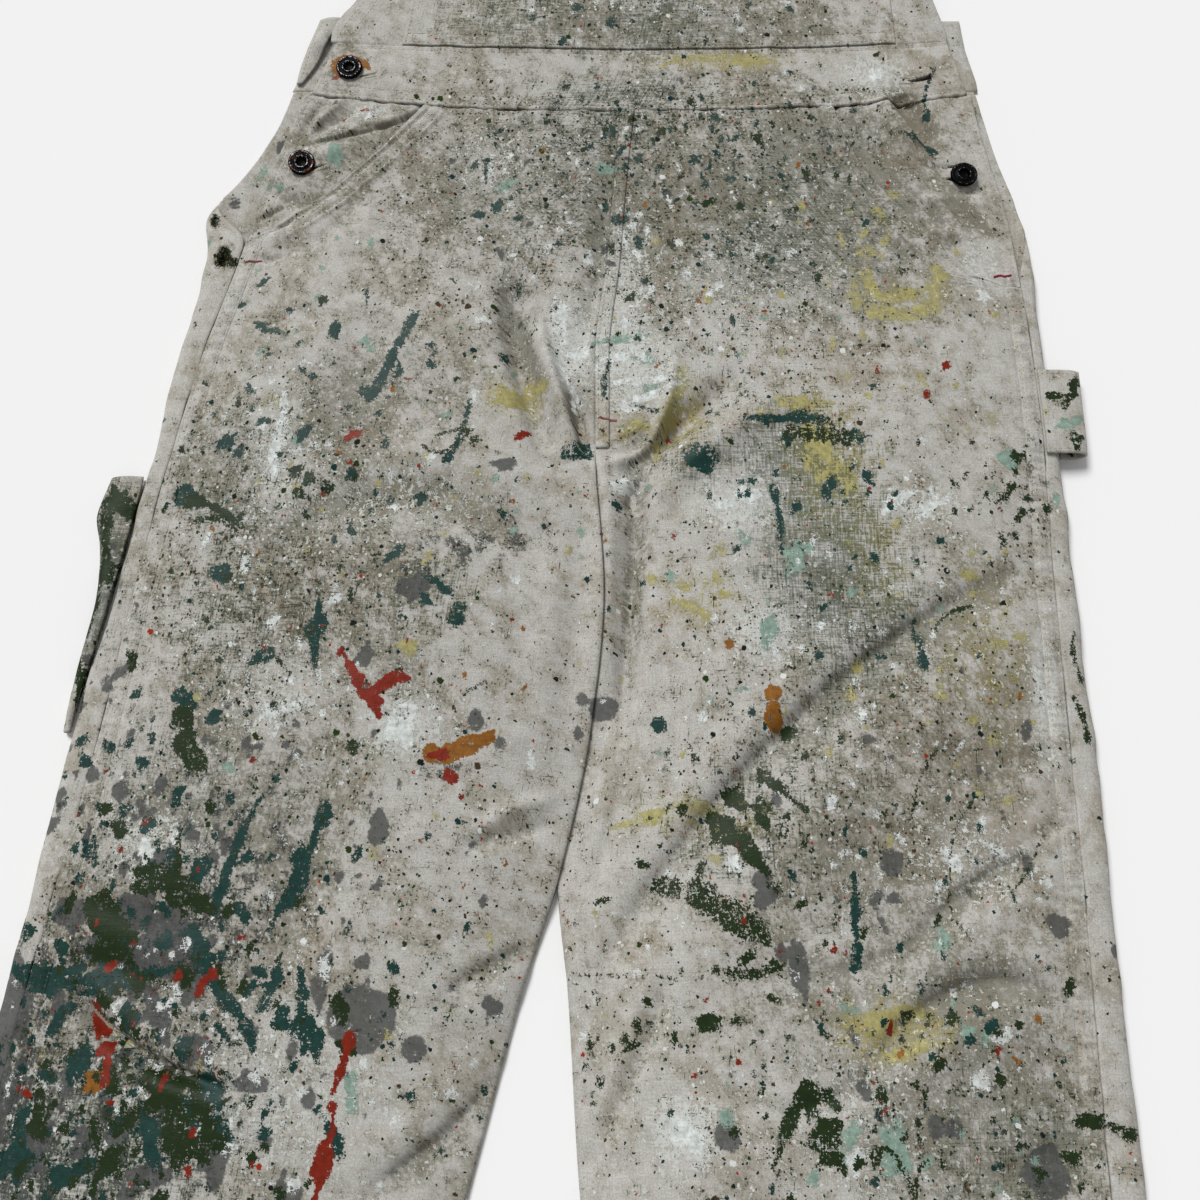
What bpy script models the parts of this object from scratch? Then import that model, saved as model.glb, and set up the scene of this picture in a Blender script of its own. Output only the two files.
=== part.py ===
"""Painter's bib overalls of cotton drill, laid flat on their back with the legs slightly apart.

X runs across the garment, Y up towards the bib and Z up from the surface that it lies on.
The tables are in millimetres, from a point on the thigh line a little below the fork of the fly.
The meshes are made in metres, and the whole garment is centred over its footprint at the end.
"""

import math
from collections import namedtuple

import bpy
import numpy as np

MM = 0.001
COLLECTION = "paint_spattered_overalls"
SIDES = ("left", "right")

CLOTH = 1.5  # wall of one panel
BAND = 2.0  # the doubled waistband
BAND_RISE = 0.4  # how far its face stands above the panels beside it
TRIM = 1.2  # a patch or strip lying on a panel
GAP = 0.35  # between pieces that touch
SEAM_GAP = 0.6  # between two edges that are sewn together
LOWEST_FRONT = 2 * CLOTH + 0.6  # top of a front panel that lies on the back

# The garment's lines across X at a height Y: the side where the cloth rolls round,
# the outseam on the upper face and the inner edge, which is the centre front above the fork.
Outline = namedtuple("Outline", "y side_left seam_left inner_left inner_right seam_right side_right")
OUTLINE = [
    Outline(640, -100, -100, 45, 45, 190, 190),
    Outline(560, -112, -112, 38, 38, 196, 196),
    Outline(500, -128, -128, 33, 33, 205, 205),
    Outline(450, -146, -146, 28, 28, 214, 214),
    Outline(411, -160, -160, 25, 25, 221, 221),
    Outline(385, -192, -175, 22, 22, 228, 242),
    Outline(345, -202, -188, 16, 16, 239, 248),
    Outline(300, -219, -203, 11, 11, 247, 256),
    Outline(255, -238, -216, 7, 7, 256, 267),
    Outline(215, -247, -226, 4, 4, 260, 273),
    Outline(150, -261, -243, -4, -4, 264, 274),
    Outline(90, -269, -255, -4, -4, 265, 277),
    Outline(0, -284, -270, 6, 6, 263, 278),
    Outline(-75, -299, -280, -6, -6, 263, 280),
    Outline(-160, -311, -295, -24, -24, 263, 281),
    Outline(-220, -321, -306, -42, -17, 262, 281),
    Outline(-320, -336, -321, -69, -10, 261, 283),
    Outline(-480, -360, -344, -114, 16, 264, 286),
    Outline(-730, -397, -380, -178, 58, 271, 292),
]

# Heights of the upper face at the seam, at the crown of the leg and at the inner edge.
Height = namedtuple("Height", "y seam crown inner")
HEIGHTS = [
    Height(640, 5.0, 5.6, 5.6),
    Height(500, 5.6, 7.0, 7.0),
    Height(411, 7.0, 8.6, 8.6),
    Height(345, 8.2, 9.8, 9.6),
    Height(255, 7.6, 13.0, 10.5),
    Height(215, 8.2, 15.0, 11.5),
    Height(150, 9.6, 18.0, 12.0),
    Height(90, 10.0, 20.0, 9.0),
    Height(0, 10.0, 22.0, 4.8),
    Height(-160, 10.0, 20.0, 4.2),
    Height(-320, 9.8, 18.0, 4.0),
    Height(-480, 9.6, 16.0, 4.0),
    Height(-730, 10.0, 13.0, 4.0),
]

# Largest folds of the upper face: a soft ridge (positive height) or trough (negative)
# along a curve that starts, passes and ends at three points.
Fold = namedtuple("Fold", "x0 y0 x1 y1 x2 y2 width height")
FOLDS = [
    Fold(214, 4, 105, -90, 2, -192, 15, -5.0),
    Fold(232, -40, 120, -128, 28, -232, 17, 3.0),
    Fold(224, -158, 188, -176, 150, -210, 11, -3.0),
    Fold(246, -221, 192, -225, 126, -270, 12, -4.0),
    Fold(33, -222, 21, -247, 5, -310, 9, -3.0),
    Fold(-259, -236, -226, -254, -198, -260, 9, -3.5),
    Fold(-50, -262, -83, -290, -118, -318, 14, -4.0),
    Fold(3, 86, 45, 98, 78, 129, 12, -2.5),
    Fold(-14, 90, -19, 112, -48, 165, 11, -2.0),
    Fold(-4, 300, -6, 240, -10, 170, 10, -2.0),
    Fold(-230, -380, -190, -430, -170, -520, 24, -3.0),
    Fold(110, -360, 140, -430, 150, -540, 26, -3.0),
]

# Open edge of each slant pocket, from the waist seam to the hip.
SLANTS = {
    "left": [(-113, 326), (-131, 305), (-148, 287), (-168, 266), (-187, 251), (-206, 238)],
    "right": [(150, 326), (158, 300), (169, 277), (190, 247), (211, 222), (231, 204)],
}
SEAM_STARTS = {"left": [231, 202], "right": [197]}
UNDERLAP = 16  # how far the hip piece reaches under the front

LEG_ROWS = [172, 145, 118, 92, 66, 38, 8, -22, -52, -82, -112, -138, -160, -185, -215, -250]
LEG_ROWS += [-290, -335, -385, -440, -500, -560, -612, -655]
BACK_TOP = 345
BACK_ROWS = [BACK_TOP, 300, 262, 231, 214, 197] + LEG_ROWS
FORK_Y = -160  # where the legs part
HEM_Y = -655
HEM_DEPTH = 34
HEM_LIFT = {"left": 48, "right": 19}  # the outer end of a hem lies higher than the inner end
ROLL_FLAT_Y = 262  # above this the back panel's side lies flat
ROLL_DONE_Y = 197  # below this it is rolled round on to the upper face

FELL = 11  # width of the felled outseam
FLY_STRIP = 8
FLY_END_Y = 92
INNER_COLUMNS = 9

BIB_TOP = 640
BIB_ROWS = 10
POCKET_TOP_ROW = 6
POCKET_EDGES = namedtuple("Edges", "left_low left_high right_low right_high")(-130, -104, 194, 186)
WAISTBAND_COLUMNS = 17
BACK_BAND_TOP = 400

# Rolled placket at the left end of the back waistband.
Placket = namedtuple("Placket", "y outer inner")
PLACKET = [Placket(352, -199, -190), Placket(385, -191, -181), Placket(399, -186.5, -172)]

# Rule pocket: how far it stands out from the side of the leg, and how high.
Bulge = namedtuple("Bulge", "y out rise")
RULE_POCKET = [
    Bulge(74, 20, 7.5),
    Bulge(52, 22.5, 8.0),
    Bulge(30, 15, 8.0),
    Bulge(0, 8.5, 8.0),
    Bulge(-40, 6.5, 7.0),
    Bulge(-78, 4.0, 5.0),
]

LOOP_LOW, LOOP_HIGH, LOOP_OUT = 88, 141, 292.5

STRAP_WIDTH = 32
STRAP_TOP = 745
STRAP_RISE = 8.0  # between the two runs of the strap
HOOK_Y = 618
HOOK_WIRE = 2.2
SLIDE_Y = 715
STRAPS = {"left": (0, -62), "right": (62, 152)}  # where each leaves the back and meets the bib

BUTTON_RADIUS = 8.5
BUTTONS = {
    "waist_button_left": (-163.5, 356),
    "hip_button_left": (-190, 285),
    "hip_button_right": (231, 276),
    "bib_button_left": (STRAPS["left"][1], HOOK_Y - 4),
    "bib_button_right": (STRAPS["right"][1], HOOK_Y - 4),
}

# Colour, roughness and metallic value of each material.
MATERIALS = {
    "drill": ((0.56, 0.52, 0.47, 1), 0.9, 0.0),
    "trim": ((0.50, 0.46, 0.41, 1), 0.9, 0.0),
    "button": ((0.03, 0.025, 0.02, 1), 0.45, 0.8),
    "hardware": ((0.30, 0.27, 0.20, 1), 0.4, 1.0),
}


def smooth(rows, name, y):
    """A table's column at y: a cubic through the rows that never overshoots them."""
    ys = np.array([row.y for row in rows], float)[::-1]
    values = np.array([getattr(row, name) for row in rows], float)[::-1]
    step = np.diff(ys)
    slope = np.diff(values) / step
    before, after = slope[:-1], slope[1:]
    same_way = before * after > 0
    total = np.where(same_way, before + after, 1)
    middle = np.where(same_way, 2 * before * after / total, 0)
    tangent = np.concatenate([slope[:1], middle, slope[-1:]])
    y = np.clip(np.asarray(y, float), ys[0], ys[-1])
    i = np.clip(np.searchsorted(ys, y) - 1, 0, len(ys) - 2)
    t = (y - ys[i]) / step[i]
    start = (1 + 2 * t) * (1 - t) ** 2 * values[i] + t * (1 - t) ** 2 * step[i] * tangent[i]
    end = t * t * (3 - 2 * t) * values[i + 1] - t * t * (1 - t) * step[i] * tangent[i + 1]
    return start + end


def soft_step(low, high, value):
    """0 below low, 1 above high, with a smooth rise between them."""
    t = np.clip((value - low) / (high - low), 0, 1)
    return t * t * (3 - 2 * t)


def fold_height(x, y):
    """What the folds add at (x, y): a bell across each fold that fades at its two ends."""
    x, y = np.asarray(x, float), np.asarray(y, float)
    total = np.zeros(np.broadcast(x, y).shape)
    t = np.linspace(0, 1, 41)
    for fold in FOLDS:
        turn_x = 2 * fold.x1 - (fold.x0 + fold.x2) / 2
        turn_y = 2 * fold.y1 - (fold.y0 + fold.y2) / 2
        path_x = (1 - t) ** 2 * fold.x0 + 2 * t * (1 - t) * turn_x + t * t * fold.x2
        path_y = (1 - t) ** 2 * fold.y0 + 2 * t * (1 - t) * turn_y + t * t * fold.y2
        away = np.hypot(x[..., None] - path_x, y[..., None] - path_y)
        nearest = away.argmin(-1)
        distance = away.min(-1)
        fade = np.sqrt(np.sin(math.pi * np.clip(t[nearest], 0.02, 0.98)))
        total += fold.height * fade * np.exp(-((distance / fold.width) ** 2))
    return total


def inner_line(side, y):
    """The inner edge of a side: both sides share the centre front down to the fork."""
    shared = smooth(OUTLINE, "inner_left", y)
    return np.where(np.asarray(y) > FORK_Y, shared, smooth(OUTLINE, "inner_" + side, y))


def front_height(side, x, y):
    """Top of the upper cloth: from the seam over a crown to the inner edge, with its folds."""
    x, y = np.asarray(x, float), np.asarray(y, float)
    seam = smooth(OUTLINE, "seam_" + side, y)
    inner = inner_line(side, y)
    across = np.clip((x - seam) / (inner - seam), 0, 1)
    low, high = smooth(HEIGHTS, "seam", y), smooth(HEIGHTS, "inner", y)
    edge = low + (high - low) * across
    crown = smooth(HEIGHTS, "crown", y)
    arch = 1 - np.abs(2 * across - 1) ** 3
    return np.maximum(edge + (crown - edge) * arch + fold_height(x, y), LOWEST_FRONT)


def top_height(x, y):
    """Top of the upper cloth on whichever side of the centre front the point lies."""
    centre = inner_line("left", y)
    return np.where(x < centre, front_height("left", x, y), front_height("right", x, y))


def waist_line(x):
    """Y of the seam under the waistband, which rises towards the sides."""
    return 325 + 14 * np.abs((x - 25) / 214) ** 3


def bib_line(x):
    """Y of the seam between the waistband and the bib."""
    return 371 + 8 * np.abs((x - 25) / 204) ** 3


def clear_scene():
    for thing in list(bpy.data.objects):
        bpy.data.objects.remove(thing, do_unlink=True)


def make_materials():
    made = {}
    for name, (colour, roughness, metallic) in MATERIALS.items():
        material = bpy.data.materials.new(name)
        material.use_nodes = True
        shader = material.node_tree.nodes["Principled BSDF"]
        shader.inputs["Base Color"].default_value = colour
        shader.inputs["Roughness"].default_value = roughness
        shader.inputs["Metallic"].default_value = metallic
        made[name] = material
    return made


def add_object(name, mesh, material):
    thing = bpy.data.objects.new(name, mesh)
    thing.data.materials.append(made_materials[material])
    part.objects.link(thing)
    return thing


def sheet(name, grid, thickness, material="drill", grow="in", up=1, column=0, loop=False):
    """A wall of cloth on a grid of points, grid[row][column] = (x, y, z) in millimetres.

    The grid is the outer face and the wall grows in, or the inner face and it grows out.
    up is +1 where the first row faces up at that column, and -1 where it faces down.
    """
    grid = np.asarray(grid, float)
    rows, columns = grid.shape[:2]
    index = np.arange(rows * columns).reshape(rows, columns)
    if loop:
        index = np.concatenate([index, index[:, :1]], axis=1)
    a, b = index[:-1, :-1].ravel(), index[:-1, 1:].ravel()
    c, d = index[1:, 1:].ravel(), index[1:, :-1].ravel()
    faces = np.concatenate([np.stack([a, b, c], 1), np.stack([a, c, d], 1)])
    points = grid.reshape(-1, 3) * MM
    tested = faces[column % (index.shape[1] - 1)]
    edge_1, edge_2 = points[tested[1]] - points[tested[0]], points[tested[2]] - points[tested[0]]
    if np.cross(edge_1, edge_2)[2] * up < 0:
        faces = faces[:, ::-1]
    mesh = bpy.data.meshes.new(name)
    mesh.from_pydata(points.tolist(), [], faces.tolist())
    mesh.shade_smooth()
    thing = add_object(name, mesh, material)
    wall = thing.modifiers.new("wall", "SOLIDIFY")
    wall.thickness = thickness * MM
    wall.offset = -1 if grow == "in" else 1
    wall.use_even_offset = True
    return thing


def spread(first, last, count):
    """Places from first to last, closer together near both ends."""
    t = np.linspace(0, 1, count)
    return first + (last - first) * (0.45 * t + 0.55 * (0.5 - 0.5 * np.cos(math.pi * t)))


def leg_row(side, y, outer_line):
    """Both ends of a row across a leg; below the fork the row turns to lie across the leg."""
    lift = HEM_LIFT[side] * max(0, (FORK_Y - y) / (FORK_Y - HEM_Y))
    outer_y, inner_y = y + lift / 2, y - lift / 2
    inward = -1 if side == "left" else 1
    outer_x = float(smooth(OUTLINE, outer_line + "_" + side, outer_y))
    inner_x = float(inner_line(side, inner_y)) + inward * SEAM_GAP / 2
    return (outer_x, outer_y), (inner_x, inner_y)


def front_row_points(side, outer, inner):
    """One row of a front leg: edge, edge of the felled seam, crown columns, edge of the fly."""
    width = math.dist(outer, inner)
    far = np.concatenate([[0], spread(FELL, width - FLY_STRIP, INNER_COLUMNS), [width]]) / width
    x = outer[0] + (inner[0] - outer[0]) * far
    y = outer[1] + (inner[1] - outer[1]) * far
    return np.stack([x, y, front_height(side, x, y)], 1)


def front_leg(side):
    """The front leg's grid, from the waist seam along the slant pocket and down to the hem."""
    inward = -1 if side == "left" else 1
    rows = []
    for order, (x, y) in enumerate(SLANTS[side]):
        inner_y = float(waist_line(10)) - SEAM_GAP / 2 if order == 0 else y
        inner_x = float(inner_line(side, inner_y)) + inward * SEAM_GAP / 2
        rows.append(front_row_points(side, (x, y), (inner_x, inner_y)))
    rows[0][:, 1] = waist_line(rows[0][:, 0]) - SEAM_GAP / 2
    rows[0][:, 2] = front_height(side, rows[0][:, 0], rows[0][:, 1])
    for y in SEAM_STARTS[side] + LEG_ROWS:
        rows.append(front_row_points(side, *leg_row(side, y, "seam")))
    return np.array(rows)


def wrap_columns(side, outer_y):
    """The back panel's side, from the outseam round to the surface: (x, z) of six points."""
    inward = 1 if side == "left" else -1
    edge = float(smooth(OUTLINE, "side_" + side, outer_y))
    seam = float(smooth(OUTLINE, "seam_" + side, outer_y)) - inward * SEAM_GAP
    top = float(front_height(side, seam, outer_y))
    reach = abs(seam - edge)
    rolled = [
        (seam, top),
        (edge + inward * reach * 0.42, top * 0.93),
        (edge + inward * reach * 0.10, top * 0.70),
        (edge, top * 0.42),
        (edge + inward * reach * 0.14, top * 0.13),
        (edge + inward * reach * 0.50, 0.0),
    ]
    flat = [(edge + inward * reach * step, 0.0) for step in (0, 0.3, 0.6, 0.9, 1.2, 1.5)]
    done = float(soft_step(ROLL_FLAT_Y, ROLL_DONE_Y, outer_y))
    return [
        (flat_x + (roll_x - flat_x) * done, roll_z * done)
        for (flat_x, _), (roll_x, roll_z) in zip(flat, rolled)
    ]


def back_leg(side):
    """The back leg's outer face: rolled side, then flat on the surface to the inner edge."""
    rows = []
    for y in BACK_ROWS:
        outer, inner = leg_row(side, y, "side")
        side_points = [(x, outer[1], z) for x, z in wrap_columns(side, outer[1])]
        start = side_points[-1]
        flat = [
            (start[0] + (inner[0] - start[0]) * t, start[1] + (inner[1] - start[1]) * t, 0.0)
            for t in np.linspace(0, 1, 6)[1:]
        ]
        rows.append(side_points + flat)
    return np.array(rows)


def hem(side):
    """A turned hem: a flat tube all round the leg's end, as tall as the leg is there."""
    rows = []
    first = HEM_Y - SEAM_GAP
    for y in (first, first - HEM_DEPTH / 2, first - HEM_DEPTH):
        outer, inner = leg_row(side, y, "side")
        outward = 1 if side == "left" else -1
        wrap = [(x, outer[1], z) for x, z in wrap_columns(side, outer[1])]
        start = wrap[-1]
        flat = [
            (start[0] + (inner[0] - start[0]) * t, start[1] + (inner[1] - start[1]) * t, 0.0)
            for t in np.linspace(0, 1, 5)[1:]
        ]
        inner_top = float(front_height(side, *inner))
        turn = [(inner[0] + outward * inner_top / 2, inner[1], inner_top / 2)]
        seam = wrap[0]
        t = spread(0, 1, 10)[::-1][:-1]
        x, low_y = seam[0] + (inner[0] - seam[0]) * t, seam[1] + (inner[1] - seam[1]) * t
        top = np.stack([x, low_y, front_height(side, x, low_y)], 1).tolist()
        rows.append(wrap + flat + turn + top)
    return np.array(rows)


def hip_height(side, x, y):
    """Top of a hip piece: a wall below the front at the pocket's edge, flush at the side."""
    inward = 1 if side == "left" else -1
    slant = np.array(SLANTS[side], float)[::-1]
    beyond = (np.interp(y, slant[:, 1], slant[:, 0]) - x) * inward
    tucked = 1 - soft_step(6, 32, beyond)
    return front_height(side, x, y) - GAP - (CLOTH + 1.0) * tucked


def hip(side):
    """The piece behind a slant pocket, tucked under the front and flush at the side."""
    inward = 1 if side == "left" else -1
    slant = SLANTS[side]
    last_y = SEAM_STARTS[side][0] + 1.5
    rows = []
    for step, (slant_x, slant_y) in enumerate(slant):
        t = step / (len(slant) - 1)
        top_x = float(smooth(OUTLINE, "seam_" + side, 339))
        side_y = 339 + (last_y - 339) * t
        side_x = float(smooth(OUTLINE, "seam_" + side, side_y)) if step else top_x
        tuck_x = slant_x + inward * UNDERLAP
        across = np.linspace(0, 1, 6)
        x = tuck_x + (side_x - tuck_x) * across
        y = slant_y + (side_y - slant_y) * across
        if step == 0:
            y = waist_line(x) - SEAM_GAP / 2
        rows.append(np.stack([x, y, hip_height(side, x, y)], 1))
    return np.array(rows)


def waistband_front():
    ends = [float(smooth(OUTLINE, "seam_" + side, 352)) for side in SIDES]
    rows = []
    for t in (0.0, 0.5, 1.0):
        shift = t * np.array([13.5, -10.0])
        x = np.linspace(ends[0] + shift[0] - 1, ends[1] + shift[1] + 1, WAISTBAND_COLUMNS)
        low, high = waist_line(x) + SEAM_GAP / 2, bib_line(x) - SEAM_GAP / 2
        y = low + (high - low) * t
        rows.append(np.stack([x, y, top_height(x, y) + BAND_RISE], 1))
    return np.array(rows)


def bib():
    """The bib: columns at its edges and at the edges of its pocket, and between those."""
    rows = []
    for t in np.linspace(0, 1, BIB_ROWS):
        y = float(bib_line(25)) + SEAM_GAP / 2
        y = y + (BIB_TOP - y) * t
        left, right = (float(smooth(OUTLINE, "seam_" + side, max(y, 380))) for side in SIDES)
        pocket_t = min(1, t * (BIB_ROWS - 1) / POCKET_TOP_ROW)
        low, high = POCKET_EDGES[0::2], POCKET_EDGES[1::2]
        inner = [a + (b - a) * pocket_t for a, b in zip(low, high)]
        inner[0] = max(inner[0], left + 8)
        inner[1] = min(inner[1], right - 8)
        x = np.concatenate([[left], np.linspace(inner[0], inner[1], 8), [right]])
        lift = (bib_line(x) - bib_line(25)) * (1 - t)
        rows.append(np.stack([x, y + lift, top_height(x, y + lift)], 1))
    return np.array(rows)


def waistband_back():
    rows = []
    for y in (BACK_TOP + SEAM_GAP, 366, 385, BACK_BAND_TOP):
        left = float(np.interp(y, [345, 365, 386, 400], [-202, -194, -190.5, -186]))
        right = float(np.interp(y, [345, 353, 378, 400], [248, 247.5, 242, 240]))
        rows.append([(x, y, 0.0) for x in np.linspace(left, right, 8)])
    return np.array(rows)


def placket():
    """A strip of the back placket, rolled up beside the bib and lying on the back waistband."""
    rows = []
    base = 2 * CLOTH + GAP - 0.3
    for row in PLACKET:
        x = np.linspace(row.outer, row.inner, 5)
        z = base + 3.2 * np.sin(math.pi * np.linspace(0.05, 0.8, 5))
        rows.append([(a, row.y, b) for a, b in zip(x, z)])
    return np.array(rows)


def rule_pocket():
    """A patch that stands away from the side of the leg and gapes at its mouth."""
    rows = []
    for row in RULE_POCKET:
        edge = float(smooth(OUTLINE, "side_left", row.y)) - 0.9
        shape = [(0.0, 0.86), (0.35, 1.0), (0.72, 0.92), (0.95, 0.68), (1.0, 0.4), (0.9, 0.1)]
        points = [(edge - row.out * out, row.y, row.rise * up) for out, up in shape]
        rows.append(points + [(edge - row.out * 0.7, row.y, 0.0), (edge - 1.0, row.y, 0.0)])
    return np.array(rows)


def hammer_loop():
    """A band sewn into the outseam that stands out from the side and turns back under it."""
    rows = []
    for y in (LOOP_HIGH, (LOOP_HIGH + LOOP_LOW) / 2, LOOP_LOW):
        seam = float(smooth(OUTLINE, "seam_right", y)) + 1.5
        edge = float(smooth(OUTLINE, "side_right", y)) + 1.2
        top = float(front_height("right", seam, y)) + GAP + CLOTH + 0.3
        rows.append(
            [
                (seam, y, top),
                (edge - 1, y, top),
                (LOOP_OUT - 6, y, top * 0.93),
                (LOOP_OUT - 1.2, y, top * 0.72),
                (LOOP_OUT, y, top * 0.42),
                (LOOP_OUT - 2.5, y, top * 0.1),
                (LOOP_OUT - 7, y, 0.0),
                (edge, y, 0.0),
            ]
        )
    return np.array(rows)


def strap(side):
    """A strap from the back waistband up under the bib, folded over and down to its hook.

    The path runs along the outside of the fold, so the wall grows into it.
    """
    back_x, bib_x = STRAPS[side]
    radius = (STRAP_RISE + CLOTH) / 2
    start_y, end_y = BACK_BAND_TOP + GAP, HOOK_Y + 11
    path = []
    for y in np.linspace(start_y, STRAP_TOP, 8):
        t = (y - start_y) / (STRAP_TOP - start_y)
        path.append((back_x + (bib_x - back_x) * t, y, 0.0))
    for angle in np.linspace(0, math.pi, 9)[1:]:
        out = STRAP_TOP + radius * math.sin(angle)
        path.append((bib_x, out, radius - radius * math.cos(angle)))
    end_z = float(top_height(bib_x, HOOK_Y)) + 2 * GAP + HOOK_WIRE + CLOTH
    for t in np.linspace(0, 1, 6)[1:]:
        z = 2 * radius + (end_z - 2 * radius) * t
        path.append((bib_x, STRAP_TOP + (end_y - STRAP_TOP) * t, z))
    half = STRAP_WIDTH / 2
    return np.array([[(x - half, y, z), (x + half, y, z)] for x, y, z in path])


def wire_frame(name, centre, width, height, wire):
    """A flat ring of round wire with rounded corners, lying at the centre's height."""
    corner = 5.0
    points = []
    for quarter, (turn_x, turn_y) in enumerate(((1, 1), (-1, 1), (-1, -1), (1, -1))):
        for step in range(4):
            angle = math.radians(90 * quarter + 30 * step)
            x = turn_x * (width / 2 - corner) + corner * math.cos(angle)
            y = turn_y * (height / 2 - corner) + corner * math.sin(angle)
            points.append((centre[0] + x, centre[1] + y, centre[2]))
    line = bpy.data.curves.new(name + "_line", "CURVE")
    line.dimensions = "3D"
    line.bevel_depth = wire / 2 * MM
    line.bevel_resolution = 2
    path = line.splines.new("POLY")
    path.points.add(len(points) - 1)
    for point, place in zip(path.points, points):
        point.co = (*(value * MM for value in place), 1)
    path.use_cyclic_u = True
    line.materials.append(made_materials["hardware"])
    ring = bpy.data.objects.new(name, line)
    part.objects.link(ring)
    return ring


def button(name, place):
    """A ring-topped tack button, turned about Z, on the highest cloth under its rim."""
    angles = np.linspace(0, 2 * math.pi, 16, endpoint=False)
    rim_x = place[0] + BUTTON_RADIUS * np.cos(angles)
    rim_y = place[1] + BUTTON_RADIUS * np.sin(angles)
    if name.startswith("hip"):
        seat = hip_height("left" if place[0] < 0 else "right", rim_x, rim_y).max()
    else:
        seat = top_height(rim_x, rim_y).max()
    if name.startswith("waist"):
        seat += BAND_RISE
    base = float(seat) + GAP
    profile = [(0, 0.9), (2.0, 0.9), (2.7, 2.3), (5.2, 3.1), (7.4, 2.7), (8.5, 1.6), (8.2, 0.5), (6.6, 0)]
    mesh = bpy.data.meshes.new(name)
    points = [(radius * MM, 0, height * MM) for radius, height in profile + [(0, 0)]]
    mesh.from_pydata(points, [(i, i + 1) for i in range(len(profile))], [])
    thing = add_object(name, mesh, "button")
    turned = thing.modifiers.new("turned", "SCREW")
    turned.axis = "Z"
    turned.angle = 2 * math.pi
    turned.steps = turned.render_steps = 20
    turned.use_merge_vertices = True
    turned.merge_threshold = 0.00001
    turned.use_smooth_shade = True
    thing.location = (place[0] * MM, place[1] * MM, base * MM)
    return thing


def raised(grid, amount):
    """The same points, moved up off the panel."""
    moved = np.array(grid)
    moved[..., 2] += amount
    return moved


def build_legs():
    for side in SIDES:
        front = front_leg(side)
        sheet("front_leg_" + side, front, CLOTH)
        sheet("back_leg_" + side, back_leg(side), CLOTH, up=-1, column=-1)
        sheet("hip_" + side, hip(side), CLOTH)
        sheet("hem_" + side, hem(side), CLOTH, loop=True)
        seam_start = len(SLANTS[side])
        sheet("outseam_" + side, raised(front[seam_start:, :2], GAP), TRIM, "trim", grow="out")
        if side == "right":
            rows = [row for row in range(len(front)) if front[row, -1, 1] >= FLY_END_Y - 1]
            sheet("fly_strip", raised(front[rows][:, -2:], GAP), TRIM, "trim", grow="out")


def build_upper():
    sheet("waistband_front", waistband_front(), BAND)
    panel = bib()
    sheet("bib", panel, CLOTH)
    pocket = panel[: POCKET_TOP_ROW + 1, 1:-1]
    sheet("bib_pocket", raised(pocket, GAP), TRIM, "trim", grow="out")
    sheet("waistband_back", waistband_back(), CLOTH, up=-1)
    sheet("placket_left", placket(), CLOTH, "trim")


def build_side_pieces():
    sheet("rule_pocket", rule_pocket(), TRIM, "trim")
    sheet("hammer_loop", hammer_loop(), CLOTH, "trim")


def build_straps():
    for side in SIDES:
        bib_x = STRAPS[side][1]
        sheet("strap_" + side, strap(side), CLOTH, "trim", grow="out")
        hook_z = float(top_height(bib_x, HOOK_Y)) + GAP + HOOK_WIRE / 2
        wire_frame("hook_" + side, (bib_x, HOOK_Y, hook_z), 36, 34, HOOK_WIRE)
        slide_z = STRAP_RISE + CLOTH + GAP + HOOK_WIRE / 2
        wire_frame("slide_" + side, (bib_x, SLIDE_Y, slide_z), 40, 24, HOOK_WIRE)


def centre_over_footprint():
    """Move every piece so that the origin lies under the middle of the garment's box."""
    bpy.context.view_layer.update()
    reader = bpy.context.evaluated_depsgraph_get()
    corners = []
    for thing in part.objects:
        seen = thing.evaluated_get(reader)
        mesh = seen.to_mesh()
        corners += [seen.matrix_world @ vertex.co for vertex in mesh.vertices]
        seen.to_mesh_clear()
    corners = np.array(corners)
    low, high = corners.min(0), corners.max(0)
    shift = np.array([(low[0] + high[0]) / 2, (low[1] + high[1]) / 2, low[2]])
    for thing in part.objects:
        for axis in range(3):
            thing.location[axis] -= shift[axis]
    print("garment", np.round(high - low, 4), "shift", np.round(shift / MM, 2))


clear_scene()
part = bpy.data.collections.new(COLLECTION)
bpy.context.scene.collection.children.link(part)
made_materials = make_materials()
build_legs()
build_upper()
build_side_pieces()
build_straps()
for button_name, button_place in BUTTONS.items():
    button(button_name, button_place)
centre_over_footprint()
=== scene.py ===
# %% [markdown]
# # Painter's bib overalls, laid flat
#
# The real thing is a pair of bib overalls in off-white cotton drill that a painter has worked in for
# years. It lies on its back with the legs slightly apart, and every flake, drip and rub of paint is
# still on it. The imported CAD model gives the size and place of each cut-and-sewn piece. Here each piece
# gets its fine surface: thin cloth with soft creases, stitches, worn buttons, and the paint itself.

# %% Load the frame
import math
from collections import namedtuple

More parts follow.
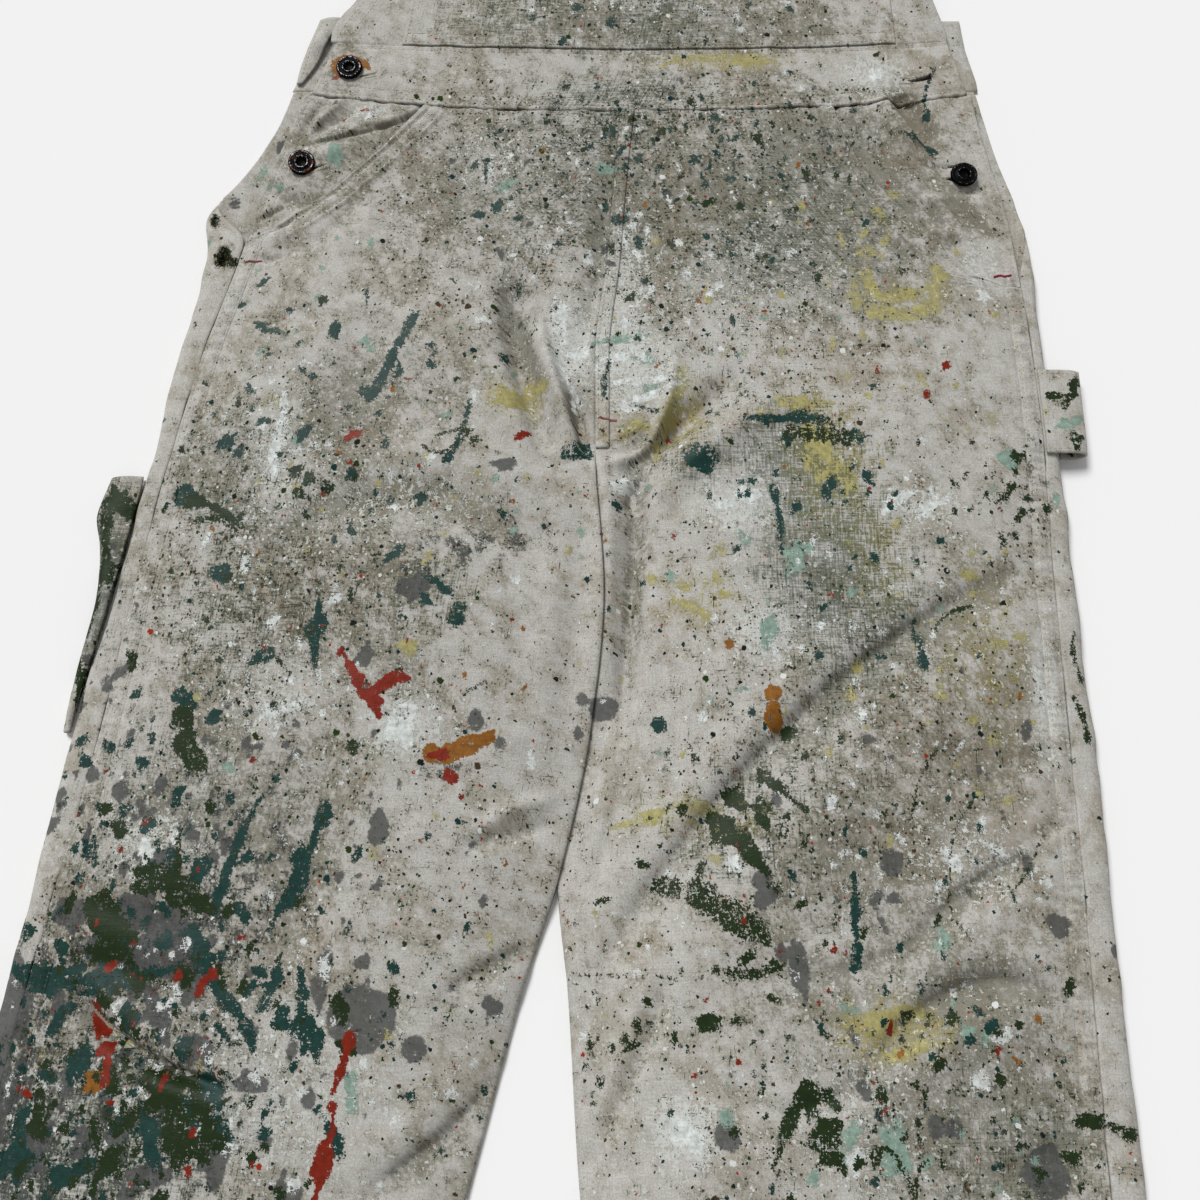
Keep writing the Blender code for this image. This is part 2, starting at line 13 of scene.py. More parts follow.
import bpy
import numpy as np
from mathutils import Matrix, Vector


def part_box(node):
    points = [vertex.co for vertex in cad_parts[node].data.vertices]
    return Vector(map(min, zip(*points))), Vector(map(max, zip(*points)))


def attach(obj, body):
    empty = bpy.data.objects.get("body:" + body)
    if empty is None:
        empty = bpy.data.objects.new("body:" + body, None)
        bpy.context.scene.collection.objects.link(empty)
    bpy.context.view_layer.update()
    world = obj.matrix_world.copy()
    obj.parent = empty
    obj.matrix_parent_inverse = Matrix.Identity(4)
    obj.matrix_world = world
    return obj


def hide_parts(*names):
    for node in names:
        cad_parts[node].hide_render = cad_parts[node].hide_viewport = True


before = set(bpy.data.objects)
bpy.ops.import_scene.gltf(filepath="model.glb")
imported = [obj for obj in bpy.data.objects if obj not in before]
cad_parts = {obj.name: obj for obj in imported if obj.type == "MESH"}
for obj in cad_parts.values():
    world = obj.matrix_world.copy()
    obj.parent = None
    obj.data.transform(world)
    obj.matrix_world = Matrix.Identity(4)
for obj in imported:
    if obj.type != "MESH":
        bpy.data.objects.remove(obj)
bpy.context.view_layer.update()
MM = 0.001
SIDES = ("left", "right")
WAIST_BUTTON = np.array([-163.5, 356.0])  # where the left waist button sits on the garment's own plan

button_low, button_high = (np.array(corner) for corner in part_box("waist_button_left"))
OFFSET = np.append((button_low + button_high)[:2] / 2 - WAIST_BUTTON * MM, 0.0)
print("garment's plan starts at", np.round(OFFSET, 4), "of", len(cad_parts), "nodes")


def place(points):
    """Garment millimetres to metres in the frame: times 0.001, plus the plan's own offset."""
    return np.asarray(points, float) * MM + OFFSET


# %% [markdown]
# ## Camera and light
#
# The overalls are looked at from above, leaning a little towards the feet, so the camera stands on the
# feet's side of a point on the thigh and tips by nearly fifteen degrees. Studio light is one large lamp
# above the bib and an even sky. A wide sun gives the same light on every part of the cloth, and
# together they add up to one, so a colour renders about as it is written.

# %% Camera
CAMERA_DISTANCE = 703
CAMERA_TILT = math.radians(14.7)

camera = bpy.data.objects.new("camera", bpy.data.cameras.new("camera"))
bpy.context.scene.collection.objects.link(camera)
camera.data.sensor_width = 36
camera.data.lens = 36
camera.location = place(
    [0, -CAMERA_DISTANCE * math.sin(CAMERA_TILT), CAMERA_DISTANCE * math.cos(CAMERA_TILT)]
)
camera.rotation_euler = (CAMERA_TILT, 0, 0)
bpy.context.scene.camera = camera
bpy.context.scene.view_settings.view_transform = "Standard"
print("camera", np.round(camera.location, 3))


# %% Colours and nodes
def tint(code):
    """An sRGB hex value as linear red, green, blue and alpha."""
    values = np.array([int(code[i : i + 2], 16) for i in (0, 2, 4)]) / 255
    linear = np.where(values > 0.04045, ((values + 0.055) / 1.055) ** 2.4, values / 12.92)
    return (*linear.tolist(), 1.0)


def feed(tree, node, **inputs):
    """Sets or links a node's inputs, by name or by number (_0 is the first)."""
    for name, value in inputs.items():
        numbered = name[0] == "_" and name[1:].isdigit()
        socket = node.inputs[int(name[1:]) if numbered else name.replace("_", " ")]
        if isinstance(value, bpy.types.NodeSocket):
            tree.links.new(value, socket)
        else:
            socket.default_value = value
    return node


def add(tree, kind, settings=None, **inputs):
    """Adds one node, sets its settings and feeds its inputs."""
    node = tree.nodes.new("ShaderNode" + kind)
    for name, value in (settings or {}).items():
        setattr(node, name, value)
    return feed(tree, node, **inputs)


def new_material(name):
    """A new Principled material, its node tree and its shader."""
    material = bpy.data.materials.new(name)
    material.use_nodes = True
    return material, material.node_tree, material.node_tree.nodes["Principled BSDF"]


# %% Floor, lamp and sky
KEY_SHARE = 0.68  # of the light on a level surface; the rest comes from the sky
KEY_HEIGHT = math.radians(48)
KEY_TURN = math.radians(-32)  # from straight above the bib towards the left side

lamp = bpy.data.objects.new("key_lamp", bpy.data.lights.new("key_lamp", "SUN"))
bpy.context.scene.collection.objects.link(lamp)
lamp.data.energy = KEY_SHARE * math.pi / math.sin(KEY_HEIGHT)
lamp.data.angle = math.radians(24)
lamp.rotation_euler = (KEY_HEIGHT - math.pi / 2, 0, -KEY_TURN)

world = bpy.data.worlds.new("sky")
bpy.context.scene.world = world
world.use_nodes = True
sky = world.node_tree
backdrop = tint("f2f2f2")
path = add(sky, "LightPath")
seen = add(
    sky, "Math", {"operation": "MAXIMUM"}, _0=path.outputs["Is Camera Ray"], _1=path.outputs["Is Glossy Ray"]
)
seen = add(sky, "Math", {"operation": "MAXIMUM"}, _0=seen.outputs[0], _1=path.outputs["Is Transmission Ray"])
level = 1 - KEY_SHARE
mixed = add(
    sky, "Mix", {"data_type": "RGBA"}, Factor=seen.outputs[0], _6=(level, level, level, 1), _7=backdrop
)
feed(sky, sky.nodes["Background"], Color=mixed.outputs[2])

floor_mesh = bpy.data.meshes.new("floor")
reach = 12.0
floor_mesh.from_pydata(
    [(-reach, -reach, 0), (reach, -reach, 0), (reach, reach, 0), (-reach, reach, 0)], [], [(0, 1, 2, 3)]
)
floor = bpy.data.objects.new("floor", floor_mesh)
bpy.context.scene.collection.objects.link(floor)
floor.location.z = -0.0004
paper, tree, shader = new_material("white_paper")
feed(tree, shader, Base_Color=backdrop, Roughness=1.0, Specular_IOR_Level=0.0)
floor_mesh.materials.append(paper)
print("lamp energy", round(lamp.data.energy, 2), "sky", round(level, 2))

# %% [markdown]
# ## The garment's lines
#
# A pattern cutter draws a garment flat: side lines, seams and centre lines across a few heights. The
# same short tables drive the CAD pieces, so the fine cloth lies exactly where they are. A smooth
# curve joins the rows without overshooting them.

# %% Outline and heights
CLOTH = 1.5  # wall of one panel
BAND = 2.0  # the doubled waistband
BAND_RISE = 0.4
TRIM = 1.2  # a patch or strip lying on a panel
GAP = 0.35  # between pieces that touch
SEAM_GAP = 0.6  # between two sewn edges
LOWEST_FRONT = 2 * CLOTH + 0.6
LAP_RISE, LAP_DROP, LAP_UNDER = 2.6, 0.4, 2.6  # the left front laps over the right one below the fly

Outline = namedtuple("Outline", "y side_left seam_left inner_left inner_right seam_right side_right")
OUTLINE = [
    Outline(640, -100, -100, 45, 45, 190, 190),
    Outline(560, -112, -112, 38, 38, 196, 196),
    Outline(500, -128, -128, 33, 33, 205, 205),
    Outline(450, -146, -146, 28, 28, 214, 214),
    Outline(411, -160, -160, 25, 25, 221, 221),
    Outline(385, -192, -175, 22, 22, 228, 242),
    Outline(345, -202, -188, 16, 16, 239, 248),
    Outline(300, -219, -203, 11, 11, 247, 256),
    Outline(255, -243, -216, 7, 7, 256, 267),
    Outline(215, -249, -226, 4, 4, 260, 273),
    Outline(150, -261, -243, -3, -3, 264, 274),
    Outline(90, -269, -255, -3, -3, 265, 277),
    Outline(0, -284, -270, 2, 2, 263, 278),
    Outline(-75, -299, -280, -5, -5, 263, 280),
    Outline(-160, -311, -295, -23, -23, 263, 281),
    Outline(-220, -321, -306, -42, -17, 262, 281),
    Outline(-320, -336, -321, -69, -10, 261, 283),
    Outline(-480, -360, -344, -114, 16, 264, 286),
    Outline(-730, -397, -380, -178, 58, 271, 292),
]

# Heights of the upper face at the seam, at the crown of the leg and at the inner edge.
Height = namedtuple("Height", "y seam crown inner")
HEIGHTS = [
    Height(640, 5.0, 5.6, 5.6),
    Height(500, 5.6, 7.0, 7.0),
    Height(411, 7.0, 8.6, 8.6),
    Height(345, 8.2, 9.8, 9.6),
    Height(255, 7.6, 13.0, 10.5),
    Height(215, 8.2, 15.0, 11.5),
    Height(150, 9.6, 18.0, 12.0),
    Height(90, 10.0, 20.0, 9.0),
    Height(0, 10.0, 22.0, 4.8),
    Height(-160, 10.0, 20.0, 4.2),
    Height(-320, 9.8, 18.0, 4.0),
    Height(-480, 9.6, 16.0, 4.0),
    Height(-730, 10.0, 13.0, 4.0),
]
FORK_Y = -160  # where the legs part
HEM_Y = -655
HEM_LIFT = {"left": 48, "right": 19}


def curve_at(knots, values, at):
    """A cubic through the values that never overshoots: tangents are harmonic means of the slopes."""
    knots, values = np.asarray(knots, float), np.asarray(values, float)
    step = np.diff(knots)
    slope = np.diff(values) / step
    before, after = slope[:-1], slope[1:]
    same_way = before * after > 0
    middle = np.where(same_way, 2 * before * after / np.where(same_way, before + after, 1), 0)
    tangent = np.concatenate([slope[:1], middle, slope[-1:]])
    at = np.clip(np.asarray(at, float), knots[0], knots[-1])
    i = np.clip(np.searchsorted(knots, at) - 1, 0, len(knots) - 2)
    t = (at - knots[i]) / step[i]
    start = (1 + 2 * t) * (1 - t) ** 2 * values[i] + t * (1 - t) ** 2 * step[i] * tangent[i]
    end = t * t * (3 - 2 * t) * values[i + 1] - t * t * (1 - t) * step[i] * tangent[i + 1]
    return start + end


def line(rows, name, y):
    """One column of a table at the height y; the tables run from the bib down."""
    table = rows[::-1]
    return curve_at([row.y for row in table], [getattr(row, name) for row in table], y)


def unit(vectors):
    """The vectors at length one."""
    return vectors / np.maximum(np.linalg.norm(vectors, axis=-1, keepdims=True), 1e-9)


def soft_step(low, high, value):
    """0 below low, 1 above high, with a smooth rise between them."""
    t = np.clip((value - low) / (high - low), 0, 1)
    return t * t * (3 - 2 * t)


def inner_line(side, y):
    """The inner edge of a side: both sides share the centre front down to the fork."""
    return np.where(np.asarray(y) > FORK_Y, line(OUTLINE, "inner_left", y), line(OUTLINE, "inner_" + side, y))


def leg_ends(side, y):
    """Outer and inner ends of a row across a leg: below the fork the row turns to lie across it."""
    lift = HEM_LIFT[side] * np.maximum(0, (FORK_Y - y) / (FORK_Y - HEM_Y))
    return y + lift / 2, y - lift / 2


print("waist", line(OUTLINE, "seam_right", 352) - line(OUTLINE, "seam_left", 352), "mm across")

# %% [markdown]
# ## Creases
#
# Heavy drill doesn't ripple: it breaks into a few long, soft troughs with a ridge beside them, and lies
# quietly between. Each crease is a curve through three points. Its section is a bell that can be
# steeper on one side, and it fades at both ends. A low, slow unevenness covers the rest.

# %% Crease table
Crease = namedtuple("Crease", "x0 y0 x1 y1 x2 y2 width height lean")
CREASES = [
    # long fold across the right thigh: its floor, the swell below it and the lip above it
    Crease(242, 14, 106, -79, -4, -214, 9.5, -5.2, 0.35),
    Crease(236, 12, 104, -77, 4, -200, 4.5, -0.8, 0.0),
    Crease(252, -26, 132, -116, 24, -238, 20, 3.4, 0.0),
    Crease(226, 26, 98, -62, 2, -176, 9, 2.0, 0.0),
    # folds that run in from the right outseam
    Crease(241, -147, 202, -163, 162, -197, 6.5, -3.6, 0.4),
    Crease(246, -166, 208, -181, 160, -215, 10, 2.4, 0.0),
    Crease(168, -193, 130, -207, 60, -209, 6, -1.6, 0.0),
    Crease(244, -222, 190, -217, 135, -261, 8, -4.8, 0.3),
    Crease(140, -258, 118, -270, 96, -277, 5, -2.2, 0.0),
    Crease(244, -205, 190, -202, 138, -242, 9, 2.4, 0.0),
    Crease(248, -240, 196, -238, 130, -286, 11, 2.6, 0.0),
    Crease(256, -128, 244, -134, 226, -143, 5, -1.8, 0.0),
    Crease(258, -92, 240, -94, 214, -104, 6, -1.4, 0.0),
    Crease(256, -292, 232, -296, 196, -312, 8, -2.0, 0.0),
    # inside of the right knee, and the ridges below the fork of the fly
    Crease(36, -209, 26, -242, 0, -297, 5.5, -3.8, -0.3),
    Crease(22, -214, 12, -248, -8, -296, 6, 1.8, 0.0),
    Crease(23, 20, 26, -33, 18, -76, 7, 3.4, 0.0),
    Crease(31, 72, 27, 24, 26, -20, 8, 3.0, 0.0),
    Crease(19, -60, 8, -110, -13, -165, 5, 2.2, 0.0),
    Crease(5, -30, 6, -90, -8, -142, 4, 1.6, 0.0),
    Crease(13, -36, 13, -96, -3, -152, 4, -1.8, 0.0),
    Crease(31, -33, 50, -56, 64, -87, 4, -1.8, 0.0),
    # left leg
    Crease(-278, -214, -244, -245, -190, -265, 4.0, -9.0, -0.45),
    Crease(-274, -204, -238, -236, -186, -256, 6.5, 3.6, 0.0),
    Crease(-50, -262, -82, -290, -118, -316, 7, -4.8, 0.4),
    Crease(-66, -256, -98, -284, -130, -306, 8, 2.0, 0.0),
    Crease(-66, -134, -47, -122, -24, -117, 5, 3.0, 0.0),
    Crease(-74, -142, -50, -137, -26, -131, 4.5, -2.8, 0.0),
    Crease(-34, -196, -58, -204, -84, -222, 5.5, -3.0, 0.3),
    Crease(-280, -168, -252, -178, -216, -182, 8, -2.2, 0.0),
    Crease(-288, -206, -262, -204, -226, -214, 7, -2.2, 0.0),
    Crease(-268, -120, -240, -126, -206, -124, 8, -1.6, 0.0),
    Crease(-150, -150, -168, -186, -170, -226, 14, -2.0, 0.0),
    Crease(-191, 26, -105, 57, -17, 8, 11, -3.6, 0.0),
    Crease(-180, 62, -105, 86, -30, 52, 14, 2.2, 0.0),
    Crease(-140, -20, -100, -60, -90, -110, 14, -2.0, 0.0),
    # the two arms and the trough below the fly
    Crease(-57, 198, -49, 146, -30, 84, 10, -12.0, 0.3),
    Crease(-38, 172, -25, 124, -10, 82, 8, 11.0, -0.5),
    Crease(-18, 126, -12, 104, -8, 84, 3.8, -7.5, 0.0),
    Crease(2, 82, 32, 97, 44, 150, 4.2, 7.5, -0.2),
    Crease(14, 77, 43, 99, 80, 132, 8, -10.5, 0.15),
    Crease(32, 56, 66, 90, 108, 114, 10, 5.6, 0.0),
    Crease(36, 84, 25, 68, 15, 50, 5, -5.4, 0.2),
    Crease(19, 72, 21, 16, 12, -74, 8, -9.0, 0.25),
    Crease(0, 84, 4, 16, -5, -80, 9, 8.5, -0.25),
    Crease(6, 87, 7, 80, 7, 71, 1.5, -2.6, 0.0),
    Crease(-16, 72, -25, 0, -34, -78, 11, 3.2, 0.0),
    Crease(7, 300, 0, 220, -15, 146, 5.5, -3.0, -0.3),
    # under the waistband and round the pockets
    Crease(-191, 300.5, -152, 310.5, -117, 325, 3.6, 1.5, 0.6),
    Crease(-190, 299, -152, 308.6, -117, 323.6, 1.5, -2.0, 0.0),
    Crease(-158, 308, -148, 312.5, -136, 312.5, 1.5, -1.6, 0.0),
    Crease(-194, 303, -188, 318, -176, 335, 4, -3.2, -0.3),
    Crease(-190, 304, -180, 318, -164, 333, 3.4, 2.8, 0.4),
    Crease(-186, 304, -172, 316, -155, 326, 4, -3.0, 0.3),
    Crease(-190, 292, -170, 294, -146, 304, 5, 1.6, 0.0),
    Crease(-214, 219.5, -206, 216.4, -198, 219.5, 1.8, -2.6, 0.0),
    Crease(-216, 246, -208, 251, -200, 254.5, 1.8, -2.4, 0.0),
    Crease(-207, 237.6, -200, 239.5, -193, 243, 1.8, -2.2, 0.0),
    Crease(-214, 224, -200, 232, -184, 236, 5, 2.0, 0.0),
    Crease(-205, 276, -200, 266, -196, 258, 4, -1.8, 0.0),
    Crease(-206, 268, -190, 258, -176, 262, 5, -1.8, 0.0),
    Crease(-150, 262, -168, 236, -196, 216, 6, -1.8, 0.0),
    Crease(-63, 284, -55, 308, -26, 311, 5, -1.8, 0.0),
    Crease(-96, 316, -88, 280, -92, 240, 6, -1.4, 0.0),
    Crease(70, 318, 78, 284, 72, 250, 6, -1.4, 0.0),
    Crease(120, 320, 116, 290, 122, 262, 5, -1.4, 0.0),
    Crease(182, 338, 193, 314, 206, 296, 6, 7.0, -0.6),
    Crease(193, 338, 203, 317, 217, 300, 7, -9.5, 0.4),
    Crease(216, 264, 226, 250, 235, 234, 5, -3.2, 0.3),
    Crease(204, 259, 215, 238, 229, 210, 3.6, -2.6, 0.3),
    Crease(221, 268, 232, 264.5, 243, 268, 2.2, -1.8, 0.0),
    Crease(204, 283.5, 216, 282.8, 228, 284, 1.8, -2.0, 0.0),
    Crease(205, 234, 216, 236, 226, 232, 3.0, 2.0, 0.0),
    Crease(192, 262, 206, 258, 220, 262, 3.0, 1.8, 0.0),
    Crease(178, 230, 196, 214, 222, 196, 6, -1.8, 0.0),
    Crease(236, 244, 240, 226, 248, 212, 5, -1.8, 0.0),
    Crease(150, 240, 176, 196, 214, 170, 12, -2.0, 0.0),
    Crease(-130, 180, -150, 130, -150, 80, 14, -2.2, 0.0),
    Crease(-216, 190, -196, 176, -166, 178, 8, -1.6, 0.0),
    # lower legs
    Crease(-230, -380, -190, -430, -170, -520, 20, -4.0, 0.3),
    Crease(110, -360, 140, -430, 150, -540, 20, -4.0, 0.3),
    Crease(-300, -420, -262, -436, -226, -430, 9, -2.6, 0.0),
    Crease(-120, -400, -160, -424, -190, -470, 10, -3.0, 0.2),
    Crease(-330, -540, -280, -560, -230, -556, 10, -2.6, 0.0),
    Crease(240, -400, 206, -416, 160, -452, 9, -3.2, 0.3),
    Crease(60, -440, 96, -470, 104, -530, 10, -2.6, 0.0),
    Crease(248, -520, 214, -536, 176, -580, 9, -2.8, 0.3),
    Crease(-200, -600, -170, -620, -150, -652, 10, -2.0, 0.0),
    # bib
    Crease(-90, 470, -20, 500, 40, 560, 14, -2.0, 0.0),
    Crease(190, 420, 150, 470, 140, 540, 12, -2.2, 0.0),
    Crease(-130, 430, -96, 452, -60, 460, 8, -1.6, 0.0),
]


# %% Distance along a curve, and soft noise
def near_curve(x, y, curve, steps=22):
    """Distance to a quadratic through three points, the share of its length, and the side.

    The curve is cut into short chords; the nearest point on each chord is a projection.
    """
    x0, y0, x1, y1, x2, y2 = curve
    t = np.linspace(0, 1, steps + 1)
    bend_x, bend_y = 2 * x1 - (x0 + x2) / 2, 2 * y1 - (y0 + y2) / 2
    line_x = (1 - t) ** 2 * x0 + 2 * t * (1 - t) * bend_x + t * t * x2
    line_y = (1 - t) ** 2 * y0 + 2 * t * (1 - t) * bend_y + t * t * y2
    step_x, step_y = np.diff(line_x), np.diff(line_y)
    from_x, from_y = x[..., None] - line_x[:-1], y[..., None] - line_y[:-1]
    along = np.clip((from_x * step_x + from_y * step_y) / (step_x**2 + step_y**2), 0, 1)
    away_x, away_y = from_x - along * step_x, from_y - along * step_y
    away = away_x**2 + away_y**2
    nearest = away.argmin(-1)[..., None]
    side = np.sign(np.take_along_axis(step_x * away_y - step_y * away_x, nearest, -1))
    share = (nearest + np.take_along_axis(along, nearest, -1)) / steps
    distance = np.sqrt(np.take_along_axis(away, nearest, -1))
    return distance[..., 0], share[..., 0], side[..., 0]


LATTICE = np.random.default_rng(11).uniform(-1, 1, (256, 256))


def soft_noise(x, y, size, layer):
    """Random heights on a square lattice of the given size in millimetres, blended smoothly."""
    u, v = np.asarray(x, float) / size + 37.3 * layer, np.asarray(y, float) / size + 91.7 * layer
    column, row = np.floor(u).astype(int), np.floor(v).astype(int)
    fu, fv = u - column, v - row
    fu, fv = fu * fu * (3 - 2 * fu), fv * fv * (3 - 2 * fv)
    corner = [LATTICE[(row + j) % 256, (column + i) % 256] for j in (0, 1) for i in (0, 1)]
    low = corner[0] + (corner[1] - corner[0]) * fu
    high = corner[2] + (corner[3] - corner[2]) * fu
    return low + (high - low) * fv


def row_noise(along, size, layer):
    """Soft noise that only changes along one line."""
    return soft_noise(along, along * 0, size, layer)


def crease_height(x, y):
    """Sum of the bells: height * exp(-(distance / width)^2), fading at the curve's two ends."""
    total = np.zeros(x.shape)
    for crease in CREASES:
        reach = 3 * crease.width
        xs, ys = crease[0:6:2], crease[1:6:2]
        inside = (x > min(xs) - reach) & (x < max(xs) + reach) & (y > min(ys) - reach) & (y < max(ys) + reach)
        if not inside.any():
            continue
        distance, share, side = near_curve(x[inside], y[inside], crease[:6])
        fade = np.sqrt(np.sin(math.pi * np.clip(share, 0.015, 0.985)))
        width = crease.width * (1 + crease.lean * side)
        total[inside] += crease.height * fade * np.exp(-((distance / width) ** 2))
    return total


def rumple(x, y):
    """Low unevenness of old cloth, from three sizes of soft noise."""
    return 0.95 * soft_noise(x, y, 31, 1) + 0.42 * soft_noise(x, y, 13, 2) + 0.14 * soft_noise(x, y, 6, 3)


# %% Height of the upper cloth
def front_height(side, x, y):
    """Top of the upper cloth: a crown between the seam and the inner edge, plus the creases."""
    x, y = np.broadcast_arrays(np.asarray(x, float), np.asarray(y, float))
    seam, inner = line(OUTLINE, "seam_" + side, y), inner_line(side, y)
    across = np.clip((x - seam) / (inner - seam), 0, 1)
    low, high = line(HEIGHTS, "seam", y), line(HEIGHTS, "inner", y)
    edge = low + (high - low) * across
    crown = line(HEIGHTS, "crown", y)
    arch = 1 - np.abs(2 * across - 1) ** 3
    from_inner = np.abs(x - inner)
    overlap = soft_step(FORK_Y - 30, FORK_Y + 10, y) * (1 - soft_step(74, 92, y))
    lap = (
        LAP_RISE * np.exp(-((from_inner / 11) ** 2)) if side == "left"
        else -LAP_DROP * np.exp(-((from_inner / 7) ** 2))
    )
    top = edge + (crown - edge) * arch + crease_height(x, y) + rumple(x, y) + overlap * lap
    return np.maximum(top, LOWEST_FRONT)


def top_height(x, y):
    """Top of the upper cloth on whichever side of the centre front the point lies."""
    x, y = np.broadcast_arrays(np.asarray(x, float), np.asarray(y, float))
    return np.where(x < inner_line("left", y), front_height("left", x, y), front_height("right", x, y))


print(
    "crease on the right thigh",
    round(float(crease_height(np.array([104.0]), np.array([-91.0]))[0]), 1), "mm"
)

# %% [markdown]
# ## Cloth as a thin shell
#
# A panel of cloth is a wall one or two millimetres thick with a rounded edge. Solidify could thicken a
# surface, but it would spend half of the faces on the side that nobody sees. So one function lays a fine
# outer face on a grid of points, a coarser inner face under it, and a half-round rim between the two.

# %% Shell builder
Shell = namedtuple("Shell", "thing grid normal")
shells = {}


def surface_normals(grid, loop=False):
    """Unit normals: the cross product of the grid's two directions, from central differences."""
    padded = np.concatenate([grid[:, -1:], grid, grid[:, :1]], 1) if loop else grid
    across = np.gradient(padded, axis=1)
    down = np.gradient(padded, axis=0)
    normal = np.cross(across, down)
    return unit(normal[:, 1:-1] if loop else normal)


def border_loop(rows, columns):
    """Indices of a grid's border, walked once round: top, right, bottom, left."""
    index = np.arange(rows * columns).reshape(rows, columns)
    return np.concatenate([index[0, :-1], index[:-1, -1], index[-1, :0:-1], index[:0:-1, 0]])


def link_rings(ring_a, ring_b):
    """Quads between two closed rings of the same length."""
    return np.stack([ring_a, np.roll(ring_a, -1), np.roll(ring_b, -1), ring_b], 1)


def inner_faces(index, thin):
    """The inner face's polygons: every thin-th point inside, and every point along the border.

    A cell beside the border takes in the border points between its corners.
    """
    rows, columns = index.shape
    top, left = np.meshgrid(np.arange(0, rows - 1, thin), np.arange(0, columns - 1, thin), indexing="ij")
    top, left = top.ravel(), left.ravel()
    corners = [(0, 0), (0, thin), (thin, thin), (thin, 0)]
    quads = np.stack([index[top + down, left + across] for down, across in corners], 1)
    if thin == 1:
        return quads.tolist()
    edge = (top == 0) | (left == 0) | (top + thin == rows - 1) | (left + thin == columns - 1)
    polygons = quads[~edge].tolist()
    step = np.arange(thin)
    for i, j in zip(top[edge], left[edge]):
        ways = [(i, j + step), (i + step, j + thin), (i + thin, j + thin - step), (i + thin - step, j)]
        around = np.concatenate([index[way] for way in ways])
        polygons.append(around[around >= 0].tolist())
    return polygons


def cloth_shell(name, grid, wall, up=1, column=0, loop=False, thin=1):
    """A closed sheet on a grid of its outer face: outer, inner = outer - wall * normal, half-round rim.

    up says whether the first row faces up (+1) or down (-1) at the tested column.
    A loop closes on itself across its columns, so it has two rims instead of one.
    """
    grid = np.asarray(grid, float)
    rows, columns = grid.shape[:2]
    normal = surface_normals(grid, loop)
    turn = 1.0 if normal[0, column, 2] * up > 0 else -1.0
    normal = normal * turn
    flat_grid, flat_normal = grid.reshape(-1, 3), normal.reshape(-1, 3)
    count = rows * columns
    index = np.arange(count).reshape(rows, columns)
    wide = np.concatenate([index, index[:, :1]], 1) if loop else index
    outer = np.stack([wide[:-1, :-1], wide[:-1, 1:], wide[1:, 1:], wide[1:, :-1]], -1).reshape(-1, 4)
    if loop:
        rings = [index[0], index[-1][::-1]]
        inward = [index[1], index[-2][::-1]]
    else:
        rings = [border_loop(rows, columns)]
        near = np.clip(np.arange(rows), 1, rows - 2)[:, None] * columns
        near = near + np.clip(np.arange(columns), 1, columns - 2)[None, :]
        inward = [near.ravel()[rings[0]]]
    points, polygons = [flat_grid], []
    inner_index = np.full(count, -1)
    total = count
    for ring, near in zip(rings, inward):
        out = unit(flat_grid[ring] - flat_grid[near])
        points.append(flat_grid[ring] - flat_normal[ring] * wall / 2 + out * wall * 0.4)
        points.append(flat_grid[ring] - flat_normal[ring] * wall)
        rim = total + np.arange(len(ring))
        inner_index[ring] = rim + len(ring)
        polygons.append((ring, rim, rim + len(ring)))
        total += 2 * len(ring)
    kept = np.zeros((rows, columns), bool)
    kept[::thin, ::thin] = True
    kept = kept.ravel() & (inner_index < 0)
    inner_index[kept] = total + np.arange(kept.sum())
    points.append(flat_grid[kept] - flat_normal[kept] * wall)
    inner_index = inner_index.reshape(rows, columns)
    if loop:
        inner_index = np.concatenate([inner_index, inner_index[:, :1]], 1)
    faces = outer.tolist()
    for ring, rim, under in polygons:
        faces += link_rings(ring, rim)[:, ::-1].tolist() + link_rings(rim, under)[:, ::-1].tolist()
    faces += [face[::-1] for face in inner_faces(inner_index, thin)]
    if turn < 0:
        faces = [face[::-1] for face in faces]
    thing = add_piece(name, np.concatenate(points), faces)
    shells[name] = Shell(thing, grid, normal)
    print(name, "has", len(faces), "faces")


def add_piece(name, points, faces):
    """A mesh object at the origin with its place in its mesh; points are garment millimetres."""
    mesh = bpy.data.meshes.new(name)
    mesh.from_pydata(place(points).tolist(), [], faces)
    mesh.shade_smooth()
    thing = bpy.data.objects.new(name, mesh)
    bpy.context.scene.collection.objects.link(thing)
    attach(thing, "root")
    return thing


# %% [markdown]
# ## Legs
#
# Each front leg is one panel. Its edge follows the slant pocket, then the outseam down to the hem, and
# its inner edge is the centre front down to the fork. Both back legs lie under them and roll round the
# sides, so a strip of the back shows at each edge, with a felled seam between the two.

# %% Pocket, fly and waist lines
SLANTS = {
    "left": [(-113, 326), (-131, 305), (-148, 287), (-168, 266), (-187, 251), (-206, 238)],
    "right": [(150, 326), (158, 300), (169, 277), (190, 247), (211, 222), (231, 204)],
}
SEAM_START = {"left": 231, "right": 197}
INWARD = {"left": 1, "right": -1}
FELL = 11
SLANT_HEM = 12
SLANT_ROWS = (2.6, 9.5)  # distances of the rows of stitches from the edge, here and below
FLY_ROWS = (0.0, 6.5)
FLY_STRIP = 8
FLY_END_Y = 92
FLY_TRACK = np.array(
    [(50, 322), (50, 250), (48.5, 196), (43, 160), (38, 130), (31, 110), (20, 99), (4, 91)], float
)
FRONT_TOP = 326  # nominal; the real top row follows the waistband's seam
SIGHT_Y = -336  # the grids are fine above this and coarser below
COLUMNS = {"left": 145, "right": 154}


def waist_line(x):
    """Y of the seam under the waistband: a cubic rise towards both sides."""
    return 325 + 14 * np.abs((x - 25) / 214) ** 3


